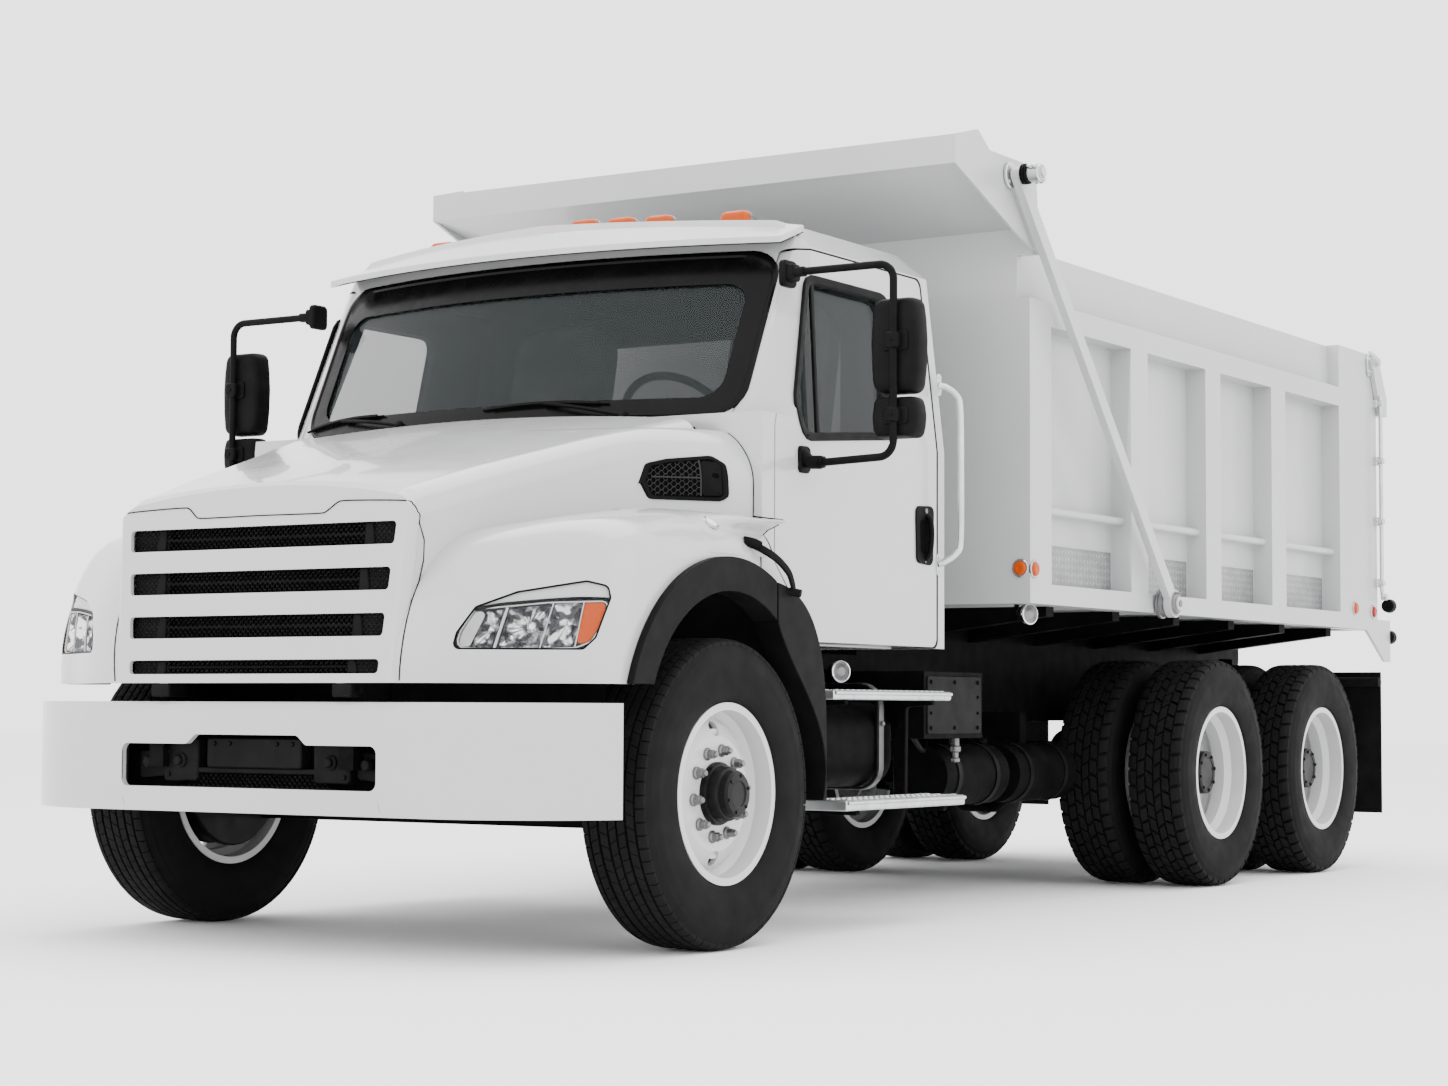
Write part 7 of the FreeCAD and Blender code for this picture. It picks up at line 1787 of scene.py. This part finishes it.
def strap(outline, plane, start, end, thick):
    """A band round an outline: the outline and a wider one, carried along the third axis as a ring."""
    outer = inset(outline, -thick)
    a, b, c = PLANES[plane]
    rings = [(outline, start), (outer, start), (outer, end), (outline, end)]
    points = np.empty((4, len(outline), 3))
    for index, (ring, place) in enumerate(rings):
        points[index, :, a], points[index, :, b], points[index, :, c] = ring[:, 0], ring[:, 1], place
    return grid(points, wrap_rows=True, wrap_columns=True)


class TRUCK_OT_steps(bpy.types.Operator):
    """Alloy step boards with raised rings on black hangers"""
    bl_idname = "truck.steps"
    bl_label = "Steps"

    def execute(self, context):
        x = FRONT_AXLE[0]
        boards = joined([step_board((x - 1.690, 0.965, 0.822), (x - 0.800, 1.130, 0.856)),
                         step_board((x - 1.690, 1.005, 0.430), (x - 0.790, 1.188, 0.468))])
        outline = arc_corners([(0.468, 0.700), (0.468, 0.800), (0.960, 0.824), (1.120, 0.824),
                               (1.128, 0.806), (1.010, 0.796), (1.006, 0.470), (1.170, 0.432),
                               (1.176, 0.412), (0.958, 0.416), (0.950, 0.740)], 0.012, 3)
        hangers = []
        for place in (-0.900, -1.560):
            hangers.append(prism(outline, "yz", x + place - 0.012, x + place + 0.012, 0.003))
            for z in (0.505, 0.560, 0.730, 0.780):
                hangers.append(bolt((x + place + 0.012, 0.982, z), AHEAD, 0.008, 0.007))
        piece("step_boards", both(boards), "step_alloy", "chassis", 40.0, ("cab_steps",))
        piece("step_hangers", both(joined(hangers)), "chassis_black", "chassis")
        return {"FINISHED"}


def work_lamp(centre, axis, radius):
    """A round lamp: black bucket, chromed ring and a domed pale lens with rings."""
    bucket = lathe([(radius * 0.35, -0.050), (radius * 0.7, -0.044), (radius * 0.98, -0.018),
                    (radius * 1.02, 0.0), (radius * 0.9, 0.004)], centre, axis, 32)
    ring = lathe([(radius * 1.02, -0.004), (radius * 1.08, 0.002), (radius * 1.05, 0.009),
                  (radius * 0.92, 0.011), (radius * 0.88, 0.006)], centre, axis, 36)
    lens = lathe([(radius * 0.9, 0.003), (radius * 0.86, 0.008), (radius * 0.7, 0.011),
                  (radius * 0.66, 0.0095), (radius * 0.5, 0.013), (radius * 0.46, 0.0115),
                  (radius * 0.25, 0.0145), (0.004, 0.015)], centre, axis, 32)
    return bucket, ring, lens


def box_bolts(low, high):
    """Bolts on the lid of the panel box: a larger six above and below, and four smaller ones between."""
    parts = []
    for shares_x, shares_z, radius, height in (((0.10, 0.5, 0.90), (0.16, 0.84), 0.008, 0.007),
                                               ((0.10, 0.90), (0.38, 0.62), 0.006, 0.006)):
        for share_x in shares_x:
            for share_z in shares_z:
                parts.append(bolt((low[0] + (high[0] - low[0]) * share_x, high[1] + 0.006,
                                   low[2] + (high[2] - low[2]) * share_z), OUT, radius, height))
    return parts


class TRUCK_OT_chassis_parts(bpy.types.Operator):
    """Tank straps, box lid and bolts, drain valve, air tank bands, hoses and work lamps"""
    bl_idname = "truck.chassis_parts"
    bl_label = "Chassis parts"

    def execute(self, context):
        low, high = node_box("fuel_tanks")
        section = rectangle((0.478, low[2] - 0.002), (high[1] + 0.002, high[2] + 0.002), 0.075, 8)
        section = resampled(section, 72)
        blacks, brights = [], []
        for place in (low[0] + 0.13, high[0] - 0.18):
            blacks.append(strap(section, "yz", place, place + 0.055, 0.008))
            brights.append(strap(inset(section, -0.008), "yz", place + 0.010, place + 0.045, 0.003))
            brights.append(bolt((place + 0.0275, high[1] + 0.012, high[2] - 0.14), OUT, 0.010, 0.012))
        low, high = node_box("panel_box")
        lid = rectangle((low[0] + 0.020, low[2] + 0.018), (high[0] - 0.020, high[2] - 0.018), 0.012, 4)
        blacks.append(prism(lid, "xz", high[1] - 0.002, high[1] + 0.006, 0.003))
        blacks += box_bolts(low, high)
        brights.append(lathe([(0.016, 0.004), (0.016, -0.030), (0.022, -0.034), (0.022, -0.052),
                              (0.012, -0.058), (0.012, -0.078), (0.018, -0.082), (0.018, -0.094),
                              (0.006, -0.098)], (low[0] + 0.12, high[1] - 0.06, low[2]), (0, 0, 1), 20))
        angle = 2 * np.pi * np.arange(48) / 48
        ring = np.stack([0.680 + 0.1265 * np.cos(angle), 0.520 + 0.1265 * np.sin(angle)], 1)
        for place in (-2560, -3220):
            for share in (-0.17, 0.17):
                at = FRONT_AXLE[0] + place / 1000 + share
                blacks.append(strap(ring, "yz", at - 0.016, at + 0.016, 0.004))
        for hose in HOSES:
            start, end = from_axle(hose)
            blacks.append(tube(smooth_path([start, (start + end) / 2 + HOSE_SAG, end], 8), 0.011, 10))
        piece("chassis_black_parts", both(joined(blacks)), "hose_black", "chassis", 40.0)
        piece("chassis_bright_parts", both(joined(brights)), "zinc", "chassis", 40.0)
        lamps = [work_lamp(from_axle([place])[0], axis, radius) for place, axis, radius, arm in WORK_LAMPS]
        buckets, rings, lenses = zip(*lamps)
        arms = tuple(tube(rounded_path(from_axle(arm), 0.02), 0.010, 10)
                     for place, axis, radius, arm in WORK_LAMPS)
        piece("work_lamp_buckets", both(joined(buckets + arms)), "black_plastic", "chassis",
              40.0)
        piece("work_lamp_rings", both(joined(rings)), "rod_chrome", "chassis", 40.0)
        piece("work_lamp_lenses", both(joined(lenses)), "lamp_dim", "chassis", 40.0)
        return {"FINISHED"}


# Camera and stage

CAMERA_AT = (10.4466, 6.0273, 0.7872)
CAMERA_YAW = 212.29
CAMERA_PITCH = 3.43
CAMERA_ROLL = 0.28
CAMERA_LENS = 68.82


def place_camera():
    """A camera at the photo's viewing angle, turned by its yaw, pitch and roll."""
    yaw, pitch, roll = (math.radians(v) for v in (CAMERA_YAW, CAMERA_PITCH, CAMERA_ROLL))
    ahead = np.array([math.cos(yaw) * math.cos(pitch), math.sin(yaw) * math.cos(pitch), math.sin(pitch)])
    right = np.cross(ahead, [0, 0, 1.0])
    right /= np.linalg.norm(right)
    up = np.cross(right, ahead)
    tilted_right = right * math.cos(roll) + up * math.sin(roll)
    tilted_up = up * math.cos(roll) - right * math.sin(roll)
    camera = bpy.data.objects.new("camera", bpy.data.cameras.new("camera"))
    camera.data.sensor_width = 36.0
    camera.data.lens = CAMERA_LENS
    camera.data.clip_end = 200.0
    matrix = np.eye(4)
    matrix[:3, 0], matrix[:3, 1], matrix[:3, 2], matrix[:3, 3] = tilted_right, tilted_up, -ahead, CAMERA_AT
    camera.matrix_world = Matrix(matrix.tolist())
    bpy.context.scene.collection.objects.link(camera)
    bpy.context.scene.camera = camera


def light(name, place, target, size, power, size_y=None):
    """A soft area light at a place, facing a target."""
    data = bpy.data.lights.new(name, "AREA")
    data.shape = "RECTANGLE"
    data.size, data.size_y, data.energy = size, size_y or size, power
    lamp = bpy.data.objects.new(name, data)
    way = np.array(target, float) - np.array(place, float)
    way /= np.linalg.norm(way)
    right = np.cross(way, [0, 0, 1.0] if abs(way[2]) < 0.95 else [1.0, 0, 0])
    right /= np.linalg.norm(right)
    matrix = np.eye(4)
    matrix[:3, 0], matrix[:3, 1], matrix[:3, 2], matrix[:3, 3] = right, np.cross(right, way), -way, place
    lamp.matrix_world = Matrix(matrix.tolist())
    bpy.context.scene.collection.objects.link(lamp)


class TruckStage(bpy.types.PropertyGroup):
    floor_reach: bpy.props.FloatProperty(name="Floor reach", description="Half the floor's width",
                                         default=60.0, unit="LENGTH")
    sky_strength: bpy.props.FloatProperty(name="Sky strength", default=2.8, min=0.0,
                                          description="Brightness of the even white sky")


class TRUCK_OT_stage(bpy.types.Operator):
    """Pale floor, even sky, soft lights and the camera"""
    bl_idname = "truck.stage"
    bl_label = "Stage"

    def execute(self, context):
        settings = context.scene.truck_stage
        reach = settings.floor_reach
        x, y = np.meshgrid([-reach, reach], [-reach, reach])
        points = np.stack([x, y, np.full_like(x, -0.001)], -1)
        mesh = bpy.data.meshes.new("floor")
        verts, groups = grid(points)
        mesh.from_pydata(verts.tolist(), [], groups[0][:, ::-1].tolist())
        floor = bpy.data.objects.new("floor", mesh)
        context.scene.collection.objects.link(floor)
        pale = Shader("floor_pale")
        pale.colour(pale.blend(pale.noise(0.4), (0.93, 0.93, 0.93), (0.95, 0.95, 0.95)))
        pale.set(Roughness=0.9)
        mesh.materials.append(pale.material)
        world = bpy.data.worlds.new("sky")
        world.use_nodes = True
        world.node_tree.nodes["Background"].inputs["Color"].default_value = (1, 1, 1, 1)
        world.node_tree.nodes["Background"].inputs["Strength"].default_value = settings.sky_strength
        context.scene.world = world
        light("overhead", (0, 0, 9), (0, 0, 0), 9.0, 600.0, 6.0)
        light("side", (1, 10, 6), (0, 0, 1.2), 7.0, 160.0)
        light("front", (12, -2, 5), (2, 0, 1.2), 6.0, 170.0)
        place_camera()
        return {"FINISHED"}


class TRUCK_OT_finishes(bpy.types.Operator):
    """Gives each CAD node the finish of its material slot"""
    bl_idname = "truck.finishes"
    bl_label = "Finishes"

    def execute(self, context):
        materials.update(make_materials(context.scene.truck_paint))
        for name, node in frame["nodes"].items():
            slots = node.material_slots
            if not slots:
                raise RuntimeError(name + " has no material slot")
            for slot in slots:
                finish = slot.material.name.split(".")[0]
                if finish not in materials:
                    raise RuntimeError(name + " asks for the unknown finish " + finish)
                slot.material = materials[finish]
        return {"FINISHED"}


CLASSES = (TruckPaint, TruckEdges, TruckStage, TRUCK_OT_finishes, TRUCK_OT_panels, TRUCK_OT_tyres,
           TRUCK_OT_hubs, TRUCK_OT_headlamps, TRUCK_OT_flanks, TRUCK_OT_fender_parts, TRUCK_OT_grille,
           TRUCK_OT_bumper_parts, TRUCK_OT_windshield, TRUCK_OT_interior, TRUCK_OT_mirrors,
           TRUCK_OT_door_parts, TRUCK_OT_cab_parts, TRUCK_OT_bed_parts, TRUCK_OT_steps,
           TRUCK_OT_chassis_parts, TRUCK_OT_stage)
STEPS = ("finishes", "panels", "tyres", "hubs", "headlamps", "flanks", "fender_parts", "grille",
         "bumper_parts", "windshield", "interior", "mirrors", "door_parts", "cab_parts", "bed_parts",
         "steps", "chassis_parts", "stage")


class TRUCK_PT_panel(bpy.types.Panel):
    """Lists the truck's operators in the sidebar"""
    bl_idname = "TRUCK_PT_panel"
    bl_label = "Dump Truck"
    bl_space_type = "VIEW_3D"
    bl_region_type = "UI"
    bl_category = "Dump Truck"

    def draw(self, context):
        for item in STEPS:
            self.layout.operator("truck." + item)


def register():
    """Adds the classes and their settings to Blender."""
    for item in CLASSES + (TRUCK_PT_panel,):
        bpy.utils.register_class(item)
    bpy.types.Scene.truck_paint = bpy.props.PointerProperty(type=TruckPaint)
    bpy.types.Scene.truck_edges = bpy.props.PointerProperty(type=TruckEdges)
    bpy.types.Scene.truck_stage = bpy.props.PointerProperty(type=TruckStage)


def unregister():
    """Takes the settings and classes out of Blender again."""
    del bpy.types.Scene.truck_paint
    del bpy.types.Scene.truck_edges
    del bpy.types.Scene.truck_stage
    for item in reversed(CLASSES + (TRUCK_PT_panel,)):
        bpy.utils.unregister_class(item)


def main():
    """Dresses the truck step by step."""
    register()
    for item in STEPS:
        getattr(bpy.ops.truck, item)()


if __name__ == "__main__":
    main()
